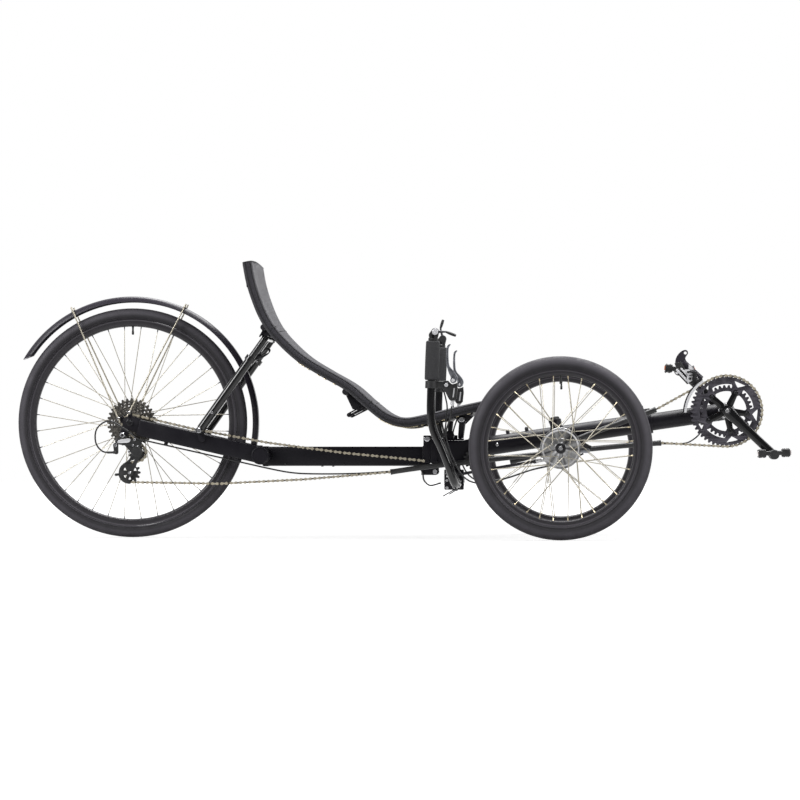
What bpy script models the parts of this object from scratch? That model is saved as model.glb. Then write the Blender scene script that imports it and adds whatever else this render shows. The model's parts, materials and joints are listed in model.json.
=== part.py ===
"""Recumbent tadpole trike: two steered front wheels, one driven rear wheel and a reclined seat.

Metres, +Z up, +X forwards, +Y to the rider's left, so the chain is on the -Y side.
Everything is first placed with X = 0 at the front axle, Y = 0 in the middle and Z = 0 on the ground.
One empty then moves the whole trike so that its origin is under the middle of its bounding box.
"""

import math

import bmesh
import bpy
from mathutils import Matrix, Vector

# Wheels and stance
WHEELBASE = 1.175
TRACK = 0.744
FRONT_RADIUS = 0.243
FRONT_TYRE_WIDTH = 0.040
FRONT_TYRE_HEIGHT = 0.037
FRONT_RIM_HEIGHT = 0.014
FRONT_SPOKES = 32
REAR_RADIUS = 0.314
REAR_TYRE_WIDTH = 0.037
REAR_TYRE_HEIGHT = 0.031
REAR_RIM_HEIGHT = 0.019
REAR_SPOKES = 36
SPOKE_RADIUS = 0.0011
WHEEL_STEPS = 32
HUB_STEPS = 16

# General clearances
GAP = 0.0003
RUNNING = 0.0005

# Front hub with its drum brake, measured from the wheel's own plane, outboard positive
DRUM_RADIUS = 0.0545
DRUM_WALL = 0.004
DRUM_MOUTH = -0.026
DRUM_FACE = 0.003
HUB_FLANGE_RADIUS = 0.0265
HUB_FLANGE_W = 0.024
HUB_END_W = 0.030
STUB_RADIUS = 0.006
BRAKE_ARM_LENGTH = 0.060

# Kingpins
CASTER = math.radians(12)
KINGPIN_LEAN = math.radians(10)
KINGPIN_INSET = 0.052
KINGPIN_Y = TRACK / 2 - KINGPIN_INSET
KINGPIN_RADIUS = 0.007
KINGPIN_HOUSING_RADIUS = 0.0155
KINGPIN_HOUSING = (0.017, 0.078)
STEERING_ARM = 0.045
ARM_END_Z = 0.2235
ARM_END_THICKNESS = 0.010

# Front frame
BB_X = 0.4525
BB_Z = 0.3455
BOOM_SLOPE = math.radians(8.3)
BOOM_RADIUS = 0.0235
BOOM_TAIL_X = 0.120
MAIN_TUBE_RADIUS = 0.0260
MAIN_TUBE_FRONT_X = 0.250
BOOM_CLAMP_LENGTH = 0.036
BOOM_CLAMP_RADIUS = 0.0305
CROSS_BEAM_RADIUS = 0.019
HEAD_BACK_X = -0.339
HEAD_FRONT_X = -0.249
HEAD_BOTTOM_Z = 0.198
HEAD_TOP_Z = 0.265
HEAD_HALF_WIDTH = 0.030

# Fold joint
HINGE_X = -0.3447
HINGE_Z = 0.1803
HINGE_PIN_RADIUS = 0.004
HINGE_KNUCKLE_RADIUS = 0.0095
FLANGE_THICKNESS = 0.0185
FLANGE_BOTTOM_Z = 0.203
FLANGE_TOP_Z = 0.279
FLANGE_HALF_WIDTH = 0.033
LATCH_BOLT_RADIUS = 0.0065

# Rear frame
BEAM_TOP_Z = 0.2485
BEAM_BOTTOM_Z = 0.1955
BEAM_HALF_WIDTH = 0.022
CROSS_TUBE_X = -0.8177
CROSS_TUBE_Z = 0.224
CROSS_TUBE_RADIUS = 0.023
CROSS_TUBE_HALF = 0.100
STAY_Y = 0.0775
STAY_WIDTH = 0.021
STAY_HEIGHT = 0.045
STAY_FRONT_X = -0.8140
STAY_BACK_X = -1.1500
STAY_BACK_Z = REAR_RADIUS - 0.0141
STAY_SLOPE = math.atan2(STAY_BACK_Z - CROSS_TUBE_Z, STAY_FRONT_X - STAY_BACK_X)
CABLE_DROP = 0.008
DROPOUT_Y = 0.0675
DROPOUT_THICKNESS = 0.006
REAR_AXLE_RADIUS = 0.005
FENDER_CLEARANCE = 0.0317
FENDER_RADIUS = REAR_RADIUS + FENDER_CLEARANCE
FENDER_WIDTH = 0.048
FENDER_WALL = 0.0016
FENDER_LIP = 0.0150
FENDER_START = math.radians(-11)
FENDER_END = math.radians(149)
WIRE_RADIUS = 0.0022
FENDER_FEET = {118: (-1.2050, REAR_RADIUS + 0.0100), 65.5: (-1.1765, REAR_RADIUS + 0.0260)}

# Drivetrain
CHAIN_PITCH = 0.0127
CHAIN_HEIGHT = 0.0086
CHAIN_WIDTH = 0.0070
TOOTH_RISE = 0.0026
TOOTH_ROOT = 0.0042
COG_THICKNESS = 0.0019
COG_SPACING = 0.0048
CASSETTE = (11, 13, 15, 18, 21, 24, 28, 32)
CASSETTE_Y = -0.061
CHAINRING_TEETH = 48
INNER_RING_TEETH = 34
CHAINRING_Y = -0.050
CHAINRING_SPACING = 0.0075
BOLT_CIRCLE = 0.055
IDLER_TEETH = 13
IDLER_X = -0.237
IDLER_Z = 0.214
IDLER_Y = -0.052
GUIDE_TEETH = 11
GUIDE_X = -1.1537
GUIDE_Z = REAR_RADIUS - 0.0831
TENSION_TEETH = 13
TENSION_X = -1.1755
TENSION_Z = REAR_RADIUS - 0.1363
CHAIN_TUBE_RADIUS = 0.0073
CHAIN_TUBE_WALL = 0.0011

# Cranks and pedals
CRANK_LENGTH = 0.170
CRANK_ANGLE = math.radians(-43.5)
CRANK_Y = 0.080
CRANK_THICKNESS = 0.013
SPINDLE_RADIUS = 0.0085
PEDAL_LENGTH = 0.088
PEDAL_WIDTH = 0.078
PEDAL_THICKNESS = 0.016
PEDAL_Y = 0.142
RIGHT_PEDAL_TILT = math.radians(-24)
LEFT_PEDAL_TILT = math.radians(-4)

# Steering
STEER_X = -0.290
BAR_RADIUS = 0.011
BAR_Y = 0.270
BAR_BOTTOM_X = -0.282
BAR_BOTTOM_Z = 0.145
BAR_TOP_Z = 0.545
GRIP_RADIUS = 0.019
GRIP_LENGTH = 0.107
GRIP_BOTTOM_Z = 0.425
ROD_PIVOT_X = -0.305
ROD_PIVOT_Y = 0.030
ROD_PIVOT_Z = 0.168
ROD_END_Z = 0.2125
ROD_RADIUS = 0.004
ROD_EYE_RADIUS = 0.009
ROD_EYE_THICKNESS = 0.010
BRAKE_PIVOT_X = -0.287
BRAKE_PIVOT_Z = 0.424
LEVER_HUB_RADIUS = 0.008
SHIFT_PIVOT_X = -0.3345
SHIFT_PIVOT_Z = 0.5534

# Seat
SEAT_HALF_WIDTH = 0.175
RAIL_RADIUS = 0.0095
COVER_WALL = 0.0024
COVER_DIP = 0.008
SEAT_PIVOT_X = -0.270
SEAT_PIVOT_Z = 0.322
SEAT_PIVOT_RADIUS = 0.008
POST_TUBE_Z = 0.3275
CROSS_RADIUS = 0.0085
STRUT_Y = 0.1015
STRUT_FOOT_X = -0.9816
STRUT_FOOT_Z = 0.292
STRUT_HEAD_X = -0.801
STRUT_HEAD_Z = 0.546
STRUT_OUTER_RADIUS = 0.0115
STRUT_INNER_RADIUS = 0.0093
STRUT_EYE_HALF = 0.0125
STRUT_SPLIT = 0.245

# Places worked out from the dimensions above
HALF_TRACK = TRACK / 2
REAR_X = -WHEELBASE
PEDAL_X = BB_X + CRANK_LENGTH * math.cos(CRANK_ANGLE)
PEDAL_REACH = PEDAL_LENGTH / 2 * math.cos(RIGHT_PEDAL_TILT) - PEDAL_THICKNESS / 2 * math.sin(RIGHT_PEDAL_TILT)
MIDDLE_X = (REAR_X - REAR_RADIUS + PEDAL_X + PEDAL_REACH) / 2
SIDES = {"right": -1, "left": 1}

# One pivot for each moving body, on its joint's axis
PIVOTS = {
    "front_frame": (0, 0, 0),
    "rear_frame": (HINGE_X, 0, HINGE_Z),
    "rear_wheel": (REAR_X, 0, REAR_RADIUS),
    "cassette": (REAR_X, 0, REAR_RADIUS),
    "rear_derailleur": (GUIDE_X, CASSETTE_Y, GUIDE_Z),
    "derailleur_cage": (GUIDE_X, CASSETTE_Y, GUIDE_Z),
    "guide_pulley": (GUIDE_X, CASSETTE_Y, GUIDE_Z),
    "tension_pulley": (TENSION_X, CASSETTE_Y, TENSION_Z),
    "idler": (IDLER_X, IDLER_Y, IDLER_Z),
    "boom": (BB_X, 0, BB_Z),
    "crankset": (BB_X, 0, BB_Z),
    "front_derailleur": (BB_X, CHAINRING_Y, BB_Z),
    "handlebar": (STEER_X, 0, BAR_BOTTOM_Z),
    "seat": (SEAT_PIVOT_X, 0, SEAT_PIVOT_Z),
    "strut_lower": (STRUT_FOOT_X, 0, STRUT_FOOT_Z),
    "strut_upper": (STRUT_FOOT_X, 0, STRUT_FOOT_Z),
    "right_pedal": (PEDAL_X, -PEDAL_Y, BB_Z + CRANK_LENGTH * math.sin(CRANK_ANGLE)),
    "left_pedal": (2 * BB_X - PEDAL_X, PEDAL_Y, BB_Z - CRANK_LENGTH * math.sin(CRANK_ANGLE)),
}
for side_name, side_sign in SIDES.items():
    PIVOTS[side_name + "_wheel"] = (0, side_sign * HALF_TRACK, FRONT_RADIUS)
    PIVOTS[side_name + "_knuckle"] = (0, side_sign * KINGPIN_Y, FRONT_RADIUS)
    PIVOTS[side_name + "_brake_arm"] = (0.022, side_sign * HALF_TRACK, FRONT_RADIUS + 0.030)
    PIVOTS[side_name + "_tie_rod"] = (ROD_PIVOT_X, side_sign * ROD_PIVOT_Y, ROD_PIVOT_Z)
    PIVOTS[side_name + "_brake_lever"] = (BRAKE_PIVOT_X, side_sign * BAR_Y, BRAKE_PIVOT_Z)
    PIVOTS[side_name + "_shift_lever"] = (SHIFT_PIVOT_X, side_sign * BAR_Y, SHIFT_PIVOT_Z)
PIVOTS["strut_clamp_lever"] = (-0.8395, -STRUT_Y + 0.0188, 0.4920)

# Colour, roughness and metallic value of each finish
FINISHES = {
    "frame black": ((0.012, 0.012, 0.013), 0.32, 0.2),
    "tyre black": ((0.018, 0.018, 0.019), 0.85, 0.0),
    "rim black": ((0.015, 0.015, 0.016), 0.30, 0.7),
    "silver": ((0.68, 0.68, 0.70), 0.28, 1.0),
    "chain silver": ((0.55, 0.52, 0.44), 0.35, 1.0),
    "dark steel": ((0.10, 0.10, 0.11), 0.35, 0.9),
    "ring grey": ((0.16, 0.17, 0.19), 0.35, 0.8),
    "plastic black": ((0.014, 0.014, 0.015), 0.45, 0.0),
    "gloss black": ((0.008, 0.008, 0.009), 0.12, 0.0),
    "foam black": ((0.03, 0.03, 0.032), 0.9, 0.0),
    "seat cloth": ((0.045, 0.045, 0.05), 0.95, 0.0),
}

X_AXIS = Vector((1, 0, 0))
Y_AXIS = Vector((0, 1, 0))
Z_AXIS = Vector((0, 0, 1))


def clear_scene():
    """Remove what the start-up scene holds."""
    for old in list(bpy.data.objects):
        bpy.data.objects.remove(old, do_unlink=True)


def collection(name):
    """Return the named collection, made and linked when it is first asked for."""
    found = bpy.data.collections.get(name)
    if found is None:
        found = bpy.data.collections.new(name)
        bpy.context.scene.collection.children.link(found)
    return found


def finish(name):
    """Return the named finish as a Principled material."""
    found = bpy.data.materials.get(name)
    if found is None:
        colour, roughness, metallic = FINISHES[name]
        found = bpy.data.materials.new(name)
        found.use_nodes = True
        shader = found.node_tree.nodes["Principled BSDF"]
        shader.inputs["Base Color"].default_value = (*colour, 1)
        shader.inputs["Roughness"].default_value = roughness
        shader.inputs["Metallic"].default_value = metallic
    return found


def new_object(name, data):
    """Link an object for this data into the trike's collection."""
    made = bpy.data.objects.new(name, data)
    collection("recumbent trike").objects.link(made)
    return made


def from_bmesh(name, mesh_builder):
    """Turn a bmesh into a linked object with smooth round sides."""
    data = bpy.data.meshes.new(name)
    mesh_builder.to_mesh(data)
    mesh_builder.free()
    data.shade_smooth()
    data.set_sharp_from_angle(angle=math.radians(35))
    return new_object(name, data)


def box(name, low, high):
    """A block between two opposite corners."""
    low, high = Vector(low), Vector(high)
    builder = bmesh.new()
    bmesh.ops.create_cube(builder, size=1)
    size = high - low
    bmesh.ops.scale(builder, vec=size, verts=builder.verts)
    bmesh.ops.translate(builder, vec=(low + high) / 2, verts=builder.verts)
    return from_bmesh(name, builder)


def rod(name, start, end, radius, sides=12, end_radius=None):
    """A round bar, or a taper, between two points, with capped ends."""
    start, end = Vector(start), Vector(end)
    along = end - start
    builder = bmesh.new()
    bmesh.ops.create_cone(
        builder,
        cap_ends=True,
        segments=sides,
        radius1=radius,
        radius2=radius if end_radius is None else end_radius,
        depth=along.length,
    )
    turn = Z_AXIS.rotation_difference(along.normalized()).to_matrix().to_4x4()
    bmesh.ops.transform(builder, matrix=Matrix.Translation((start + end) / 2) @ turn, verts=builder.verts)
    return from_bmesh(name, builder)


def disc_y(name, x, z, y_from, y_to, radius, sides=16):
    """A round bar whose axis lies along Y."""
    return rod(name, (x, y_from, z), (x, y_to, z), radius, sides)


def as_mesh(source):
    """Replace a curve object, or one with modifiers, by the mesh it makes, with its caps welded."""
    bpy.context.view_layer.update()
    evaluated = source.evaluated_get(bpy.context.evaluated_depsgraph_get())
    data = bpy.data.meshes.new_from_object(evaluated)
    builder = bmesh.new()
    builder.from_mesh(data)
    bmesh.ops.remove_doubles(builder, verts=builder.verts, dist=0.00001)
    bmesh.ops.recalc_face_normals(builder, faces=builder.faces)
    builder.to_mesh(data)
    builder.free()
    data.shade_smooth()
    data.set_sharp_from_angle(angle=math.radians(35))
    name = source.name
    place = source.matrix_world.copy()
    bpy.data.objects.remove(source)
    made = new_object(name, data)
    made.matrix_world = place
    return made


def smooth_path(points, steps):
    """Points along a smooth curve through the given ones, by Catmull-Rom's formula."""
    points = [Vector(point) for point in points]
    ends = [2 * points[0] - points[1]] + points + [2 * points[-1] - points[-2]]
    path = []
    for index in range(1, len(ends) - 2):
        before, start, end, after = ends[index - 1:index + 3]
        for step in range(steps):
            t = step / steps
            path.append(
                0.5
                * (
                    2 * start
                    + (end - before) * t
                    + (2 * before - 5 * start + 4 * end - after) * t * t
                    + (3 * start - before - 3 * end + after) * t ** 3
                )
            )
    path.append(points[-1])
    return path


def wire(name, points, radius, resolution=1, caps=True):
    """A round tube or wire along points, as a poly curve with a bevel."""
    curve = bpy.data.curves.new(name, "CURVE")
    curve.dimensions = "3D"
    curve.bevel_depth = radius
    curve.bevel_resolution = resolution
    curve.use_fill_caps = caps
    spline = curve.splines.new("POLY")
    spline.points.add(len(points) - 1)
    for place, point in zip(spline.points, points):
        place.co = (*point, 1)
    return new_object(name, curve)


def solid_wire(name, points, radius, resolution=1):
    """The same tube as a closed mesh, for joining and cutting."""
    return as_mesh(wire(name, points, radius, resolution))


def plate(name, outlines, y_from, y_to):
    """A flat plate in the XZ plane between two Y planes; the first outline is outer, the rest are holes."""
    curve = bpy.data.curves.new(name, "CURVE")
    curve.dimensions = "2D"
    curve.fill_mode = "BOTH"
    curve.extrude = abs(y_to - y_from) / 2
    for outline in outlines:
        spline = curve.splines.new("POLY")
        spline.use_cyclic_u = True
        spline.points.add(len(outline) - 1)
        for place, (x, z) in zip(spline.points, outline):
            place.co = (x, z, 0, 1)
    made = new_object(name, curve)
    made.rotation_euler = (math.pi / 2, 0, 0)
    made.location = (0, (y_from + y_to) / 2, 0)
    return as_mesh(made)


def section_curve(name, outline):
    """A closed flat curve that another curve carries along as its section."""
    curve = bpy.data.curves.new(name, "CURVE")
    curve.dimensions = "2D"
    spline = curve.splines.new("POLY")
    spline.use_cyclic_u = True
    spline.points.add(len(outline) - 1)
    for place_of, (across, up) in zip(spline.points, outline):
        place_of.co = (across, up, 0, 1)
    return curve


def circle(x, z, radius, sides=16, phase=0.0):
    """Outline points of a circle in the XZ plane."""
    return [
        (x + radius * math.cos(phase + 2 * math.pi * n / sides), z + radius * math.sin(phase + 2 * math.pi * n / sides))
        for n in range(sides)
    ]


def capsule(start, end, radius, end_radius=None, sides=5):
    """Outline of a link: two half circles round two points, joined by straight sides."""
    end_radius = radius if end_radius is None else end_radius
    heading = math.atan2(end[1] - start[1], end[0] - start[0])
    outline = []
    for n in range(sides + 1):
        angle = heading + math.pi / 2 + math.pi * n / sides
        outline.append((start[0] + radius * math.cos(angle), start[1] + radius * math.sin(angle)))
    for n in range(sides + 1):
        angle = heading - math.pi / 2 + math.pi * n / sides
        outline.append((end[0] + end_radius * math.cos(angle), end[1] + end_radius * math.sin(angle)))
    return outline


def turned(name, profile, steps, centre, phase=0.0, closed=True, angle=2 * math.pi, outboard=1):
    """A shape turned about the Y axis; the profile is (radius, place along the axis)."""
    data = bpy.data.meshes.new(name)
    points = [(radius, 0, along) for radius, along in profile]
    edges = [(n, n + 1) for n in range(len(points) - 1)]
    if closed:
        edges.append((len(points) - 1, 0))
    data.from_pydata(points, edges, [])
    made = new_object(name, data)
    screw = made.modifiers.new("turn", "SCREW")
    screw.angle = angle
    screw.steps = steps
    screw.render_steps = steps
    screw.use_merge_vertices = closed and angle > 6.2
    screw.merge_threshold = 0.00001
    tilt = Matrix.Rotation(-outboard * math.pi / 2, 4, "X")
    made.matrix_world = Matrix.Translation(centre) @ tilt @ Matrix.Rotation(phase, 4, "Z")
    return made


def pitch_radius(teeth):
    """Radius of the circle that the chain's pins follow."""
    return CHAIN_PITCH / (2 * math.sin(math.pi / teeth))


def teeth_outline(x, z, teeth):
    """A sprocket's outline, one tip and one root for each tooth."""
    outline = []
    for n in range(2 * teeth):
        angle = math.pi * n / teeth
        radius = pitch_radius(teeth) + (TOOTH_RISE if n % 2 == 0 else -TOOTH_ROOT)
        outline.append((x + radius * math.cos(angle), z + radius * math.sin(angle)))
    return outline


def tool(operand):
    """Put a shape that only joins or cuts among the hidden tools."""
    collection("recumbent trike").objects.unlink(operand)
    collection("cutters").objects.link(operand)
    operand.hide_render = True
    operand.display_type = "WIRE"


def combine(target, operands, operation, self_crossing=False):
    """Join shapes to a target, or cut them from it."""
    for operand in operands:
        step = target.modifiers.new(operation.lower() + " " + operand.name, "BOOLEAN")
        step.operation = operation
        step.object = operand
        step.solver = "EXACT"
        step.use_self = self_crossing
        tool(operand)
    return target


def join(target, *operands):
    """Join shapes to a target."""
    return combine(target, operands, "UNION")


def cut(target, *operands):
    """Cut shapes from a target."""
    return combine(target, operands, "DIFFERENCE")


def place(obj, body, finish_name):
    """Give a sub-part its finish and hang it, with its tools, on its body's pivot."""
    obj.data.materials.clear()
    obj.data.materials.append(finish(finish_name))
    waiting = [obj]
    while waiting:
        item = waiting.pop()
        if item.parent is None:
            item.parent = bpy.data.objects["pivot_" + body]
            item.location = item.location - Vector(PIVOTS[body])
        waiting.extend(step.object for step in item.modifiers if step.type == "BOOLEAN")
    return obj


def make_pivots():
    """Make the trike's origin and one empty for each body."""
    origin = bpy.data.objects.new("trike_origin", None)
    collection("recumbent trike").objects.link(origin)
    origin.location = (-MIDDLE_X, 0, 0)
    for body, place_of in PIVOTS.items():
        pivot = bpy.data.objects.new("pivot_" + body, None)
        collection("recumbent trike").objects.link(pivot)
        pivot.parent = origin
        pivot.location = place_of


def boom_axis_z(x):
    """Height of the axis that the main tube and the boom share."""
    return BB_Z + (x - BB_X) * math.tan(BOOM_SLOPE)


def boom_point(x, y=0.0, rise=0.0):
    """A point beside the boom's axis, raised square to it."""
    return Vector((x - rise * math.sin(BOOM_SLOPE), y, boom_axis_z(x) + rise * math.cos(BOOM_SLOPE)))


def kingpin_matrix(sign):
    """Local frame of a kingpin: its Z axis is the steering axis."""
    up = Vector((-math.tan(CASTER), -sign * math.tan(KINGPIN_LEAN), 1)).normalized()
    turn = Z_AXIS.rotation_difference(up).to_matrix().to_4x4()
    return Matrix.Translation((0, sign * KINGPIN_Y, FRONT_RADIUS)) @ turn


def tyre_profile(radius, width, height):
    """Tyre section: a round tread and sidewalls that draw in to the rim."""
    crown = radius / math.cos(math.pi / WHEEL_STEPS)
    half = width / 2
    bead = radius - height
    middle = radius - half
    sweep = [math.radians(degrees) for degrees in (-58, -14, 14, 58)]
    rise = (crown - middle) / math.cos(sweep[-2])
    tread = [(middle + rise * math.cos(a), -half * math.sin(a)) for a in sweep]
    sides = [(middle - 0.006, -half), (bead, -half * 0.62), (bead, half * 0.62), (middle - 0.006, half)]
    return tread + sides


def rim_profile(outer, height, width):
    """Rim section: flat braking sides and a rounded inner bed."""
    half = width / 2
    return [
        (outer, half),
        (outer, -half),
        (outer - height * 0.65, -half),
        (outer - height, -half * 0.45),
        (outer - height, half * 0.45),
        (outer - height * 0.65, half),
    ]


def spoke_set(name, centre, count, rim_radius, flanges, lean, outboard):
    """All the spokes of a wheel; neighbours go to the two flanges and lean both ways."""
    section = new_object(name + "_section", section_curve(name, circle(0, 0, SPOKE_RADIUS * 1.25, 3)))
    tool(section)
    spokes = bpy.data.curves.new(name, "CURVE")
    spokes.dimensions = "3D"
    spokes.bevel_mode = "OBJECT"
    spokes.bevel_object = section
    spokes.use_fill_caps = True
    centre = Vector(centre)
    facet = 2 * math.pi / WHEEL_STEPS
    for n in range(count):
        rim_angle = 2 * math.pi * (n + 0.5) / count
        off_facet = (rim_angle - math.pi / 2 + facet / 2) % facet - facet / 2
        rim_reach = rim_radius * math.cos(facet / 2) / math.cos(off_facet) - GAP - SPOKE_RADIUS * 0.25
        radius, along = flanges[n % 2]
        way = 1 if (n // 2) % 2 == 0 else -1
        hub_angle = rim_angle + way * lean
        hub_end = (radius * math.cos(hub_angle), outboard * (along + way * 0.0008), radius * math.sin(hub_angle))
        rim_end = (rim_reach * math.cos(rim_angle), 0, rim_reach * math.sin(rim_angle))
        spline = spokes.splines.new("POLY")
        spline.points.add(1)
        spline.points[0].co = (*(centre + Vector(hub_end)), 1)
        spline.points[1].co = (*(centre + Vector(rim_end)), 1)
    return as_mesh(new_object(name, spokes))


def tyre_and_rim(side, body, centre, radius, tyre, rim_height, valve_radius=0.0025):
    """One wheel's tyre and rim, the rim with its valve stem."""
    width, height = tyre
    half_step = math.pi / WHEEL_STEPS
    phase = math.pi / 2 - half_step
    tyre_object = turned(side + "_tyre", tyre_profile(radius, width, height), WHEEL_STEPS, centre, phase)
    place(tyre_object, body, "tyre black")
    rim_outer = (radius - height) - GAP / math.cos(half_step)
    rim = turned(side + "_rim", rim_profile(rim_outer, rim_height, width * 0.62), WHEEL_STEPS, centre, phase)
    top = Vector(centre) + Vector((0, 0, rim_outer - rim_height * 0.5))
    stem = rod(side + "_valve", top, top - Vector((0, 0, rim_height * 0.5 + 0.022)), valve_radius, 6)
    join(rim, stem)
    place(rim, body, "rim black")
    return rim_outer - rim_height


def front_wheel(side):
    """Tyre, rim and spoked drum-brake hub of one front wheel."""
    sign = SIDES[side]
    body = side + "_wheel"
    centre = PIVOTS[body]
    name = "front_" + side
    spoke_end = tyre_and_rim(
        name, body, centre, FRONT_RADIUS, (FRONT_TYRE_WIDTH, FRONT_TYRE_HEIGHT), FRONT_RIM_HEIGHT
    )
    bore = STUB_RADIUS + RUNNING
    profile = [
        (bore, HUB_END_W),
        (0.0130, HUB_END_W),
        (0.0145, HUB_FLANGE_W + 0.0015),
        (HUB_FLANGE_RADIUS, HUB_FLANGE_W + 0.0015),
        (HUB_FLANGE_RADIUS, HUB_FLANGE_W - 0.0015),
        (0.0165, HUB_FLANGE_W - 0.003),
        (0.0210, DRUM_FACE + 0.003),
        (DRUM_RADIUS, DRUM_FACE),
        (DRUM_RADIUS, DRUM_MOUTH),
        (DRUM_RADIUS - DRUM_WALL, DRUM_MOUTH),
        (DRUM_RADIUS - DRUM_WALL, DRUM_FACE - DRUM_WALL),
        (bore, DRUM_FACE - DRUM_WALL),
    ]
    hub = turned(name + "_hub", profile, HUB_STEPS, centre, outboard=sign)
    flanges = ((HUB_FLANGE_RADIUS - 0.003, HUB_FLANGE_W), (DRUM_RADIUS - 0.002, DRUM_MOUTH + 0.006))
    spokes = spoke_set(name + "_spokes", centre, FRONT_SPOKES, spoke_end, flanges, math.radians(42), sign)
    combine(hub, [spokes], "UNION", self_crossing=True)
    place(hub, body, "silver")


def rear_wheel():
    """Tyre, rim and spoked hub of the rear wheel."""
    body = "rear_wheel"
    centre = PIVOTS[body]
    spoke_end = tyre_and_rim(
        "rear", body, centre, REAR_RADIUS, (REAR_TYRE_WIDTH, REAR_TYRE_HEIGHT), REAR_RIM_HEIGHT
    )
    bore = REAR_AXLE_RADIUS + RUNNING
    profile = [
        (bore, 0.060),
        (0.0100, 0.060),
        (0.0115, 0.0375),
        (0.0225, 0.0365),
        (0.0225, 0.0335),
        (0.0125, 0.0300),
        (0.0125, -0.0150),
        (0.0225, -0.0175),
        (0.0225, -0.0205),
        (0.0150, -0.0225),
        (bore, -0.0225),
    ]
    hub = turned("rear_hub", profile, 12, centre)
    flanges = ((0.0200, 0.035), (0.0200, -0.019))
    spokes = spoke_set("rear_spokes", centre, REAR_SPOKES, spoke_end, flanges, math.radians(50), 1)
    combine(hub, [spokes], "UNION", self_crossing=True)
    place(hub, body, "silver")


def rear_axle():
    """The rear axle with a nut outside each dropout."""
    reach = DROPOUT_Y + DROPOUT_THICKNESS
    axle = disc_y("rear_axle", REAR_X, REAR_RADIUS, -reach - 0.009, reach + 0.009, REAR_AXLE_RADIUS, 12)
    for name, sign in SIDES.items():
        start = sign * (reach + GAP)
        join(axle, disc_y("nut_" + name, REAR_X, REAR_RADIUS, start, start + sign * 0.006, 0.009, 6))
    place(axle, "rear_frame", "silver")


def cassette():
    """Eight cogs on their carrier, toothed where the teeth show."""
    end_y = CASSETTE_Y + (len(CASSETTE) - 1) * COG_SPACING
    carrier = disc_y("cassette", REAR_X, REAR_RADIUS, CASSETTE_Y - 0.0032, end_y + 0.0024, 0.0160, 12)
    for n, teeth in enumerate(CASSETTE):
        y = CASSETTE_Y + n * COG_SPACING
        half = COG_THICKNESS / 2
        if teeth in (min(CASSETTE), max(CASSETTE)):
            cog = plate("cog_%d" % teeth, [teeth_outline(REAR_X, REAR_RADIUS, teeth)], y - half, y + half)
        else:
            cog = disc_y("cog_%d" % teeth, REAR_X, REAR_RADIUS, y - half, y + half, pitch_radius(teeth), 12)
        join(carrier, cog)
    cut(carrier, disc_y("cassette_bore", REAR_X, REAR_RADIUS, -0.08, 0, REAR_AXLE_RADIUS + RUNNING, 12))
    place(carrier, "cassette", "dark steel")


def front_frame():
    """Head block, fold flange, main tube with the boom clamp, and the steering post below."""
    frame = box(
        "front_frame", (HEAD_BACK_X, -HEAD_HALF_WIDTH, HEAD_BOTTOM_Z), (HEAD_FRONT_X, HEAD_HALF_WIDTH, HEAD_TOP_Z)
    )
    flange = box(
        "front_flange",
        (HEAD_BACK_X - FLANGE_THICKNESS, -FLANGE_HALF_WIDTH, FLANGE_BOTTOM_Z),
        (HEAD_BACK_X + 0.002, FLANGE_HALF_WIDTH, FLANGE_TOP_Z),
    )
    lug = plate(
        "front_lug",
        [capsule((HINGE_X, HINGE_Z), (HINGE_X, FLANGE_BOTTOM_Z + 0.004), HINGE_KNUCKLE_RADIUS)],
        -0.0115,
        0.0115,
    )
    tube = rod("main_tube", boom_point(HEAD_FRONT_X - 0.012), boom_point(MAIN_TUBE_FRONT_X), MAIN_TUBE_RADIUS, 20)
    collar = rod(
        "boom_clamp",
        boom_point(MAIN_TUBE_FRONT_X - BOOM_CLAMP_LENGTH),
        boom_point(MAIN_TUBE_FRONT_X),
        BOOM_CLAMP_RADIUS,
        20,
    )
    clamp_x = MAIN_TUBE_FRONT_X - BOOM_CLAMP_LENGTH / 2
    ear = box(
        "boom_clamp_ear",
        boom_point(clamp_x) + Vector((-0.015, -0.012, BOOM_CLAMP_RADIUS - 0.004)),
        boom_point(clamp_x) + Vector((0.015, 0.012, BOOM_CLAMP_RADIUS + 0.007)),
    )
    post = rod("steering_boss", (STEER_X, 0, HEAD_BOTTOM_Z + 0.004), (STEER_X, 0, 0.186), 0.014, 16)
    kingbolt = rod("steering_bolt", (STEER_X, 0, 0.190), (STEER_X, 0, 0.162), 0.006, 12)
    join(frame, flange, lug, tube, collar, ear, post, kingbolt)
    bore = rod(
        "boom_bore",
        boom_point(BOOM_TAIL_X - 0.060),
        boom_point(MAIN_TUBE_FRONT_X + 0.020),
        BOOM_RADIUS + 0.0006,
        20,
    )
    pin_bore = disc_y("front_pin_bore", HINGE_X, HINGE_Z, -0.05, 0.05, HINGE_PIN_RADIUS + RUNNING, 12)
    slot = box(
        "boom_clamp_slot",
        boom_point(clamp_x) + Vector((-0.030, -0.0012, BOOM_RADIUS - 0.004)),
        boom_point(clamp_x) + Vector((0.040, 0.0012, BOOM_CLAMP_RADIUS + 0.020)),
    )
    cut(frame, bore, pin_bore, slot)
    place(frame, "front_frame", "frame black")


def fold_hinge_pin():
    """The pin that both halves of the frame turn on, with a head at each end."""
    pin = disc_y("fold_hinge_pin", HINGE_X, HINGE_Z, -0.034, 0.034, HINGE_PIN_RADIUS, 12)
    join(pin, disc_y("pin_head", HINGE_X, HINGE_Z, -0.0355, -0.0315, 0.0065, 12))
    join(pin, disc_y("pin_tail", HINGE_X, HINGE_Z, 0.0315, 0.0355, 0.0065, 12))
    place(pin, "front_frame", "silver")


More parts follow.
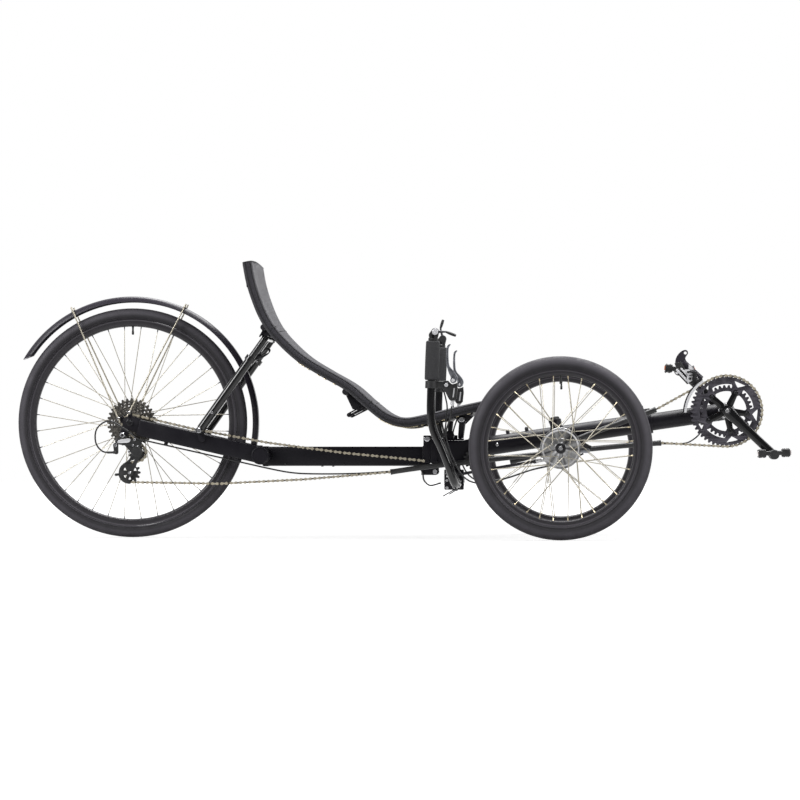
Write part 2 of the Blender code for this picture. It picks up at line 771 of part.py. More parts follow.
def cross_beam(side):
    """One side beam with the housing of its kingpin."""
    sign = SIDES[side]
    kingpin = kingpin_matrix(sign)
    housing_low, housing_high = KINGPIN_HOUSING
    middle = kingpin @ Vector((0, 0, (housing_low + housing_high) / 2))
    beam = rod(
        "cross_beam_" + side,
        (middle.x, 0, boom_axis_z(middle.x)),
        middle,
        CROSS_BEAM_RADIUS,
        16,
    )
    housing = rod(
        "kingpin_housing_" + side,
        kingpin @ Vector((0, 0, housing_low)),
        kingpin @ Vector((0, 0, housing_high)),
        KINGPIN_HOUSING_RADIUS,
        16,
    )
    tube_side = rod(
        "main_tube_side_" + side,
        boom_point(-0.10),
        boom_point(0.10),
        MAIN_TUBE_RADIUS + GAP,
        20,
    )
    other_half = box(
        "other_half_" + side,
        (-0.2, 0 if sign < 0 else -0.2, 0.1),
        (0.2, 0.2 if sign < 0 else 0, 0.5),
    )
    pin_bore = rod(
        "kingpin_bore_" + side,
        kingpin @ Vector((0, 0, -0.05)),
        kingpin @ Vector((0, 0, 0.15)),
        KINGPIN_RADIUS + RUNNING,
        16,
    )
    join(beam, housing)
    cut(beam, tube_side, other_half, pin_bore)
    place(beam, "front_frame", "frame black")


def knuckle(side):
    """Kingpin, stub axle, steering arm and brake plate of one front wheel."""
    sign = SIDES[side]
    kingpin = kingpin_matrix(sign)
    housing_low, housing_high = KINGPIN_HOUSING
    body = side + "_knuckle"
    upright = rod(
        "knuckle_" + side,
        kingpin @ Vector((0, 0, -0.020)),
        kingpin @ Vector((0, 0, housing_low - RUNNING)),
        0.0135,
        16,
    )
    pin = rod(
        "kingpin_" + side,
        kingpin @ Vector((0, 0, -0.010)),
        kingpin @ Vector((0, 0, housing_high + 0.004)),
        KINGPIN_RADIUS,
        12,
    )
    head = rod(
        "kingpin_head_" + side,
        kingpin @ Vector((0, 0, housing_high + RUNNING)),
        kingpin @ Vector((0, 0, housing_high + 0.0085)),
        0.011,
        6,
    )
    wheel_y = sign * HALF_TRACK
    stub = disc_y(
        "stub_" + side, 0, FRONT_RADIUS, sign * KINGPIN_Y, wheel_y + sign * (HUB_END_W + 0.005), STUB_RADIUS, 12
    )
    nut = disc_y(
        "stub_nut_" + side,
        0,
        FRONT_RADIUS,
        wheel_y + sign * (HUB_END_W + GAP),
        wheel_y + sign * (HUB_END_W + 0.0065),
        0.0105,
        12,
    )
    plate_disc = disc_y(
        "brake_plate_" + side,
        0,
        FRONT_RADIUS,
        wheel_y + sign * (DRUM_MOUTH - 0.005),
        wheel_y + sign * (DRUM_MOUTH + 0.004),
        (DRUM_RADIUS - DRUM_WALL) * math.cos(math.pi / HUB_STEPS) - GAP * 2,
        18,
    )
    shoes = disc_y(
        "brake_shoes_" + side,
        0,
        FRONT_RADIUS,
        wheel_y + sign * DRUM_MOUTH,
        wheel_y + sign * (DRUM_FACE - DRUM_WALL - 0.001),
        DRUM_RADIUS - DRUM_WALL - 0.006,
        12,
    )
    arm = rod(
        "steering_arm_" + side,
        (0, sign * KINGPIN_Y, FRONT_RADIUS - 0.010),
        (-STEERING_ARM, sign * KINGPIN_Y, ARM_END_Z),
        0.0048,
        8,
    )
    arm_end = rod(
        "arm_end_" + side,
        (-STEERING_ARM, sign * KINGPIN_Y, ARM_END_Z - ARM_END_THICKNESS / 2),
        (-STEERING_ARM, sign * KINGPIN_Y, ARM_END_Z + ARM_END_THICKNESS / 2),
        ROD_EYE_RADIUS,
        12,
    )
    join(upright, pin, head, stub, nut, plate_disc, shoes, arm, arm_end)
    pivot_x, _, pivot_z = PIVOTS[side + "_brake_arm"]
    arm_bore = disc_y(
        "brake_arm_bore_" + side,
        pivot_x,
        pivot_z,
        wheel_y + sign * (DRUM_MOUTH - 0.02),
        wheel_y + sign * (DRUM_MOUTH + 0.001),
        0.0045 + RUNNING,
        10,
    )
    cut(upright, arm_bore)
    place(upright, body, "dark steel")


def brake_arm(side):
    """The lever on the brake plate that the cable pulls."""
    sign = SIDES[side]
    body = side + "_brake_arm"
    x, y, z = PIVOTS[body]
    face = y + sign * (DRUM_MOUTH - 0.005 - RUNNING)
    tip = (x + BRAKE_ARM_LENGTH * math.cos(math.radians(-28)), z + BRAKE_ARM_LENGTH * math.sin(math.radians(-28)))
    arm = plate("brake_arm_" + side, [capsule((x, z), tip, 0.008, 0.006)], face, face - sign * 0.004)
    join(arm, disc_y("brake_cam_" + side, x, z, face - sign * 0.001, y + sign * (DRUM_MOUTH - 0.0005), 0.0045, 10))
    join(arm, disc_y("cable_block_" + side, tip[0], tip[1], face - sign * 0.010, face - sign * 0.002, 0.006, 8))
    place(arm, body, "silver")


def handlebar():
    """Under-seat U bar with its clamp, the brake lever perches and the shifter pods."""
    half = [
        (-0.3399, -BAR_Y, BAR_TOP_Z),
        (-0.3455, -BAR_Y, 0.400),
        (-0.3460, -BAR_Y, 0.330),
        (-0.3380, -BAR_Y, 0.287),
        (-0.3190, -BAR_Y, 0.246),
        (-0.3030, -BAR_Y, 0.207),
        (-0.2930, -BAR_Y + 0.004, 0.178),
        (-0.2850, -BAR_Y + 0.020, 0.155),
        (BAR_BOTTOM_X, -BAR_Y + 0.050, BAR_BOTTOM_Z),
        (BAR_BOTTOM_X, -BAR_Y + 0.090, BAR_BOTTOM_Z),
    ]
    points = half + [(x, -y, z) for x, y, z in reversed(half)]
    bar = solid_wire("handlebar", points, BAR_RADIUS, 2)
    stem = box("bar_stem", (-0.3200, -0.017, 0.130), (-0.2670, 0.017, 0.1855))
    bolts = [
        disc_y("stem_bolt_%d" % n, -0.3125, z, -0.0200, 0.0200, 0.0045, 10) for n, z in enumerate((0.1515, 0.1710))
    ]
    ears = box(
        "rod_ears",
        (ROD_PIVOT_X - 0.009, -ROD_PIVOT_Y - 0.007, ROD_PIVOT_Z + 0.0060),
        (ROD_PIVOT_X + 0.009, ROD_PIVOT_Y + 0.007, ROD_PIVOT_Z + 0.0130),
    )
    join(bar, stem, ears, *bolts)
    for side, sign in SIDES.items():
        y = sign * BAR_Y
        join(bar, box("perch_ring_" + side, (-0.3620, y - 0.0150, 0.402), (-0.3090, y + 0.0150, 0.4235)))
        join(bar, plate(
            "perch_" + side,
            [[(-0.312, 0.4235), (-0.312, 0.402), (-0.298, 0.374), (-0.279, 0.370), (-0.275, 0.402), (-0.2765, 0.4200)]],
            y - 0.0085,
            y + 0.0085,
        ))
        join(bar, rod("barrel_" + side, (-0.2885, y, 0.374), (-0.2905, y, 0.357), 0.0042, 8))
        join(bar, disc_y("perch_bolt_" + side, -0.3055, 0.4125, y - 0.0115, y + 0.0115, 0.0062, 10))
        join(bar, plate(
            "pod_" + side,
            [capsule((-0.3388, 0.5440), (SHIFT_PIVOT_X, SHIFT_PIVOT_Z), 0.0130, 0.0105)],
            y - 0.0105,
            y + 0.0105,
        ))
    steering_bore = rod("steering_bore", (STEER_X, 0, 0.1600), (STEER_X, 0, 0.2000), 0.0068, 12)
    sockets = [
        disc_y(
            "lever_socket_" + side,
            BRAKE_PIVOT_X,
            BRAKE_PIVOT_Z,
            sign * BAR_Y - 0.02,
            sign * BAR_Y + 0.02,
            LEVER_HUB_RADIUS + RUNNING,
            16,
        )
        for side, sign in SIDES.items()
    ]
    cut(bar, steering_bore, *sockets)
    place(bar, "handlebar", "frame black")


def grip(side):
    """A foam grip on one end of the bar."""
    y = SIDES[side] * BAR_Y
    low = Vector((-0.3444, y, GRIP_BOTTOM_Z))
    lean = Vector((-0.3399 + 0.3455, 0, BAR_TOP_Z - 0.400)).normalized()
    high = low + lean * GRIP_LENGTH
    sleeve = rod("grip_" + side, low, high, GRIP_RADIUS, 16)
    cut(sleeve, rod("grip_bore_" + side, low - lean * 0.02, high + lean * 0.02, BAR_RADIUS + 0.0010, 16))
    pod = box("pod_room_" + side, (-0.37, y - 0.03, 0.5303), (-0.30, y + 0.03, 0.60))
    cut(sleeve, pod)
    place(sleeve, "handlebar", "foam black")


def brake_lever(side):
    """Brake lever blade that stands beside its grip."""
    sign = SIDES[side]
    y = sign * BAR_Y
    hub = [
        (
            BRAKE_PIVOT_X + LEVER_HUB_RADIUS * math.cos(math.radians(degrees)),
            BRAKE_PIVOT_Z + LEVER_HUB_RADIUS * math.sin(math.radians(degrees)),
        )
        for degrees in (150, 180, 210, 240, 270, 300, 330, 360)
    ]
    outline = hub + [
        (-0.2765, 0.4330),
        (-0.2900, 0.4480),
        (-0.2985, 0.4650),
        (-0.2985, 0.5130),
        (-0.2930, 0.5185),
        (-0.2960, 0.5215),
        (-0.3035, 0.5160),
        (-0.3050, 0.4620),
        (-0.2980, 0.4380),
    ]
    lever = plate("brake_lever_" + side, [outline], y - 0.006, y + 0.006)
    place(lever, side + "_brake_lever", "silver")


def shift_lever(side):
    """Thin bar-end shift lever with its pivot bolt; the two sides stand at different gears."""
    sign = SIDES[side]
    y = sign * BAR_Y
    outboard = y + sign * (0.0105 + RUNNING)
    lever_y = outboard + sign * 0.003
    bend = {"right": (-0.3060, 0.5508), "left": (-0.3415, 0.5830)}[side]
    tip = {"right": (-0.2790, 0.5465), "left": (-0.3338, 0.6080)}[side]
    hub = disc_y("shift_lever_" + side, SHIFT_PIVOT_X, SHIFT_PIVOT_Z, outboard, outboard + sign * 0.006, 0.0093, 14)
    root = (SHIFT_PIVOT_X, lever_y, SHIFT_PIVOT_Z)
    arm = solid_wire("shift_arm_" + side, [root, (bend[0], lever_y, bend[1]), (tip[0], lever_y, tip[1])], 0.0026)
    pad = rod("shift_pad_" + side, (bend[0], lever_y, bend[1]), (tip[0], lever_y, tip[1]), 0.0030, 8, 0.0042)
    join(hub, arm, pad)
    place(hub, side + "_shift_lever", "dark steel")


def tie_rod(side):
    """Rod from the bar's clamp to a steering arm, with an eye at each end."""
    sign = SIDES[side]
    inner = Vector((ROD_PIVOT_X, sign * ROD_PIVOT_Y, ROD_PIVOT_Z))
    outer = Vector((-STEERING_ARM, sign * KINGPIN_Y, ROD_END_Z))
    bar = rod("tie_rod_" + side, inner, outer, ROD_RADIUS, 8)
    up = Vector((0, 0, ROD_EYE_THICKNESS / 2))
    join(bar, rod("rod_eye_in_" + side, inner - up, inner + up, ROD_EYE_RADIUS, 12))
    join(bar, rod("rod_eye_out_" + side, outer - up, outer + up, ROD_EYE_RADIUS, 12))
    place(bar, side + "_tie_rod", "frame black")


def rear_beam():
    """Rear beam with its fold flange, hinge leaf and the cross tube."""
    beam_front = HEAD_BACK_X - FLANGE_THICKNESS - GAP
    beam = box(
        "rear_beam",
        (CROSS_TUBE_X, -BEAM_HALF_WIDTH, BEAM_BOTTOM_Z),
        (beam_front - FLANGE_THICKNESS + 0.002, BEAM_HALF_WIDTH, BEAM_TOP_Z),
    )
    flange = box(
        "rear_flange",
        (beam_front - FLANGE_THICKNESS, -FLANGE_HALF_WIDTH, FLANGE_BOTTOM_Z),
        (beam_front, FLANGE_HALF_WIDTH, FLANGE_TOP_Z),
    )
    leaf_outline = [
        (beam_front - FLANGE_THICKNESS - 0.006, 0.2060),
        (beam_front - FLANGE_THICKNESS - 0.006, HINGE_Z - HINGE_KNUCKLE_RADIUS),
    ]
    for n in range(9):
        angle = math.radians(-90 + 22.5 * n)
        leaf_outline.append(
            (HINGE_X + HINGE_KNUCKLE_RADIUS * math.cos(angle), HINGE_Z + HINGE_KNUCKLE_RADIUS * math.sin(angle))
        )
    leaf_outline.append((beam_front - 0.002, HINGE_Z + HINGE_KNUCKLE_RADIUS))
    leaf_outline.append((beam_front - 0.002, 0.2060))
    leaves = [
        plate("hinge_leaf_" + side, [leaf_outline], sign * (0.0115 + RUNNING), sign * 0.030)
        for side, sign in SIDES.items()
    ]
    cross = disc_y("cross_tube", CROSS_TUBE_X, CROSS_TUBE_Z, -CROSS_TUBE_HALF, CROSS_TUBE_HALF, CROSS_TUBE_RADIUS, 20)
    tab = box("fender_tab", (-0.8400, -0.012, 0.236), (-0.8180, 0.012, 0.258))
    cut(tab, disc_y(
        "fender_room", REAR_X, REAR_RADIUS, -0.03, 0.03, FENDER_RADIUS + FENDER_WALL / 2 + GAP, 64
    ))
    join(beam, flange, cross, tab, *leaves)
    pin_bore = disc_y("rear_pin_bore", HINGE_X, HINGE_Z, -0.05, 0.05, HINGE_PIN_RADIUS + RUNNING, 12)
    latch_bore = disc_y(
        "latch_bore", beam_front - 0.0085, FLANGE_TOP_Z - 0.0085, -0.05, 0.05, LATCH_BOLT_RADIUS - 0.002, 12
    )
    cut(beam, pin_bore, latch_bore)
    place(beam, "rear_frame", "frame black")


def fold_latch():
    """The bolt across the top of the flanges that locks the frame open."""
    x = HEAD_BACK_X - FLANGE_THICKNESS - GAP - 0.0085
    z = FLANGE_TOP_Z - 0.0085
    bolt = disc_y("fold_latch", x, z, -0.035, 0.035, LATCH_BOLT_RADIUS - 0.002 - GAP * 1.4, 12)
    for side, sign in SIDES.items():
        start = sign * (FLANGE_HALF_WIDTH + GAP)
        join(bolt, disc_y("latch_head_" + side, x, z, start, start + sign * 0.005, LATCH_BOLT_RADIUS, 12))
    place(bolt, "rear_frame", "silver")


def chainstay(side):
    """One chainstay with its dropout; the right one carries the derailleur hanger."""
    sign = SIDES[side]
    start = Vector((STAY_FRONT_X, CROSS_TUBE_Z))
    end = Vector((STAY_BACK_X, CROSS_TUBE_Z + (STAY_FRONT_X - STAY_BACK_X) * math.tan(STAY_SLOPE)))
    across = Vector((start.y - end.y, end.x - start.x)).normalized() * STAY_HEIGHT / 2
    stay = plate(
        "chainstay_" + side,
        [[start - across, start + across, end + across, end - across]],
        sign * (STAY_Y - STAY_WIDTH / 2),
        sign * (STAY_Y + STAY_WIDTH / 2),
    )
    inner = sign * DROPOUT_Y
    outer = sign * (DROPOUT_Y + DROPOUT_THICKNESS)
    dropout = plate("dropout_" + side, [capsule((REAR_X, REAR_RADIUS), (-1.120, REAR_RADIUS - 0.0205), 0.019, 0.020)], inner, outer)
    strut_lug = plate(
        "strut_lug_" + side,
        [capsule((STRUT_FOOT_X, STRUT_FOOT_Z), (STRUT_FOOT_X + 0.006, 0.270), 0.009)],
        sign * (STRUT_Y - STRUT_EYE_HALF - RUNNING),
        sign * (STRUT_Y - STRUT_EYE_HALF - 0.0075),
    )
    strut_bolt = disc_y(
        "strut_bolt_" + side,
        STRUT_FOOT_X,
        STRUT_FOOT_Z,
        sign * (STRUT_Y - STRUT_EYE_HALF - 0.004),
        sign * (STRUT_Y + STRUT_EYE_HALF + 0.0030),
        0.0038,
        10,
    )
    bolt_head = disc_y(
        "strut_bolt_head_" + side,
        STRUT_FOOT_X,
        STRUT_FOOT_Z,
        sign * (STRUT_Y + STRUT_EYE_HALF + RUNNING),
        sign * (STRUT_Y + STRUT_EYE_HALF + 0.005),
        0.0070,
        6,
    )
    eyelets = [
        plate("eyelet_%s_%d" % (side, n), [capsule((REAR_X, REAR_RADIUS), foot, 0.010, 0.0075, 5)], inner, outer)
        for n, foot in enumerate(FENDER_FEET.values())
    ]
    join(stay, dropout, strut_lug, strut_bolt, bolt_head, *eyelets)
    if side == "right":
        bolt = (-1.196, REAR_RADIUS - 0.034)
        hanger = plate("hanger", [capsule((-1.183, REAR_RADIUS - 0.011), bolt, 0.012, 0.0105)], inner, outer)
        knuckle_top = disc_y("hanger_knuckle", *bolt, outer + sign * -0.001, sign * 0.0920, 0.0105, 14)
        join(stay, hanger, knuckle_top, cable_guide(-0.8750), cable_guide(-1.0750))
    cross = disc_y(
        "stay_cope_" + side, CROSS_TUBE_X, CROSS_TUBE_Z, sign * 0.05, sign * 0.13, CROSS_TUBE_RADIUS + GAP, 20
    )
    front_room = box(
        "stay_front_" + side,
        (CROSS_TUBE_X - 0.004, min(sign * 0.05, sign * 0.13), 0.15),
        (CROSS_TUBE_X + 0.08, max(sign * 0.05, sign * 0.13), 0.30),
    )
    axle_bore = disc_y("axle_bore_" + side, REAR_X, REAR_RADIUS, sign * 0.05, sign * 0.10, REAR_AXLE_RADIUS + GAP, 12)
    cut(stay, cross, front_room, axle_bore)
    place(stay, "rear_frame", "frame black")


def fender():
    """Curved blade over the rear wheel, deeper at its edges."""
    half = FENDER_WIDTH / 2
    profile = [
        (FENDER_RADIUS - FENDER_LIP, -half),
        (FENDER_RADIUS, -half * 0.60),
        (FENDER_RADIUS, half * 0.60),
        (FENDER_RADIUS - FENDER_LIP, half),
    ]
    blade = turned(
        "fender",
        profile,
        20,
        (REAR_X, 0, REAR_RADIUS),
        -FENDER_END,
        closed=False,
        angle=FENDER_END - FENDER_START,
        outboard=1,
    )
    shell = blade.modifiers.new("wall", "SOLIDIFY")
    shell.thickness = FENDER_WALL
    shell.offset = 0
    place(blade, "rear_frame", "gloss black")


def fender_point(degrees, radius, y):
    """A point round the rear axle."""
    angle = math.radians(degrees)
    return (REAR_X + radius * math.cos(angle), y, REAR_RADIUS + radius * math.sin(angle))


def fender_stays():
    """Two wire hoops over the fender, tied together at each dropout."""
    eye_y = DROPOUT_Y + DROPOUT_THICKNESS + GAP + WIRE_RADIUS
    straight = 0.015
    hoops = []
    for degrees, (x, z) in FENDER_FEET.items():
        top_x, _, top_z = fender_point(degrees, FENDER_RADIUS, 0)
        reach = math.hypot(top_x - x, top_z - z)
        half = [
            (x, -eye_y, z),
            (x + (top_x - x) * straight / reach, -eye_y, z + (top_z - z) * straight / reach),
            fender_point(degrees, FENDER_RADIUS - 0.014, -0.0290),
            fender_point(degrees, FENDER_RADIUS - 0.001, -0.0262),
            fender_point(degrees, FENDER_RADIUS + 0.0037, -0.0120),
        ]
        hoops.append(solid_wire(
            "stay_hoop_%d" % degrees, half + [(px, -py, pz) for px, py, pz in reversed(half)], WIRE_RADIUS, 0
        ))
    stays = hoops[0]
    stays.name = "fender_stays"
    join(stays, hoops[1])
    (rear_x, rear_z), (front_x, front_z) = FENDER_FEET.values()
    for side, sign in SIDES.items():
        join(stays, solid_wire(
            "stay_tie_" + side,
            [(rear_x - 0.003, sign * eye_y, rear_z), (front_x + 0.003, sign * eye_y, front_z)],
            WIRE_RADIUS * 1.1,
            0,
        ))
    place(stays, "rear_frame", "silver")


def rear_derailleur():
    """Outer link and lower knuckle of the rear derailleur, which slide inwards over the cogs."""
    outer_face = CASSETTE_Y - 0.0072
    body = disc_y("rear_derailleur", GUIDE_X, GUIDE_Z, outer_face - RUNNING, -0.0880, 0.0110, 14)
    link = plate(
        "derailleur_link",
        [capsule((-1.1895, REAR_RADIUS - 0.0540), (GUIDE_X, GUIDE_Z), 0.0085, 0.0105)],
        -0.0790,
        -0.0870,
    )
    join(body, link)
    place(body, "rear_derailleur", "silver")


def derailleur_cage():
    """Two plates that hold the guide and tension pulleys."""
    guide = (GUIDE_X, GUIDE_Z)
    tension = (TENSION_X, TENSION_Z)
    outline = [capsule(guide, tension, 0.0125, 0.0150)]
    outer = plate("derailleur_cage", outline, CASSETTE_Y - 0.0055, CASSETTE_Y - 0.0072)
    inner = plate("inner_cage", outline, CASSETTE_Y + 0.0055, CASSETTE_Y + 0.0070)
    pins = [
        disc_y("pulley_pin_%d" % n, x, z, CASSETTE_Y - 0.006, CASSETTE_Y + 0.006, 0.0026, 8)
        for n, (x, z) in enumerate((guide, tension))
    ]
    join(outer, inner, *pins)
    place(outer, "derailleur_cage", "plastic black")


def pulley(name, teeth, x, z, y, thickness, bore, finish_name):
    """A toothed wheel that the chain runs round."""
    wheel = plate(name, [teeth_outline(x, z, teeth), circle(x, z, bore, 10)], y - thickness / 2, y + thickness / 2)
    place(wheel, name if name != "idler_wheel" else "idler", finish_name)


def idler_bracket():
    """Bracket under the main tube with the idler's axle."""
    top = boom_axis_z(IDLER_X)
    hanger = plate(
        "idler_bracket",
        [capsule((IDLER_X, IDLER_Z), (IDLER_X, top), 0.010)],
        -0.0420,
        -0.0360,
    )
    boss = disc_y("idler_boss", IDLER_X, top, -0.0400, -0.0150, 0.009, 12)
    axle = disc_y("idler_axle", IDLER_X, IDLER_Z, -0.0400, -0.0590, 0.0040, 10)
    cap = disc_y("idler_cap", IDLER_X, IDLER_Z, -0.0566, -0.0600, 0.0075, 10)
    join(hanger, boss, axle, cap)
    cut(hanger, rod(
        "bracket_cope", boom_point(-0.32), boom_point(-0.15), MAIN_TUBE_RADIUS + GAP, 20
    ))
    head_room = box(
        "bracket_head_room",
        (HEAD_BACK_X, -HEAD_HALF_WIDTH - GAP, 0.15),
        (HEAD_FRONT_X + GAP, HEAD_HALF_WIDTH, 0.30),
    )
    cut(hanger, head_room)
    place(hanger, "front_frame", "frame black")


def boom():
    """Sliding boom with the bottom bracket shell at its front."""
    tube = rod("boom", boom_point(BOOM_TAIL_X), boom_point(BB_X), BOOM_RADIUS, 20)
    shell = disc_y("bracket_shell", BB_X, BB_Z, -0.034, 0.034, 0.0235, 20)
    join(tube, shell)
    spindle_bore = disc_y("spindle_bore", BB_X, BB_Z, -0.05, 0.05, SPINDLE_RADIUS + RUNNING, 16)
    cut(tube, spindle_bore)
    place(tube, "boom", "frame black")


def derailleur_post():
    """Band clamp and leaning post on the boom that carry the front derailleur."""
    band_x = 0.385
    band = rod("derailleur_post", boom_point(band_x - 0.011), boom_point(band_x + 0.011), BOOM_RADIUS + 0.005, 18)
    post = rod("post_tube", boom_point(band_x, 0, 0.020), (0.3350, 0, 0.4760), 0.0095, 12)
    head = plate("post_head", [circle(0.3320, 0.4930, 0.0200, 14)], -0.0045, 0.0045)
    body = box("derailleur_body", (0.3430, -0.0290, 0.4200), (0.3700, -0.0030, 0.4510))
    join(band, post, head, body)
    cut(band, rod("band_bore", boom_point(band_x - 0.03), boom_point(band_x + 0.03), BOOM_RADIUS + 0.0008, 18))
    cut(band, plate("head_hole", [circle(0.3390, 0.5050, 0.0055, 10)], -0.02, 0.02))
    place(band, "boom", "frame black")


def front_derailleur_cage():
    """Chain guide over the outer ring: two curved plates, a bridge and the sliding arm."""
    arc = [math.radians(degrees) for degrees in (122, 131, 140, 149, 158, 167, 176)]
    ring = pitch_radius(CHAINRING_TEETH)
    outline = [(BB_X + (ring + 0.020) * math.cos(a), BB_Z + (ring + 0.020) * math.sin(a)) for a in arc]
    outline += [(BB_X + (ring - 0.008) * math.cos(a), BB_Z + (ring - 0.008) * math.sin(a)) for a in reversed(arc)]
    cage = plate("front_derailleur_cage", [outline], CHAINRING_Y - 0.0115, CHAINRING_Y - 0.0100)
    inner = plate("cage_inner", [outline], CHAINRING_Y + 0.0100, CHAINRING_Y + 0.0115)
    bridge_angle = math.radians(140)
    bridge_x = BB_X + (ring + 0.0170) * math.cos(bridge_angle)
    bridge_z = BB_Z + (ring + 0.0170) * math.sin(bridge_angle)
    bridge = disc_y("cage_bridge", bridge_x, bridge_z, CHAINRING_Y - 0.0110, CHAINRING_Y + 0.0110, 0.0030, 8)
    arm = box("cage_arm", (0.3480, -0.0395, 0.4515), (0.3720, -0.0185, 0.4580))
    riser = box("cage_riser", (0.3480, -0.0395, 0.4150), (0.3720, -0.0375, 0.4560))
    join(cage, inner, bridge, riser, arm)
    place(cage, "front_derailleur", "silver")


def chainrings():
    """Outer and inner chainring, held together by five bolts."""
    outer = plate(
        "chainrings",
        [teeth_outline(BB_X, BB_Z, CHAINRING_TEETH), circle(BB_X, BB_Z, BOLT_CIRCLE - 0.008, 16)],
        CHAINRING_Y - 0.0014,
        CHAINRING_Y + 0.0014,
    )
    inner_y = CHAINRING_Y + CHAINRING_SPACING
    inner = plate(
        "inner_ring",
        [
            circle(BB_X, BB_Z, pitch_radius(INNER_RING_TEETH) + TOOTH_RISE, 24),
            circle(BB_X, BB_Z, BOLT_CIRCLE - 0.008, 16),
        ],
        inner_y - 0.0011,
        inner_y + 0.0011,
    )
    join(outer, inner)
    for n in range(5):
        angle = CRANK_ANGLE + 2 * math.pi * (n + 0.5) / 5
        x = BB_X + BOLT_CIRCLE * math.cos(angle)
        z = BB_Z + BOLT_CIRCLE * math.sin(angle)
        join(outer, disc_y("ring_bolt_%d" % n, x, z, CHAINRING_Y - 0.0012, inner_y + 0.0020, 0.0050, 6))
    place(outer, "crankset", "ring grey")


def crankset():
    """Spindle, right arm with its five-armed spider, left arm and the pedal axles."""
    crank = disc_y("crankset", BB_X, BB_Z, -CRANK_Y, CRANK_Y, SPINDLE_RADIUS, 16)
    for side, sign in SIDES.items():
        angle = CRANK_ANGLE if side == "right" else CRANK_ANGLE + math.pi
        end = (BB_X + CRANK_LENGTH * math.cos(angle), BB_Z + CRANK_LENGTH * math.sin(angle))
        inner = sign * (CRANK_Y - CRANK_THICKNESS / 2)
        outer = sign * (CRANK_Y + CRANK_THICKNESS / 2)
        join(crank, plate("crank_arm_" + side, [capsule((BB_X, BB_Z), end, 0.0165, 0.0125)], inner, outer))
        axle_end = sign * (PEDAL_Y + PEDAL_WIDTH / 2 + 0.002)
        join(crank, disc_y("pedal_axle_" + side, end[0], end[1], sign * CRANK_Y, axle_end, 0.0048, 8))
        cap = disc_y("crank_cap_" + side, BB_X, BB_Z, outer - sign * 0.001, outer + sign * 0.003, 0.0095, 12)
        join(crank, cap)
    face = CHAINRING_Y - 0.0014 - GAP
    hub = disc_y("spider_hub", BB_X, BB_Z, -CRANK_Y, face + 0.004, 0.0200, 14)
    join(crank, hub)
    for n in range(5):
        angle = CRANK_ANGLE + 2 * math.pi * (n + 0.5) / 5
        tip = (BB_X + BOLT_CIRCLE * math.cos(angle), BB_Z + BOLT_CIRCLE * math.sin(angle))
        join(crank, plate("spider_arm_%d" % n, [capsule((BB_X, BB_Z), tip, 0.0110, 0.0080, 4)], face, face - 0.0045))
    place(crank, "crankset", "dark steel")


def pedal(side):
    """Platform pedal: a barrel on the axle and a flat cage round it."""
    sign = SIDES[side]
    body = side + "_pedal"
    x, y, z = PIVOTS[body]
    tilt = RIGHT_PEDAL_TILT if side == "right" else LEFT_PEDAL_TILT
    half = PEDAL_LENGTH / 2
    platform = box(
        "pedal_" + side,
        (-half, -PEDAL_WIDTH / 2, -PEDAL_THICKNESS / 2),
        (half, PEDAL_WIDTH / 2, PEDAL_THICKNESS / 2),
    )
    platform.data.transform(Matrix.Translation((x, y, z)) @ Matrix.Rotation(-tilt, 4, "Y"))
    barrel = disc_y("pedal_barrel_" + side, x, z, y - PEDAL_WIDTH / 2, y + PEDAL_WIDTH / 2, 0.0120, 12)
    join(platform, barrel)
    for n, offset in enumerate((-0.026, 0.026)):
        window = box(
            "pedal_window_%s_%d" % (side, n),
            (offset - 0.0095, -PEDAL_WIDTH / 2 + 0.008, -0.03),
            (offset + 0.0095, PEDAL_WIDTH / 2 - 0.008, 0.03),
        )
        window.data.transform(Matrix.Translation((x, y, z)) @ Matrix.Rotation(-tilt, 4, "Y"))
        cut(platform, window)
    cut(platform, disc_y("pedal_bore_" + side, x, z, y - sign * 0.06, y + sign * 0.06, 0.0053, 8))
    place(platform, body, "plastic black")


def tangent(first, second):
    """Where a belt leaves one wheel and meets the next; a wheel is (x, z, radius, turning way)."""
    x1, z1, r1, way1 = first
    x2, z2, r2, way2 = second
    distance = math.hypot(x2 - x1, z2 - z1)
    heading = math.atan2(z2 - z1, x2 - x1) + math.asin((r1 * way1 - r2 * way2) / distance)
    mx, mz = math.sin(heading), -math.cos(heading)
    return (
        (x1 + r1 * way1 * mx, z1 + r1 * way1 * mz),
        (x2 + r2 * way2 * mx, z2 + r2 * way2 * mz),
    )


def wrap(wheel, arrive, leave):
    """Points round a wheel between where the chain meets it and where it leaves."""
    x, z, radius, way = wheel
    start = math.atan2(arrive[1] - z, arrive[0] - x)
    end = math.atan2(leave[1] - z, leave[0] - x)
    sweep = (end - start) * way % (2 * math.pi)
    count = max(2, round(sweep / math.radians(26 if radius < 0.05 else 17)))
    return [
        (x + radius * math.cos(start + way * sweep * n / count), z + radius * math.sin(start + way * sweep * n / count))
        for n in range(count + 1)
    ]


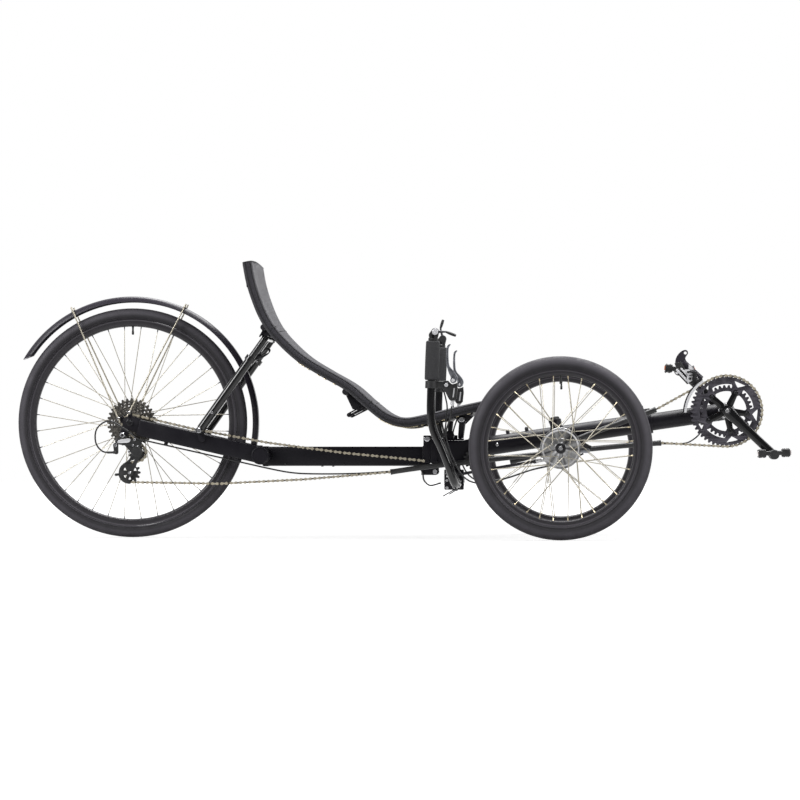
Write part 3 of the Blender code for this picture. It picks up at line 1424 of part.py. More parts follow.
def chain_route():
    """The chain's loop as (x, z, y): wheels, the sag of its runs and the bends of its tubes."""
    cassette_wheel = (REAR_X, REAR_RADIUS, pitch_radius(min(CASSETTE)), -1)
    idler = (IDLER_X, IDLER_Z, pitch_radius(IDLER_TEETH), 1)
    ring = (BB_X, BB_Z, pitch_radius(CHAINRING_TEETH), -1)
    tension = (TENSION_X, TENSION_Z, pitch_radius(TENSION_TEETH), -1)
    guide = (GUIDE_X, GUIDE_Z, pitch_radius(GUIDE_TEETH), 1)
    stops = [
        (cassette_wheel, CASSETTE_Y),
        ([(x, z, None) for x, z in ((-1.000, 0.2960), (-0.800, 0.2590), (-0.590, 0.2310), (-0.385, 0.2110))], None),
        (idler, IDLER_Y),
        (POWER_TUBE, None),
        (ring, CHAINRING_Y),
        (RETURN_TUBE, None),
        ([(-0.700, 0.1590, None), (-0.930, 0.1470, None)], None),
        (tension, CASSETTE_Y),
        (guide, CASSETTE_Y),
    ]
    ends = []
    for stop, _ in stops:
        if isinstance(stop, list):
            ends.append(((*stop[0][:2], 0, 1), (*stop[-1][:2], 0, 1)))
        else:
            ends.append((stop, stop))
    route = []
    for n, (stop, y) in enumerate(stops):
        if isinstance(stop, list):
            route += stop
        else:
            before = ends[n - 1][1]
            after = ends[(n + 1) % len(stops)][0]
            arrive = tangent(before, stop)[1]
            leave = tangent(stop, after)[0]
            route += [(x, z, y) for x, z in wrap(stop, arrive, leave)]
    return fill_in_y(route)


def fill_in_y(route):
    """Give the runs between wheels a Y that changes evenly with X."""
    filled = []
    for n, (x, z, y) in enumerate(route):
        if y is None:
            back = max(m for m in range(n) if route[m][2] is not None)
            ahead = min(m for m in range(n, len(route)) if route[m][2] is not None)
            share = (x - route[back][0]) / (route[ahead][0] - route[back][0])
            y = route[back][2] + share * (route[ahead][2] - route[back][2])
        filled.append((x, z, y))
    return filled


POWER_TUBE = [
    (-0.1390, 0.2070, -0.0520),
    (-0.0900, 0.2190, -0.0520),
    (-0.0436, 0.2340, -0.0520),
    (0.0200, 0.2585, -0.0520),
    (0.0793, 0.2828, -0.0520),
    (0.1804, 0.3200, -0.0515),
    (0.2597, 0.3498, -0.0510),
]
RETURN_TUBE = [
    (0.2733, 0.2585, -0.0560),
    (0.1800, 0.2515, -0.0590),
    (0.0657, 0.2405, -0.0645),
    (0.0000, 0.2336, -0.0680),
    (-0.1200, 0.2210, -0.0680),
    (-0.3250, 0.1981, -0.0680),
    (-0.4000, 0.1885, -0.0680),
    (-0.4643, 0.1790, -0.0675),
]


def chain_tube(name, points):
    """A plastic tube that the chain runs through."""
    tube = wire(name, [(x, y, z) for x, z, y in points], CHAIN_TUBE_RADIUS, 2, caps=False)
    wall = tube.modifiers.new("wall", "SOLIDIFY")
    wall.thickness = CHAIN_TUBE_WALL
    wall.offset = -1
    tube = as_mesh(tube)
    place(tube, "front_frame", "plastic black")


def drive_chain():
    """The whole chain as one band, slotted where sprocket teeth reach into it."""
    half_height, half_width = CHAIN_HEIGHT / 2, CHAIN_WIDTH / 2
    corners = [(-half_height, -half_width), (half_height, -half_width), (half_height, half_width)]
    corners.append((-half_height, half_width))
    section = new_object("chain_section", section_curve("chain_section", corners))
    tool(section)
    path = bpy.data.curves.new("drive_chain", "CURVE")
    path.dimensions = "3D"
    path.twist_mode = "Z_UP"
    path.bevel_mode = "OBJECT"
    path.bevel_object = section
    route = chain_route()
    spline = path.splines.new("POLY")
    spline.use_cyclic_u = True
    spline.points.add(len(route) - 1)
    for place_of, (x, z, y) in zip(spline.points, route):
        place_of.co = (x, z, -y, 1)
    chain = new_object("drive_chain", path)
    chain.rotation_euler = (math.pi / 2, 0, 0)
    chain = as_mesh(chain)
    slots = (
        (REAR_X, REAR_RADIUS, min(CASSETTE), CASSETTE_Y, COG_THICKNESS),
        (IDLER_X, IDLER_Z, IDLER_TEETH, IDLER_Y, 0.0024),
        (BB_X, BB_Z, CHAINRING_TEETH, CHAINRING_Y, 0.0028),
        (TENSION_X, TENSION_Z, TENSION_TEETH, CASSETTE_Y, 0.0024),
        (GUIDE_X, GUIDE_Z, GUIDE_TEETH, CASSETTE_Y, 0.0024),
    )
    for n, (x, z, teeth, y, thickness) in enumerate(slots):
        half_slot = thickness / 2 + RUNNING
        radius = pitch_radius(teeth) + TOOTH_RISE + 0.0006
        sides = 30 if teeth > 40 else 16
        cut(chain, disc_y("chain_slot_%d" % n, x, z, y - half_slot, y + half_slot, radius, sides))
    place(chain, "front_frame", "chain silver")


def seat_profile():
    """Centre line of the seat's side rails, from the head end to the knees."""
    points = [
        (-0.8445, 0.742),
        (-0.8360, 0.697),
        (-0.8225, 0.652),
        (-0.8035, 0.605),
        (-0.7790, 0.564),
        (-0.7400, 0.521),
        (-0.6960, 0.4835),
        (-0.6380, 0.4480),
        (-0.5720, 0.4095),
        (-0.5170, 0.3620),
        (-0.4700, 0.3275),
        (-0.4200, 0.3140),
        (-0.3620, 0.3230),
        (-0.2700, 0.3455),
        (-0.1950, 0.3620),
    ]
    return points


def rail_points(y):
    """The side rail's centre line as a smooth 3D path."""
    return [Vector((x, y, z)) for x, z in seat_profile()]


def seat_frame():
    """Two side rails joined by cross tubes, with the pivot lugs and strut lugs."""
    frame = solid_wire("seat_frame", rail_points(-SEAT_HALF_WIDTH), RAIL_RADIUS, 1)
    join(frame, solid_wire("rail_left", rail_points(SEAT_HALF_WIDTH), RAIL_RADIUS, 1))
    crosses = {
        "head": (-0.8407, 0.7220, 0.0200, -0.0060),
        "strut": (-0.7850, 0.5740, 0.0180, -0.0040),
        "knee": (-0.5720, 0.4095, 0.0100, -0.0140),
        "post": (-0.3050, 0.3370, -0.0020, POST_TUBE_Z - 0.3370),
        "front": (-0.2450, 0.3512, -0.0010, -0.0095),
    }
    for name, (x, z, back, drop) in crosses.items():
        y = SEAT_HALF_WIDTH
        points = [(x, -y, z), (x - back, -y + 0.035, z + drop), (x - back, y - 0.035, z + drop), (x, y, z)]
        join(frame, solid_wire("cross_" + name, points, CROSS_RADIUS, 1))
    for side, sign in SIDES.items():
        pivot_lug = plate(
            "pivot_lug_" + side,
            [capsule((SEAT_PIVOT_X, SEAT_PIVOT_Z), (-0.2440, 0.3410), 0.0125, 0.0075)],
            sign * 0.074,
            sign * 0.080,
        )
        strut_lug = plate(
            "strut_head_lug_" + side,
            [capsule((STRUT_HEAD_X, STRUT_HEAD_Z), (-0.8030, 0.5700), 0.0100, 0.008)],
            sign * (STRUT_Y + STRUT_INNER_RADIUS + 0.0010),
            sign * (STRUT_Y + STRUT_INNER_RADIUS + 0.0050),
        )
        knee_lug = plate(
            "knee_lug_" + side,
            [capsule((-0.5793, 0.3903), (-0.5640, 0.3560), 0.0097, 0.009)],
            sign * 0.060,
            sign * 0.066,
        )
        join(frame, pivot_lug, strut_lug, knee_lug)
    pivot_bore = disc_y("pivot_bore", SEAT_PIVOT_X, SEAT_PIVOT_Z, -0.09, 0.09, SEAT_PIVOT_RADIUS + RUNNING, 12)
    cut(frame, pivot_bore)
    heading = Vector((-0.366, 0, -0.456)).normalized()
    for side, sign in SIDES.items():
        start = Vector((STRUT_HEAD_X, 0, STRUT_HEAD_Z))
        notch = plate(
            "strut_notch_" + side,
            [capsule((start.x, start.z), (start.x + heading.x * 0.03, start.z + heading.z * 0.03), 0.0058)],
            sign * (STRUT_Y + STRUT_INNER_RADIUS),
            sign * (STRUT_Y + STRUT_INNER_RADIUS + 0.0070),
        )
        cut(frame, notch)
    place(frame, "seat", "frame black")


def cover_section():
    """Half section of the cover, (across, above) for its middle line: round the rail, then a shallow dip."""
    wrap_radius = (RAIL_RADIUS + GAP + COVER_WALL / 2) / math.cos(math.radians(20))
    section = []
    for degrees in (-80, -45, -10, 25, 60, 90):
        angle = math.radians(degrees)
        section.append((SEAT_HALF_WIDTH + wrap_radius * math.cos(angle), wrap_radius * math.sin(angle)))
    for share, drop in ((0.88, 0.12), (0.72, 0.45), (0.45, 0.85), (0.0, 1.0)):
        section.append((SEAT_HALF_WIDTH * share, wrap_radius - COVER_DIP * drop))
    return section


def seat_cover():
    """Sling cover: one sheet that wraps both rails and dips between them."""
    rails = rail_points(0)
    half = cover_section()
    line = [(-across, above) for across, above in half] + half[-2::-1]
    data = bpy.data.meshes.new("seat_cover")
    points, faces = [], []
    for n, centre in enumerate(rails):
        before = rails[max(n - 1, 0)]
        after = rails[min(n + 1, len(rails) - 1)]
        along = (after - before).normalized()
        above_way = Vector((-along.z, 0, along.x))
        stretch = 0.0
        if n == 0:
            stretch = -0.004
        if n == len(rails) - 1:
            stretch = 0.004
        for across, above in line:
            points.append(centre + along * stretch + above_way * above + Y_AXIS * across)
    columns = len(line)
    for n in range(len(rails) - 1):
        for m in range(columns - 1):
            a = n * columns + m
            faces.append((a, a + 1, a + columns + 1, a + columns))
    data.from_pydata(points, [], faces)
    data.shade_smooth()
    sheet = new_object("seat_cover", data)
    wall = sheet.modifiers.new("wall", "SOLIDIFY")
    wall.thickness = COVER_WALL
    wall.offset = 0
    wall.use_even_offset = True
    place(sheet, "seat", "seat cloth")


def seat_mount():
    """Front seat support on the head block: two stays, the pivot tube, and the post in its clamp."""
    base = box("seat_mount", (-0.3290, -0.0200, HEAD_TOP_Z + GAP), (-0.2665, 0.0200, HEAD_TOP_Z + 0.0055))
    clamp = rod("post_clamp", (-0.3090, 0, HEAD_TOP_Z + 0.002), (-0.3090, 0, 0.2915), 0.0150, 14)
    nub = box("clamp_nub", (-0.2960, -0.006, 0.2700), (-0.2840, 0.006, 0.2800))
    post = rod("seat_post", (-0.3050, 0, 0.2700), (-0.3050, 0, POST_TUBE_Z - CROSS_RADIUS - GAP), 0.0060, 10)
    pivot = disc_y("seat_pivot", SEAT_PIVOT_X, SEAT_PIVOT_Z, -0.086, 0.086, SEAT_PIVOT_RADIUS, 12)
    join(base, clamp, nub, post, pivot)
    for side, sign in SIDES.items():
        join(base, rod(
            "seat_stay_" + side,
            (-0.2750, sign * 0.0110, HEAD_TOP_Z + 0.0085),
            (SEAT_PIVOT_X, sign * 0.0560, SEAT_PIVOT_Z),
            0.0078,
            10,
        ))
    place(base, "front_frame", "frame black")


def strut_point(share, y):
    """A point on a strut, at a distance from its foot."""
    foot = Vector((STRUT_FOOT_X, y, STRUT_FOOT_Z))
    head = Vector((STRUT_HEAD_X, y, STRUT_HEAD_Z))
    return foot + (head - foot).normalized() * share


def strut_lower(side):
    """Outer tube of one seat strut, with its foot eye and clamp collar."""
    sign = SIDES[side]
    y = sign * STRUT_Y
    tube = rod("strut_lower_" + side, strut_point(0.006, y), strut_point(STRUT_SPLIT, y), STRUT_OUTER_RADIUS, 14)
    eye = disc_y(
        "strut_eye_" + side, STRUT_FOOT_X, STRUT_FOOT_Z, y - STRUT_EYE_HALF, y + STRUT_EYE_HALF, 0.0095, 12
    )
    collar = rod(
        "strut_collar_" + side,
        strut_point(STRUT_SPLIT - 0.014, y),
        strut_point(STRUT_SPLIT, y),
        STRUT_OUTER_RADIUS + 0.0030,
        14,
    )
    clamp_ear = box(
        "strut_ear_" + side,
        strut_point(STRUT_SPLIT - 0.007, y - sign * 0.0150) - Vector((0.006, 0.006, 0.006)),
        strut_point(STRUT_SPLIT - 0.007, y - sign * 0.0150) + Vector((0.006, 0.006, 0.006)),
    )
    join(tube, eye, collar, clamp_ear)
    bore = rod("strut_bore_" + side, strut_point(0.100, y), strut_point(0.300, y), STRUT_INNER_RADIUS + 0.0006, 14)
    foot_bore = disc_y("foot_bore_" + side, STRUT_FOOT_X, STRUT_FOOT_Z, y - 0.03, y + 0.03, 0.0038 + RUNNING, 10)
    cut(tube, bore, foot_bore)
    place(tube, "strut_lower", "frame black")


def strut_upper():
    """Both inner strut tubes with the bar that joins them and the pins that hook into the seat."""
    head = (Vector((STRUT_HEAD_X, 0, STRUT_HEAD_Z)) - Vector((STRUT_FOOT_X, 0, STRUT_FOOT_Z))).length
    bar = solid_wire(
        "strut_upper",
        [strut_point(head - 0.004, -STRUT_Y), strut_point(head - 0.004, STRUT_Y)],
        0.0070,
        1,
    )
    for side, sign in SIDES.items():
        y = sign * STRUT_Y
        inner = rod("strut_inner_" + side, strut_point(0.115, y), strut_point(head + 0.004, y), STRUT_INNER_RADIUS, 12)
        pin = disc_y(
            "strut_pin_" + side,
            STRUT_HEAD_X,
            STRUT_HEAD_Z,
            y,
            y + sign * (STRUT_INNER_RADIUS + 0.0060),
            0.0040,
            8,
        )
        join(bar, inner, pin)
    place(bar, "strut_upper", "frame black")


def strut_clamp_lever():
    """Quick-release lever of the right strut's clamp."""
    x, y, z = PIVOTS["strut_clamp_lever"]
    lever = plate(
        "strut_clamp_lever",
        [[
            (x - 0.006, z - 0.005),
            (x + 0.004, z - 0.008),
            (x + 0.020, z + 0.002),
            (x + 0.036, z + 0.016),
            (x + 0.040, z + 0.030),
            (x + 0.032, z + 0.029),
            (x + 0.028, z + 0.019),
            (x + 0.014, z + 0.010),
            (x - 0.002, z + 0.007),
        ]],
        y + 0.0022 + GAP,
        y + 0.0072,
    )
    place(lever, "strut_clamp_lever", "dark steel")


def brake_cable(side):
    """Cable from a brake lever down the bar and across to its hub."""
    sign = SIDES[side]
    route = [
        (-0.2908, -BAR_Y, 0.3560),
        (-0.2935, -BAR_Y, 0.3300),
        (-0.3060, -BAR_Y, 0.2850),
        (-0.2990, -BAR_Y, 0.2450),
        (-0.2820, -BAR_Y, 0.2050),
        (-0.2600, -BAR_Y, 0.1680),
        (-0.2200, -BAR_Y - 0.008, 0.1500),
        (-0.1500, -BAR_Y - 0.022, 0.1620),
        (-0.0800, -HALF_TRACK + 0.066, FRONT_RADIUS - 0.0580),
        (-0.0200, -HALF_TRACK + 0.058, FRONT_RADIUS - 0.0440),
        (0.0300, -HALF_TRACK + 0.048, FRONT_RADIUS - 0.0280),
        (0.0600, -HALF_TRACK + 0.040, FRONT_RADIUS - 0.0140),
    ]
    points = [(x, y * -sign, z) for x, y, z in smooth_path(route, 2)]
    place(wire("brake_cable_" + side, points, WIRE_RADIUS, 0), "handlebar", "plastic black")


def guide_point(x):
    """Where the shift cable runs below the right chainstay, as (y, z)."""
    below = STAY_HEIGHT / 2 / math.cos(STAY_SLOPE) + CABLE_DROP
    return -STAY_Y, CROSS_TUBE_Z + (STAY_FRONT_X - x) * math.tan(STAY_SLOPE) - below


def cable_guide(x):
    """A small stop below the right chainstay that the shift cable passes through."""
    y, z = guide_point(x)
    along = Vector((-math.cos(STAY_SLOPE), 0, math.sin(STAY_SLOPE)))
    block = box("cable_guide", (x - 0.005, y - 0.0045, z - 0.0040), (x + 0.005, y + 0.0045, z + CABLE_DROP + 0.006))
    centre = Vector((x, y, z))
    return cut(block, rod("cable_room", centre - along * 0.02, centre + along * 0.02, WIRE_RADIUS + GAP, 8))


def rear_shift_cable():
    """Housing from the head block back under the chainstay and round to the derailleur."""
    route = [
        (-0.3860, -0.0400, 0.1900),
        (-0.4400, -0.0400, 0.1830),
        (-0.5600, -0.0400, 0.1750),
        (-0.6800, -0.0400, 0.1740),
        (-0.7400, -0.0600, 0.1780),
        *[(x, *guide_point(x)) for x in (-0.8000, -0.8400, -0.9000, -0.9800, -1.0600, -1.1000, -1.1300)],
        (-1.1520, -0.0900, REAR_RADIUS - 0.0450),
        (-1.1740, -0.0990, REAR_RADIUS - 0.0260),
        (-1.2250, -0.0990, REAR_RADIUS + 0.0040),
        (-1.2600, -0.0980, REAR_RADIUS - 0.0160),
        (-1.2640, -0.0970, REAR_RADIUS - 0.0540),
        (-1.2450, -0.0950, REAR_RADIUS - 0.0790),
        (-1.2150, -0.0930, REAR_RADIUS - 0.0810),
    ]
    place(wire("rear_shift_cable", smooth_path(route, 2), WIRE_RADIUS, 0), "rear_frame", "plastic black")


def build():
    """Make the whole trike."""
    clear_scene()
    make_pivots()
    front_frame()
    fold_hinge_pin()
    seat_mount()
    idler_bracket()
    chain_tube("chain_tube_power", POWER_TUBE)
    chain_tube("chain_tube_return", RETURN_TUBE)
    pulley("idler_wheel", IDLER_TEETH, IDLER_X, IDLER_Z, IDLER_Y, 0.0024, 0.0045, "plastic black")
    rear_beam()
    fold_latch()
    rear_axle()
    rear_wheel()
    cassette()
    fender()
    fender_stays()
    rear_derailleur()
    derailleur_cage()
    pulley("guide_pulley", GUIDE_TEETH, GUIDE_X, GUIDE_Z, CASSETTE_Y, 0.0024, 0.0031, "plastic black")
    pulley("tension_pulley", TENSION_TEETH, TENSION_X, TENSION_Z, CASSETTE_Y, 0.0024, 0.0031, "plastic black")
    boom()
    derailleur_post()
    front_derailleur_cage()
    chainrings()
    crankset()
    drive_chain()
    handlebar()
    seat_frame()
    seat_cover()
    strut_upper()
    strut_clamp_lever()
    rear_shift_cable()
    for side in SIDES:
        cross_beam(side)
        knuckle(side)
        brake_arm(side)
        front_wheel(side)
        tie_rod(side)
        grip(side)
        brake_lever(side)
        shift_lever(side)
        brake_cable(side)
        chainstay(side)
        strut_lower(side)
        pedal(side)


build()
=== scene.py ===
"""Folding recumbent trike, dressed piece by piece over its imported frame.

Shapes are worked out in metres with X = 0 at the front axle, Y = 0 in the middle and Z = 0 on the ground.
ORIGIN moves them to the frame's place as each mesh is made. The chain is on the right, the -Y side, which
the camera sees.
"""

import json
import math

import bpy
import numpy as np
from bpy.props import FloatProperty, FloatVectorProperty, PointerProperty
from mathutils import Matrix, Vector

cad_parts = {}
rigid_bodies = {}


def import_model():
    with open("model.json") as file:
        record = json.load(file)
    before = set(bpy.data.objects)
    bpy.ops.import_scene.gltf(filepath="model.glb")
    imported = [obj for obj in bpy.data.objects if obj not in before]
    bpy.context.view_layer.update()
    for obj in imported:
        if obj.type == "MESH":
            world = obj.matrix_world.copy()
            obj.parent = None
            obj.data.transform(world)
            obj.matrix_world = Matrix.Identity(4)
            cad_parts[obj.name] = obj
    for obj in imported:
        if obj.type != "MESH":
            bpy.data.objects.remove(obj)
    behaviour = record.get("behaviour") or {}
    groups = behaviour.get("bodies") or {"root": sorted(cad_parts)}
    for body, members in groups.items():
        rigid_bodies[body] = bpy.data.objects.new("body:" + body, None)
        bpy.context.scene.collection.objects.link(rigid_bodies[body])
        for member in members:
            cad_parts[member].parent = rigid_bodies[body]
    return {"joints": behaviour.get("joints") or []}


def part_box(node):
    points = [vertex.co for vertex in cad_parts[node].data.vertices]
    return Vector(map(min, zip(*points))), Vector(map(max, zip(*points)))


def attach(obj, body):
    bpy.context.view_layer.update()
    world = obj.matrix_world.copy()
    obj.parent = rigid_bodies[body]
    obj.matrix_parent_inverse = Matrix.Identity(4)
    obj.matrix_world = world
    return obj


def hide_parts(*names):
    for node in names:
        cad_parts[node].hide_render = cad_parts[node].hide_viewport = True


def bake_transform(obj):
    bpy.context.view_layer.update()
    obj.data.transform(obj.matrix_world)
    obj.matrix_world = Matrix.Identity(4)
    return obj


bl_info = {
    "name": "Recumbent trike",
    "version": (1, 0, 0),
    "blender": (4, 5, 0),
    "location": "3D View > Sidebar > Trike",
    "description": "Builds a folding recumbent trike and its studio from functions and procedural materials",
    "category": "Add Mesh",
}

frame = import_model()

# The frame's own places
TYRE_LOW, TYRE_HIGH = (np.array(corner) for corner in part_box("front_right_tyre"))
ORIGIN = np.array([(TYRE_LOW[0] + TYRE_HIGH[0]) / 2, 0.0, 0.0])
PIVOT = {
    joint["name"]: np.array(joint["pos_m"]) - ORIGIN for joint in frame["joints"] if "pos_m" in joint
}

# Wheels
FRONT_RADIUS = TYRE_HIGH[2] / 2
HALF_TRACK = -(TYRE_LOW[1] + TYRE_HIGH[1]) / 2
REAR_CENTRE = PIVOT["rear_wheel_spin"]
REAR_RADIUS = REAR_CENTRE[2]
REAR_X = REAR_CENTRE[0]
FRONT_TYRE = (FRONT_RADIUS, 0.04, 0.037)
REAR_TYRE = (REAR_RADIUS, 0.037, 0.031)
FRONT_RIM = (0.0248, 0.014)
REAR_RIM = (0.0229, 0.019)
KINGPIN_Y = 0.32
KINGPIN_CASTER = math.radians(12)
KINGPIN_LEAN = math.radians(10)
AXLE_CAP = 0.0303

# Frame
BB_X, BB_Z = 0.4525, 0.3455
BOOM_SLOPE = math.radians(8.3)
BOOM_RADIUS = 0.0235
MAIN_RADIUS = 0.026
HINGE = PIVOT["fold_hinge"]
CROSS_TUBE = np.array([-0.8177, 0.0, 0.224])
STAY_Y = 0.0775
STAY_START = -0.814
DROPOUT_Y = 0.0675
DROPOUT_WALL = 0.006
FENDER_RADIUS = 0.3457
FENDER_REACH = (-11, 150)
FENDER_FEET = {118: (-1.205, 0.324), 65.5: (-1.1765, 0.34)}

# Drive
CHAIN_PITCH = 0.0127
COGS = (11, 13, 15, 18, 21, 24, 28, 32)
COG_SPACING = 0.0048
CHAIN_Y = -0.061
RING_Y = -0.05
BOLT_CIRCLE = 0.055
CRANK_LENGTH = 0.17
CRANK_ANGLE = math.radians(-43.5)
CRANK_Y = 0.08
GUIDE = PIVOT["guide_pulley_spin"]
TENSION = PIVOT["tension_pulley_spin"]
IDLER = PIVOT["idler_spin"]

# Steering and seat
BAR_Y = 0.27
SHIFTER = (-0.3345, 0.5534)
LEVER_PIVOT = (-0.287, 0.424)
BRAKE_HOUSING = 0.0044
GEAR_HOUSING = 0.004
SEAT_HALF = 0.175
RAIL_RADIUS = 0.0095
SEAT_PIVOT = PIVOT["seat_recline"]
STRUT_Y = 0.1015
STRUT_FOOT = np.array([-0.9816, 0.0, 0.292])
STRUT_HEAD = np.array([-0.801, 0.0, 0.546])

Y_AXIS = np.array([0.0, 1.0, 0.0])
Z_AXIS = np.array([0.0, 0.0, 1.0])
FULL_TURN = 2 * math.pi
SIDES = (("right", -1), ("left", 1))


def unit(vectors):
    """Each vector divided by its own length."""
    vectors = np.asarray(vectors, float)
    return vectors / np.linalg.norm(vectors, axis=-1, keepdims=True)


def row(*values):
    """A point or vector as an array of floats."""
    return np.array(values, float)


def grid(points, close_u=False):
    """Four-cornered faces between neighbours in points[u, v]; v is closed, and caps close an open u."""
    rows, columns = points.shape[:2]
    u = np.arange(rows if close_u else rows - 1)[:, None]
    v = np.arange(columns)
    u_next, v_next = (u + 1) % rows, (v + 1) % columns
    corners = [u * columns + v, u * columns + v_next, u_next * columns + v_next, u_next * columns + v]
    faces = [np.stack([corner.ravel() for corner in corners], 1)]
    if not close_u:
        faces.append(np.arange(columns)[None, ::-1])
        faces.append((rows - 1) * columns + np.arange(columns)[None])
    return points.reshape(-1, 3), faces


def outward(points, faces):
    """Turn all faces over where the signed volume, the sum of a . (b x c) over the triangles, is negative."""
    volume = 0.0
    for corners in faces:
        place = points[corners]
        for k in range(1, corners.shape[1] - 1):
            volume += np.sum(place[:, 0] * np.cross(place[:, k], place[:, k + 1]))
    return [corners[:, ::-1] for corners in faces] if volume < 0 else faces


def square_to(axis, guide=None):
    """Two unit vectors square to each axis and to one another; the first is square to the guide too."""
    axis = unit(axis)
    if guide is None:
        guide = np.where(np.abs(axis[..., 2:]) < 0.9, Z_AXIS, row(1, 0, 0))
    first = unit(np.cross(axis, guide))
    return first, np.cross(axis, first)


def lathe(profile, centre, axis=(0, -1, 0), sides=32, ring=False, turn=0.0):
    """A profile of (radius, along) turned about an axis: radius times cosine and sine, square to the axis."""
    profile = np.asarray(profile, float)[:, :, None, None]
    first, second = square_to(row(*axis))
    angle = turn + np.linspace(0, FULL_TURN, sides, endpoint=False)[:, None]
    way = np.cos(angle) * first + np.sin(angle) * second
    points = np.asarray(centre, float) + profile[:, 0] * way + profile[:, 1] * unit(axis)
    return grid(points, close_u=ring)


def rod(start, end, radius, edge=0.0006, sides=24, end_radius=None):
    """A round bar between two points with chamfered ends, or a taper."""
    start, end = np.asarray(start, float), np.asarray(end, float)
    length = np.linalg.norm(end - start)
    last = radius if end_radius is None else end_radius
    profile = [(radius - edge, 0), (radius, edge), (last, length - edge), (last - edge, length)]
    return lathe(profile, start, end - start, sides)


def rod_y(x, z, y_from, y_to, radius, edge=0.0006, sides=24):
    """A round bar that lies along Y."""
    return rod((x, y_from, z), (x, y_to, z), radius, edge, sides)


def rounded(width, height, corner, steps=4):
    """A rectangle with round corners: quarter circles about four centres."""
    quarter = np.linspace(0, math.pi / 2, steps + 1)
    points = []
    for n, (x, y) in enumerate(((1, 1), (-1, 1), (-1, -1), (1, -1))):
        angle = quarter + n * math.pi / 2
        points.append(np.stack([
            x * (width / 2 - corner) + corner * np.cos(angle),
            y * (height / 2 - corner) + corner * np.sin(angle),
        ], 1))
    return np.concatenate(points)


def around(x, z, radius, angle):
    """Points at angles round a centre: the radius times cosine and sine."""
    return np.stack([x + radius * np.cos(angle), z + radius * np.sin(angle)], -1)


def circle(x, z, radius, sides=24):
    """Outline of a circle."""
    return around(x, z, radius, np.linspace(0, FULL_TURN, sides, endpoint=False))


def arc(x, z, radius, start, end, count):
    """Points on a circle between two angles in degrees."""
    return around(x, z, radius, np.radians(np.linspace(start, end, count)))


def sweep(path, section, scale=1.0, guide=(0, 1, 0), closed=False):
    """A section carried along a path: its point, plus the section times two vectors square to the path."""
    path = np.asarray(path, float)
    if closed:
        ahead = np.roll(path, -1, 0) - np.roll(path, 1, 0)
    else:
        ahead = np.gradient(path, axis=0)
    first, second = square_to(ahead, row(*guide))
    section = np.asarray(section, float)
    if section.ndim == 2:
        section = section[None]
    scale = np.broadcast_to(scale, len(path)).reshape(-1, 1, 1)
    points = path[:, None] + scale * (section[..., :1] * first[:, None] + section[..., 1:] * second[:, None])
    return grid(points, close_u=closed)


def tube(path, radius, sides=16, guide=(0, 1, 0), closed=False):
    """A round tube along a path."""
    return sweep(path, circle(0, 0, 1, sides), radius, guide, closed)


def block(start, end, width, height, corner=0.002, edge=0.001, guide=(0, 0, 1)):
    """A bar of round-cornered section; its end rows draw in by a quarter circle of the edge's radius."""
    start, end = np.asarray(start, float), np.asarray(end, float)
    ahead = unit(end - start)
    bend = np.linspace(0, math.pi / 2, 4)
    inset = edge * (1 - np.sin(bend))
    step = edge * (1 - np.cos(bend))
    length = np.linalg.norm(end - start)
    along = np.concatenate([step, length - step[::-1]])
    inset = np.concatenate([inset, inset[::-1]])
    corner = max(corner, edge + 0.0002)
    sections = np.stack([rounded(width - 2 * i, height - 2 * i, corner - i) for i in inset])
    first, second = square_to(ahead, row(*guide))
    middle = (start + along[:, None] * ahead)[:, None]
    points = middle + sections[..., :1] * first + sections[..., 1:] * second
    return grid(points)


def box(low, high, corner=0.002, edge=0.001):
    """A block between two corners, laid along X."""
    low, high = np.asarray(low, float), np.asarray(high, float)
    middle = (low + high) / 2
    size = high - low
    return block((low[0], *middle[1:]), (high[0], *middle[1:]), size[1], size[2], corner, edge)


def smooth(points, steps=8):
    """A cubic between each two points; at a point it heads along the line that joins its neighbours."""
    points = np.asarray(points, float)
    ends = np.concatenate([[2 * points[0] - points[1]], points, [2 * points[-1] - points[-2]]])
    before, start, end, after = (ends[k:len(ends) - 3 + k, None] for k in range(4))
    t = np.linspace(0, 1, steps, endpoint=False)[None, :, None]
    path = 0.5 * (
        2 * start
        + (end - before) * t
        + (2 * before - 5 * start + 4 * end - after) * t ** 2
        + (3 * start - before - 3 * end + after) * t ** 3
    )
    return np.concatenate([path.reshape(-1, points.shape[1]), points[-1:]])


def gone_along(path):
    """How far along a path each of its points lies."""
    return np.concatenate([[0], np.cumsum(np.linalg.norm(np.diff(path, axis=0), axis=1))])


def spread(path, count=None, spacing=None):
    """Points evenly spaced along a path, by its summed length."""
    gone = gone_along(path)
    marks = np.linspace(0, gone[-1], count) if count else np.arange(0, gone[-1], spacing)
    return np.stack([np.interp(marks, gone, path[:, k]) for k in range(path.shape[1])], 1)


def both_halves(half):
    """A route down one side of the trike, and back up the other side as its mirror image."""
    return np.concatenate([half, half[::-1] * row(1, -1, 1)])


def washer(bore, radius, half):
    """Profile of a flat ring."""
    return [(bore, -half), (radius, -half), (radius, half), (bore, half)]


def stamp(shell, places, frames):
    """Copies of one shell: each place plus the shell's points turned by that place's three vectors."""
    points, faces = shell
    moved = np.asarray(places)[:, None] + np.einsum("nij,kj->nki", frames, points)
    step = len(points) * np.arange(len(places))[:, None, None]
    return moved.reshape(-1, 3), [(corners[None] + step).reshape(-1, corners.shape[1]) for corners in faces]


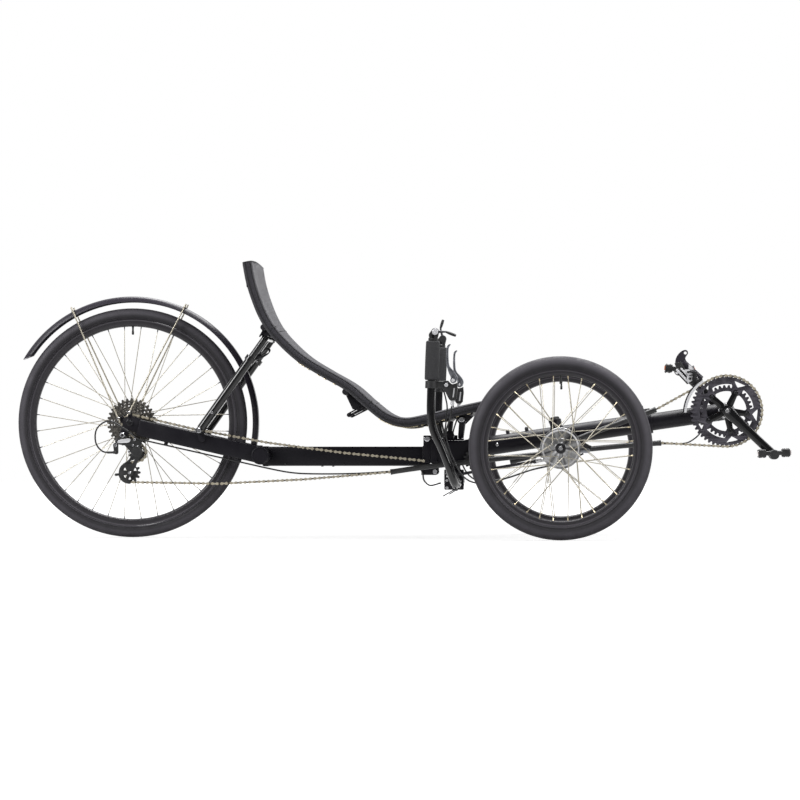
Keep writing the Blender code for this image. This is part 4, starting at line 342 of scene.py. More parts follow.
def rods(starts, ends, radius, sides=8, shape=((0, 1), (1, 1))):
    """Many straight bars at once; the shape gives the radius at shares of the length."""
    starts, ends = np.asarray(starts, float), np.asarray(ends, float)
    first, second = square_to(ends - starts)
    frames = np.stack([first * radius, second * radius, ends - starts], -1)
    template = lathe([(wide, share) for share, wide in shape], (0, 0, 0), (0, 0, 1), sides)
    return stamp(template, starts, frames)


def disc(radii, bore, centre, thickness, edge=0.0003):
    """A flat ring square to Y whose radii, and bore if it has many, follow the angle; edges are chamfered."""
    radii = np.asarray(radii, float)
    angle = np.linspace(0, FULL_TURN, len(radii), endpoint=False)
    bore = np.broadcast_to(bore, len(radii))
    half = thickness / 2
    rows = [
        (radii - edge, half),
        (radii, half - edge),
        (radii, edge - half),
        (radii - edge, -half),
        (bore, -half),
        (bore, half),
    ]
    points = np.stack([
        np.stack([radius * np.cos(angle), np.full(len(radii), along), radius * np.sin(angle)], 1)
        for radius, along in rows
    ])
    return grid(points + np.asarray(centre, float), close_u=True)


def pitch_radius(teeth):
    """Radius of the circle that the chain's pins follow."""
    return CHAIN_PITCH / (2 * math.sin(math.pi / teeth))


def tooth_radii(teeth, samples=10, tip=0.0026, root=0.0042):
    """A sprocket's radius round the turn: a cosine per tooth, cut off flat at the tips and at the roots."""
    phase = np.arange(teeth * samples) / samples * FULL_TURN
    wave = np.clip(1.5 * np.cos(phase) + 0.1, -1, 1)
    return pitch_radius(teeth) + np.where(wave > 0, wave * tip, wave * root)


def capsule(start, end, radius, end_radius=None, sides=10):
    """Outline of a link: half circles round two points, joined by straight sides."""
    end_radius = radius if end_radius is None else end_radius
    heading = math.atan2(end[1] - start[1], end[0] - start[0])
    turn = np.linspace(0, math.pi, sides + 1)
    return np.concatenate([
        around(*start, radius, heading + math.pi / 2 + turn),
        around(*end, end_radius, heading - math.pi / 2 + turn),
    ])


def fan_window(x, z, spot, half_angle, side, middle, tip):
    """Outline of a window that narrows towards a wheel's centre."""
    return around(x, z, row(side, middle, side, tip), spot + row(-half_angle, 0, half_angle, 0))


def plate(outlines, y_from, y_to, edge=0.0005):
    """A flat plate in the XZ plane; the first outline is its edge and the rest are holes."""
    curve = bpy.data.curves.new("outline", "CURVE")
    curve.dimensions = "2D"
    curve.fill_mode = "BOTH"
    curve.bevel_depth = edge
    curve.offset = -edge
    curve.bevel_resolution = 1
    curve.extrude = abs(y_to - y_from) / 2 - edge
    for outline in outlines:
        outline = np.asarray(outline, float)
        spline = curve.splines.new("POLY")
        spline.use_cyclic_u = True
        spline.points.add(len(outline) - 1)
        flat = np.concatenate([outline, np.zeros((len(outline), 1)), np.ones((len(outline), 1))], 1)
        spline.points.foreach_set("co", flat.ravel())
    holder = bpy.data.objects.new("outline", curve)
    bpy.context.scene.collection.objects.link(holder)
    points, faces = mesh_arrays(holder)
    bpy.data.objects.remove(holder)
    bpy.data.curves.remove(curve)
    return points[:, [0, 2, 1]] + row(0, (y_from + y_to) / 2, 0), faces


def mesh_arrays(source):
    """The points and faces of what an object makes once its modifiers or curve are worked out."""
    evaluated = source.evaluated_get(bpy.context.evaluated_depsgraph_get())
    mesh = bpy.data.meshes.new_from_object(evaluated)
    points = np.empty(len(mesh.vertices) * 3)
    mesh.vertices.foreach_get("co", points)
    corners = np.empty(len(mesh.loops), int)
    mesh.loops.foreach_get("vertex_index", corners)
    starts = np.empty(len(mesh.polygons), int)
    mesh.polygons.foreach_get("loop_start", starts)
    counts = np.diff(np.append(starts, len(corners)))
    bpy.data.meshes.remove(mesh)
    points = points.reshape(-1, 3)
    merged, where = np.unique(np.round(points, 7), axis=0, return_inverse=True)
    corners = where.ravel()[corners]
    faces = [
        corners[starts[counts == count][:, None] + np.arange(count)] for count in np.unique(counts)
    ]
    return merged, faces


def bead(centre, axis, radius, size=0.0015, ripples=46):
    """A weld: a ring whose own thickness swells and shrinks with the sine of the angle."""
    first, second = square_to(row(*axis))
    angle = np.linspace(0, FULL_TURN, ripples * 3, endpoint=False)
    way = np.cos(angle)[:, None] * first + np.sin(angle)[:, None] * second
    small = np.linspace(0, FULL_TURN, 6, endpoint=False)
    thick = size * (1 + 0.16 * np.sin(angle * ripples))
    wide = radius + thick[:, None] * np.cos(small)
    along = thick[:, None] * np.sin(small)
    points = np.asarray(centre, float) + wide[..., None] * way[:, None] + along[..., None] * unit(axis)
    return grid(points, close_u=True)


def bolt(centre, axis, radius, height=None, socket=0.5, sides=20):
    """A bolt's head: a chamfered disc with a round recess for the key."""
    height = radius * 0.8 if height is None else height
    profile = [
        (radius * 0.96, 0),
        (radius, height * 0.12),
        (radius, height * 0.75),
        (radius * 0.86, height),
        (radius * socket, height),
        (radius * socket * 0.94, height * 0.45),
    ]
    return lathe(profile, centre, axis, sides)


def hexagon(centre, axis, radius, height, turn=0.0):
    """A six-sided nut or bolt head with its corners taken off."""
    profile = [(radius * 0.93, 0), (radius, height * 0.1), (radius, height * 0.85), (radius * 0.88, height)]
    return lathe(profile, centre, axis, 6, turn=turn)


def collection(name):
    """The named collection, made when it is first asked for."""
    found = bpy.data.collections.get(name)
    if found is None:
        found = bpy.data.collections.new(name)
        bpy.context.scene.collection.children.link(found)
    return found


def dress(made, body, finish, nodes):
    """Link a finished object, give it material and slot, and hang it on a body; given two bodies, it is hung
    on neither.
    """
    first = body if isinstance(body, str) else body[0]
    collection("Trike " + first.replace("_", " ")).objects.link(made)
    made.data.materials.append(material(finish))
    if first == body:
        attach(made, body)
    else:
        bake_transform(made)
    if nodes:
        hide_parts(*nodes)
    return made


def piece(name, shells, body, finish, *nodes, angle=32, uv=None):
    """One mesh object made of shells, smooth but for edges sharper than the angle."""
    points, loops, counts = [], [], []
    total = 0
    for shell_points, faces in shells:
        for corners in outward(shell_points, faces):
            loops.append((corners + total).ravel())
            counts.append(np.full(len(corners), corners.shape[1]))
        points.append(shell_points)
        total += len(shell_points)
    points = np.concatenate(points) + ORIGIN
    loops = np.concatenate(loops)
    counts = np.concatenate(counts)
    mesh = bpy.data.meshes.new(name)
    mesh.vertices.add(len(points))
    mesh.vertices.foreach_set("co", points.ravel())
    mesh.loops.add(len(loops))
    mesh.loops.foreach_set("vertex_index", loops)
    mesh.polygons.add(len(counts))
    mesh.polygons.foreach_set("loop_start", np.concatenate([[0], np.cumsum(counts)[:-1]]))
    mesh.update(calc_edges=True)
    if uv is not None:
        layer = mesh.uv_layers.new(name="Weave")
        layer.uv.foreach_set("vector", np.asarray(uv, float)[loops].ravel())
    mesh.shade_smooth()
    mesh.set_sharp_from_angle(angle=math.radians(angle))
    return dress(bpy.data.objects.new(name, mesh), body, finish, nodes)


def cable(name, route, diameter, body, *nodes):
    """A cable along a smooth route."""
    path = smooth(route, 4) + ORIGIN
    curve = bpy.data.curves.new(name, "CURVE")
    curve.dimensions = "3D"
    curve.bevel_depth = diameter / 2
    curve.bevel_resolution = 3
    curve.use_fill_caps = True
    spline = curve.splines.new("POLY")
    spline.points.add(len(path) - 1)
    spline.points.foreach_set("co", np.concatenate([path, np.ones((len(path), 1))], 1).ravel())
    made = dress(bpy.data.objects.new(name, curve), body, "Cable housing", nodes)


def add(tree, kind, inputs=None, **settings):
    """A shader node with its settings, and its inputs set to values or linked to sockets."""
    made = tree.nodes.new(kind)
    for name, value in settings.items():
        setattr(made, name, value)
    for name, value in (inputs or {}).items():
        if isinstance(value, bpy.types.NodeSocket):
            tree.links.new(value, made.inputs[name])
        else:
            made.inputs[name].default_value = value
    return made


def maths(tree, operation, *values):
    """One operation on values and sockets."""
    return add(tree, "ShaderNodeMath", dict(enumerate(values)), operation=operation).outputs[0]


def vector_maths(tree, operation, *values, output=0, **inputs):
    """One operation on vectors."""
    given = dict(enumerate(values)) | inputs
    return add(tree, "ShaderNodeVectorMath", given, operation=operation).outputs[output]


def noise(tree, vector, scale, detail):
    """Cloudy noise between nought and one."""
    given = {"Vector": vector, "Scale": scale, "Detail": detail}
    return add(tree, "ShaderNodeTexNoise", given).outputs["Fac"]


def carried(tree, value, low=0.0, high=1.0, to_low=0.0, to_high=1.0, ease="LINEAR"):
    """A value's place between two ends, carried over to two others."""
    given = {"Value": value, "From Min": low, "From Max": high, "To Min": to_low, "To Max": to_high}
    return add(tree, "ShaderNodeMapRange", given, interpolation_type=ease).outputs[0]


def new_group(name, inputs, outputs):
    """An empty node group with named sockets; returns the group, its inputs and its output node's."""
    group = bpy.data.node_groups.new(name, "ShaderNodeTree")
    for label, kind, default in inputs:
        socket = group.interface.new_socket(name=label, in_out="INPUT", socket_type="NodeSocket" + kind)
        if default is not None:
            socket.default_value = default
    for label, kind in outputs:
        group.interface.new_socket(name=label, in_out="OUTPUT", socket_type="NodeSocket" + kind)
    entry = group.nodes.new("NodeGroupInput")
    leave = group.nodes.new("NodeGroupOutput")
    return group, entry.outputs, leave.inputs


def blend_colour(tree, share, first, second):
    """A node that mixes two colours."""
    mix = add(tree, "ShaderNodeMix", data_type="RGBA")
    for socket, value in ((mix.inputs[0], share), (mix.inputs[6], first), (mix.inputs[7], second)):
        if isinstance(value, bpy.types.NodeSocket):
            tree.links.new(value, socket)
        else:
            socket.default_value = value
    return mix.outputs[2]


def mottle_group():
    """Grain: two sizes of noise that vary the colour, the roughness and the height."""
    group, given, leave = new_group(
        "Grain",
        [
            ("Vector", "Vector", None),
            ("Base", "Color", (0.5, 0.5, 0.5, 1)),
            ("Tint", "Color", (0.5, 0.5, 0.5, 1)),
            ("Coarse", "Float", 40.0),
            ("Fine", "Float", 900.0),
            ("Rough Low", "Float", 0.3),
            ("Rough High", "Float", 0.4),
        ],
        [("Colour", "Color"), ("Roughness", "Float"), ("Height", "Float")],
    )
    coarse = noise(group, given["Vector"], given["Coarse"], 3.0)
    fine = noise(group, given["Vector"], given["Fine"], 1.0)
    share = carried(group, coarse, 0.35, 0.65)
    both = maths(group, "MULTIPLY", share, fine)
    colour = blend_colour(group, both, given["Base"], given["Tint"])
    rough = carried(group, share, to_low=given["Rough Low"], to_high=given["Rough High"])
    group.links.new(colour, leave["Colour"])
    group.links.new(rough, leave["Roughness"])
    group.links.new(fine, leave["Height"])
    return group


def weave_group():
    """Mesh cloth: sines along and across make yarns that cross, and the gaps between them show."""
    group, given, leave = new_group(
        "Mesh cloth",
        [
            ("Vector", "Vector", None),
            ("Yarn", "Color", (0.1, 0.1, 0.1, 1)),
            ("Gap", "Color", (0.01, 0.01, 0.01, 1)),
            ("Fleck", "Color", (0.2, 0.2, 0.2, 1)),
            ("Pitch", "Float", 0.003),
        ],
        [("Colour", "Color"), ("Height", "Float")],
    )
    turns = maths(group, "DIVIDE", FULL_TURN, given["Pitch"])
    scaled = vector_maths(group, "SCALE", given["Vector"], Scale=turns)
    parts = add(group, "ShaderNodeSeparateXYZ", {0: scaled})
    across = maths(group, "SINE", parts.outputs[0])
    along = maths(group, "SINE", parts.outputs[1])
    crossed = maths(group, "MULTIPLY", across, along)
    height = maths(group, "ABSOLUTE", crossed)
    mask = carried(group, height, 0.05, 0.45, ease="SMOOTHSTEP")
    flecks = noise(group, scaled, 0.37, 2.0)
    shine = carried(group, flecks, 0.52, 0.68)
    yarn = blend_colour(group, shine, given["Yarn"], given["Fleck"])
    group.links.new(blend_colour(group, mask, given["Gap"], yarn), leave["Colour"])
    group.links.new(height, leave["Height"])
    return group


def turned_group():
    """Lathe marks: noise that changes with the distance from an axis along Y and hardly round it, and a
    painted reflection that changes only round it.
    """
    group, given, leave = new_group(
        "Lathe marks",
        [
            ("Vector", "Vector", None),
            ("Fineness", "Float", 1800.0),
            ("Rough Low", "Float", 0.2),
            ("Rough High", "Float", 0.4),
        ],
        [("Roughness", "Float"), ("Height", "Float"), ("Sheen", "Float")],
    )
    flat = vector_maths(group, "MULTIPLY", given["Vector"], (1.0, 0.0, 1.0))
    reach = vector_maths(group, "LENGTH", flat, output="Value")
    parts = add(group, "ShaderNodeSeparateXYZ", {0: given["Vector"]})
    beside = add(group, "ShaderNodeCombineXYZ", {"X": reach, "Y": parts.outputs["Y"]})
    marks = noise(group, beside.outputs[0], given["Fineness"], 2.0)
    rough = carried(group, marks, to_low=given["Rough Low"], to_high=given["Rough High"])
    group.links.new(rough, leave["Roughness"])
    group.links.new(marks, leave["Height"])
    # Sheen is a painted reflection: light and dark sectors round the axis, as a turned face would mirror the
    # room.
    way = vector_maths(group, "NORMALIZE", flat)
    painted_reflection_streaks = noise(group, way, 2.2, 4.0)
    group.links.new(carried(group, painted_reflection_streaks, 0.38, 0.62), leave["Sheen"])
    return group


def ring_group():
    """How deep a place lies below a wheel's outer edge, as a share of the part's height."""
    group, given, leave = new_group(
        "Rings",
        [("Vector", "Vector", None), ("Radius", "Float", 0.3), ("Height", "Float", 0.03)],
        [("Depth", "Float")],
    )
    flat = vector_maths(group, "MULTIPLY", given["Vector"], (1.0, 0.0, 1.0))
    reach = vector_maths(group, "LENGTH", flat, output="Value")
    below = maths(group, "SUBTRACT", given["Radius"], reach)
    group.links.new(maths(group, "DIVIDE", below, given["Height"]), leave["Depth"])
    return group


def facet_group():
    """Reflector prisms: small cells whose edges are darker and lower."""
    group, given, leave = new_group(
        "Prisms",
        [
            ("Vector", "Vector", None),
            ("Base", "Color", (0.8, 0.3, 0.05, 1)),
            ("Edge", "Color", (0.3, 0.1, 0.02, 1)),
            ("Fineness", "Float", 400.0),
        ],
        [("Colour", "Color"), ("Height", "Float")],
    )
    cells = add(
        group,
        "ShaderNodeTexVoronoi",
        {"Vector": given["Vector"], "Scale": given["Fineness"], "Randomness": 0.0},
        feature="DISTANCE_TO_EDGE",
    )
    share = carried(group, cells.outputs["Distance"], 0.0, 0.35)
    group.links.new(blend_colour(group, share, given["Edge"], given["Base"]), leave["Colour"])
    group.links.new(share, leave["Height"])
    return group


GROUPS = {
    "Grain": mottle_group,
    "Mesh cloth": weave_group,
    "Lathe marks": turned_group,
    "Prisms": facet_group,
    "Rings": ring_group,
}

# Each finish: its record slot, the pattern that it uses, and what it sets
FINISHES = {
    "Powder coat": dict(
        slot="frame_black", base="frame_colour", tint=(0.008, 0.0072, 0.011), rough=(0.36, 0.48), bump=0.05,
        coarse=22, fine=1500, specular=0.24,
    ),
    "Gloss paint": dict(
        slot="gloss_black", base="gloss_colour", tint=(0.006, 0.006, 0.007), rough=(0.12, 0.2), bump=0.008,
        coarse=14, fine=500, specular=0.45, coat=0.35, coat_rough=0.06,
    ),
    "Satin black": dict(
        slot="gloss_black", base=(0.026, 0.023, 0.031), tint=(0.02, 0.018, 0.025), rough=(0.26, 0.38),
        bump=0.03, coarse=18, fine=700, specular=0.35,
    ),
    "Pale alloy": dict(
        slot="silver", base=(0.8, 0.8, 0.82), tint=(0.7, 0.7, 0.73), rough=(0.16, 0.28), bump=0.03,
        coarse=40, fine=700, metal=0.35,
    ),
    # The tyre's ring stops lighten and darken the rubber by depth below the tread. They are partly its
    # moulded bands, and partly painted shade and painted highlight where the curved sidewall turns to and
    # from the light.
    "Tyre rubber": dict(
        slot="tyre_black", base="tyre_colour", tint=(0.058, 0.055, 0.063), rough=(0.58, 0.78), bump=0.18,
        coarse=35, fine=1100, specular=0.3, pattern="Rings",
        rings=(
            (0.0, 0.8), (0.14, 0.62), (0.2, 0.9), (0.38, 1.0), (0.52, 0.8), (0.64, 0.46), (0.84, 0.32),
            (0.94, 0.7),
        ),
    ),
    # The rim's ring stops keep its outer band, at the flange, far brighter than the rest: a painted
    # highlight.
    "Anodised rim": dict(
        slot="rim_black", base=(0.11, 0.103, 0.118), tint=(0.09, 0.084, 0.097), rough=(0.3, 0.44),
        bump=0.04, coarse=30, fine=1300, metal=0.3, pattern="Rings",
        rings=((0.0, 1.0), (0.1, 0.9), (0.2, 0.36), (1.0, 0.32)),
    ),
    "Turned aluminium": dict(
        slot="silver", base="silver_colour", tint=(0.55, 0.55, 0.57), rough=(0.2, 0.34), bump=0.05,
        coarse=60, fine=900, metal=1.0,
    ),
    "Bare steel": dict(
        slot="steel", base=(0.5, 0.5, 0.51), tint=(0.62, 0.62, 0.62), rough=(0.24, 0.36), bump=0.03,
        coarse=80, fine=1500, metal=1.0,
    ),
    "Spoke wire": dict(
        slot="steel", base=(0.4, 0.37, 0.3), tint=(0.52, 0.48, 0.4), rough=(0.3, 0.42), bump=0.02,
        coarse=60, fine=1500, metal=0.7,
    ),
    "Chrome": dict(
        slot="silver", base=(0.72, 0.72, 0.74), tint=(0.62, 0.62, 0.66), rough=(0.08, 0.16), bump=0.02,
        coarse=50, fine=600, metal=1.0,
    ),
    "Brass": dict(
        slot="steel", base=(0.66, 0.56, 0.36), tint=(0.78, 0.72, 0.58), rough=(0.25, 0.4), bump=0.03,
        coarse=150, fine=1500, metal=0.9,
    ),
    "Chain plates": dict(
        slot="chain", base="chain_colour", tint=(0.44, 0.39, 0.29), rough=(0.26, 0.42), bump=0.05,
        coarse=120, fine=1200, metal=0.6,
    ),
    "Inner plates": dict(
        slot="chain", base=(0.15, 0.13, 0.095), tint=(0.09, 0.078, 0.055), rough=(0.3, 0.46), bump=0.05,
        coarse=120, fine=1200, metal=0.95,
    ),
    "Dark steel": dict(
        slot="dark_steel", base=(0.035, 0.035, 0.038), tint=(0.075, 0.075, 0.08), rough=(0.26, 0.42),
        bump=0.05, coarse=70, fine=1300, metal=0.85,
    ),
    "Graphite": dict(
        slot="ring_grey", base=(0.088, 0.083, 0.099), tint=(0.15, 0.142, 0.166), rough=(0.26, 0.4),
        bump=0.04, coarse=55, fine=1500, metal=0.8,
    ),
    "Moulded plastic": dict(
        slot="plastic_black", base=(0.013, 0.013, 0.014), tint=(0.026, 0.026, 0.027), rough=(0.38, 0.55),
        bump=0.08, coarse=45, fine=1700,
    ),
    "Cable housing": dict(
        slot="plastic_black", base=(0.012, 0.012, 0.013), tint=(0.02, 0.02, 0.021), rough=(0.3, 0.4),
        bump=0.03, coarse=30, fine=900,
    ),
    # A pale metal finish for the sheet inside the fender: a painted highlight on the fender's underside.
    "Lining": dict(
        slot="silver", base=(0.62, 0.62, 0.64), tint=(0.74, 0.74, 0.75), rough=(0.25, 0.4), bump=0.03,
        coarse=60, fine=700, metal=0.4,
    ),
    "Lever alloy": dict(
        slot="silver", base=(0.26, 0.27, 0.3), tint=(0.36, 0.37, 0.4), rough=(0.24, 0.38), bump=0.05,
        coarse=60, fine=900, metal=1.0,
    ),
    "Cog steel": dict(
        slot="dark_steel", base=(0.085, 0.082, 0.08), tint=(0.42, 0.39, 0.34), rough=(0.24, 0.4), bump=0.05,
        coarse=180, fine=1300, metal=0.9,
    ),
    "Foam": dict(
        slot="foam_black", base=(0.026, 0.026, 0.028), tint=(0.06, 0.06, 0.064), rough=(0.85, 0.98),
        bump=0.6, coarse=260, fine=1600,
    ),
    "Piping": dict(
        slot="seat_cloth", base=(0.005, 0.005, 0.006), tint=(0.012, 0.012, 0.014), rough=(0.8, 0.92),
        bump=0.35, coarse=300, fine=1500,
    ),
    "Seat mesh": dict(slot="seat_cloth", rough=(0.85, 0.85), bump=0.6, pattern="Mesh cloth"),
    # Turned silver's shade colour is the dark part of the painted reflection in its lathe marks.
    "Turned silver": dict(
        slot="silver", base=(0.66, 0.66, 0.665), tint=(0.58, 0.58, 0.59), rough=(0.16, 0.4), bump=0.12,
        coarse=60, fine=900, metal=0.9, pattern="Lathe marks", shade=(0.1, 0.1, 0.105),
    ),
    "Amber reflector": dict(
        slot="silver", base=(0.85, 0.24, 0.03), tint=(0.38, 0.07, 0.01), rough=(0.1, 0.1), bump=0.4,
        fine=450, coat=1.0, coat_rough=0.03, pattern="Prisms",
    ),
    "Clear reflector": dict(
        slot="silver", base=(0.8, 0.72, 0.72), tint=(0.42, 0.36, 0.36), rough=(0.1, 0.1), bump=0.4,
        fine=450, coat=1.0, coat_rough=0.03, pattern="Prisms",
    ),
}


def colour_of(value):
    """A finish's own colour, or the one that the user's colours name."""
    if isinstance(value, str):
        value = getattr(bpy.context.scene.trike_colours, value)
    return (*tuple(value)[:3], 1.0)


def group_node(tree, name, inputs):
    """A node of one of the shared groups, which is built when it is first asked for."""
    group = bpy.data.node_groups.get(name) or GROUPS[name]()
    made = tree.nodes.new("ShaderNodeGroup")
    made.node_tree = group
    made.label = name
    for label, value in inputs.items():
        if isinstance(value, bpy.types.NodeSocket):
            tree.links.new(value, made.inputs[label])
        else:
            made.inputs[label].default_value = value
    return made


def material(name, centre=(0.0, 0.0), radius=0.3, height=0.03):
    """The material of a finish; lathe marks, which carry a painted reflection, and rings of brightness, which
    are partly painted shade and highlight, run round the centre that it is given, as X and Z.
    """
    facts = FINISHES[name]
    pattern = facts.get("pattern", "Grain")
    title = name if pattern not in ("Lathe marks", "Rings") else "%s %.3f %.3f" % (name, *centre)
    found = bpy.data.materials.get(title)
    if found:
        return found
    made = bpy.data.materials.new(title)
    made.use_nodes = True
    tree = made.node_tree
    shader = tree.nodes["Principled BSDF"]
    place = add(tree, "ShaderNodeTexCoord")
    low, high = facts["rough"]
    shader.inputs["Roughness"].default_value = (low + high) / 2
    shader.inputs["Metallic"].default_value = facts.get("metal", 0.0)
    shader.inputs["Specular IOR Level"].default_value = facts.get("specular", 0.5)
    shader.inputs["Coat Weight"].default_value = facts.get("coat", 0.0)
    shader.inputs["Coat Roughness"].default_value = facts.get("coat_rough", 0.1)
    if pattern == "Mesh cloth":
        colours = bpy.context.scene.trike_colours
        cloth = group_node(tree, "Mesh cloth", {
            "Vector": add(tree, "ShaderNodeUVMap", uv_map="Weave").outputs[0],
            "Yarn": colour_of(colours.seat_colour),
            "Gap": (0.006, 0.006, 0.007, 1),
            "Fleck": colour_of(colours.fleck_colour),
            "Pitch": 0.0042,
        })
        tree.links.new(cloth.outputs["Colour"], shader.inputs["Base Color"])
        relief = cloth.outputs["Height"]
        shader.inputs["Sheen Weight"].default_value = 0.15
    elif pattern == "Prisms":
        cells = group_node(tree, "Prisms", {
            "Vector": place.outputs["Object"],
            "Base": colour_of(facts["base"]),
            "Edge": colour_of(facts["tint"]),
            "Fineness": facts["fine"],
        })
        tree.links.new(cells.outputs["Colour"], shader.inputs["Base Color"])
        relief = cells.outputs["Height"]
    else:
        grain = group_node(tree, "Grain", {
            "Vector": place.outputs["Object"],
            "Base": colour_of(facts["base"]),
            "Tint": colour_of(facts["tint"]),
            "Coarse": facts["coarse"],
            "Fine": facts["fine"],
            "Rough Low": low,
            "Rough High": high,
        })
        colour = grain.outputs["Colour"]
        relief = grain.outputs["Height"]
        rough = grain.outputs["Roughness"]
        centred = add(tree, "ShaderNodeMapping", {
            "Vector": place.outputs["Object"],
            "Location": (-centre[0] - ORIGIN[0], 0.0, -centre[1]),
        })
        if pattern == "Lathe marks":
            marks = group_node(tree, "Lathe marks", {
                "Vector": centred.outputs[0],
                "Rough Low": low,
                "Rough High": high,
            })
            rough = marks.outputs["Roughness"]
            relief = marks.outputs["Height"]
            # Painted reflection: the colour runs to the shade colour in the darker sectors round the hub.
            colour = blend_colour(tree, marks.outputs["Sheen"], colour_of(facts["shade"]), colour)
        elif pattern == "Rings":
            given = {"Vector": centred.outputs[0], "Radius": radius, "Height": height}
            rings = group_node(tree, "Rings", given)
            # Ring stops darken the colour by depth below the outer edge: painted shade and painted highlight
            # by ring, with the tyre's moulded bands among them.
            ramp = add(tree, "ShaderNodeValToRGB", {0: rings.outputs["Depth"]})
            stops = ramp.color_ramp.elements
            while len(stops) < len(facts["rings"]):
                stops.new(1.0)
            for stop, (spot, value) in zip(stops, facts["rings"]):
                stop.position = spot
                stop.color = (value, value, value, 1)
            colour = blend_colour(tree, ramp.outputs["Color"], (0, 0, 0, 1), colour)
        tree.links.new(colour, shader.inputs["Base Color"])
        tree.links.new(rough, shader.inputs["Roughness"])
    bump = add(tree, "ShaderNodeBump", {"Strength": facts["bump"], "Distance": 0.0004, "Height": relief})
    tree.links.new(bump.outputs[0], shader.inputs["Normal"])
    return made


def tyre_section(radius, width, height):
    """A round tread, then sidewalls with one raised line each that draw in to the bead."""
    half = width / 2
    bead = radius - height
    turn = np.radians(np.linspace(-100, 100, 31))
    tread = np.stack([radius - half + half * np.cos(turn), half * np.sin(turn)], 1)
    depth = tread[0, 0] - bead
    wall = np.array([
        (0.78, 0.955), (0.5, 0.875), (0.47, 0.905), (0.36, 0.9), (0.33, 0.82), (0.12, 0.7), (0, 0.62),
    ])
    wall = wall * row(depth, half) + row(bead, 0)
    return np.concatenate([tread, wall, wall[::-1] * row(1, -1)])


def rim_section(outer, width, height):
    """Two flat sides with a wear line each, and a bed that bows inwards as a half ellipse."""
    half = width / 2
    side = np.array([(0, 1.0), (0.1, 1.0), (0.3, 1.0), (0.32, 0.965), (0.36, 0.965), (0.38, 1.0), (0.6, 1.0)])
    side = side * row(-height, half) + row(outer, 0)
    turn = np.linspace(0, math.pi, 13)[1:-1]
    bed = np.stack([outer - height * (0.6 + 0.4 * np.sin(turn)), half * np.cos(turn)], 1)
    return np.concatenate([side, bed, side[::-1] * row(1, -1)])


def spoke_ends(centre, count, reach, flanges, outboard):
    """Hub and rim ends of a wheel's spokes: neighbours use the two flanges and lean both ways."""
    number = np.arange(count)
    rim_angle = FULL_TURN * (number + 0.5) / count
    radius, along, lean = np.array(flanges)[number % 2].T
    way = np.where((number // 2) % 2 == 0, 1, -1)
    hub_angle = rim_angle + way * np.radians(lean)
    side = outboard * (along + way * 0.0012)
    hub = centre + np.stack([radius * np.cos(hub_angle), side, radius * np.sin(hub_angle)], 1)
    rim = centre + np.stack([reach * np.cos(rim_angle), 0 * rim_angle, reach * np.sin(rim_angle)], 1)
    return hub, rim, way * outboard


def wheel(name, body, centre, tyre, rim, count, flanges, outboard):
    """Tyre, rim, spokes, nipples and valve of one wheel."""
    radius, _, height = tyre
    rim_width, rim_height = rim
    outer = radius - height - 0.0004
    inner = outer - rim_height
    made = piece(name + "_tyre_rubber", [
        lathe(tyre_section(*tyre), centre, (0, -1, 0), 144, ring=True),
    ], body, "Tyre rubber", name + "_tyre", angle=38)
    made.data.materials[0] = material("Tyre rubber", (centre[0], centre[2]), radius, height)
    hoop = lathe(rim_section(outer, rim_width, rim_height), centre, (0, -1, 0), 144, ring=True)
    made = piece(name + "_rim_hoop", [hoop], body, "Anodised rim", name + "_rim")
    made.data.materials[0] = material("Anodised rim", (centre[0], centre[2]), outer, rim_height)
    hub, rim_ends, side = spoke_ends(centre, count, inner + 0.002, flanges, outboard)
    ahead = unit(hub - rim_ends)
    wire = bpy.context.scene.trike_sizes.spoke_diameter / 2
    heads = hub + Y_AXIS * side[:, None] * 0.0008
    piece(name + "_spokes", [
        rods(rim_ends + ahead * 0.01, hub, wire, 8),
        rods(heads - Y_AXIS * 0.0008, heads + Y_AXIS * 0.0008, 0.0019, 10),
    ], body, "Spoke wire")
    nipple = ((0, 1.0), (0.55, 1.0), (0.65, 0.82), (1, 0.7))
    finish = "Dark steel" if name == "rear" else "Brass"
    piece(name + "_nipples", [
        rods(rim_ends - ahead * 0.001, rim_ends + ahead * 0.0095, 0.0015, 8, nipple),
    ], body, finish)
    top = centre + Z_AXIS * inner
    stem = [
        (0.0031, -0.004), (0.0031, 0.002), (0.0026, 0.004), (0.0026, 0.012), (0.0032, 0.0125),
        (0.0032, 0.0205), (0.0024, 0.022),
    ]
    piece(name + "_valve", [lathe(stem, top, (0, 0, -1), 16)], body, "Moulded plastic")


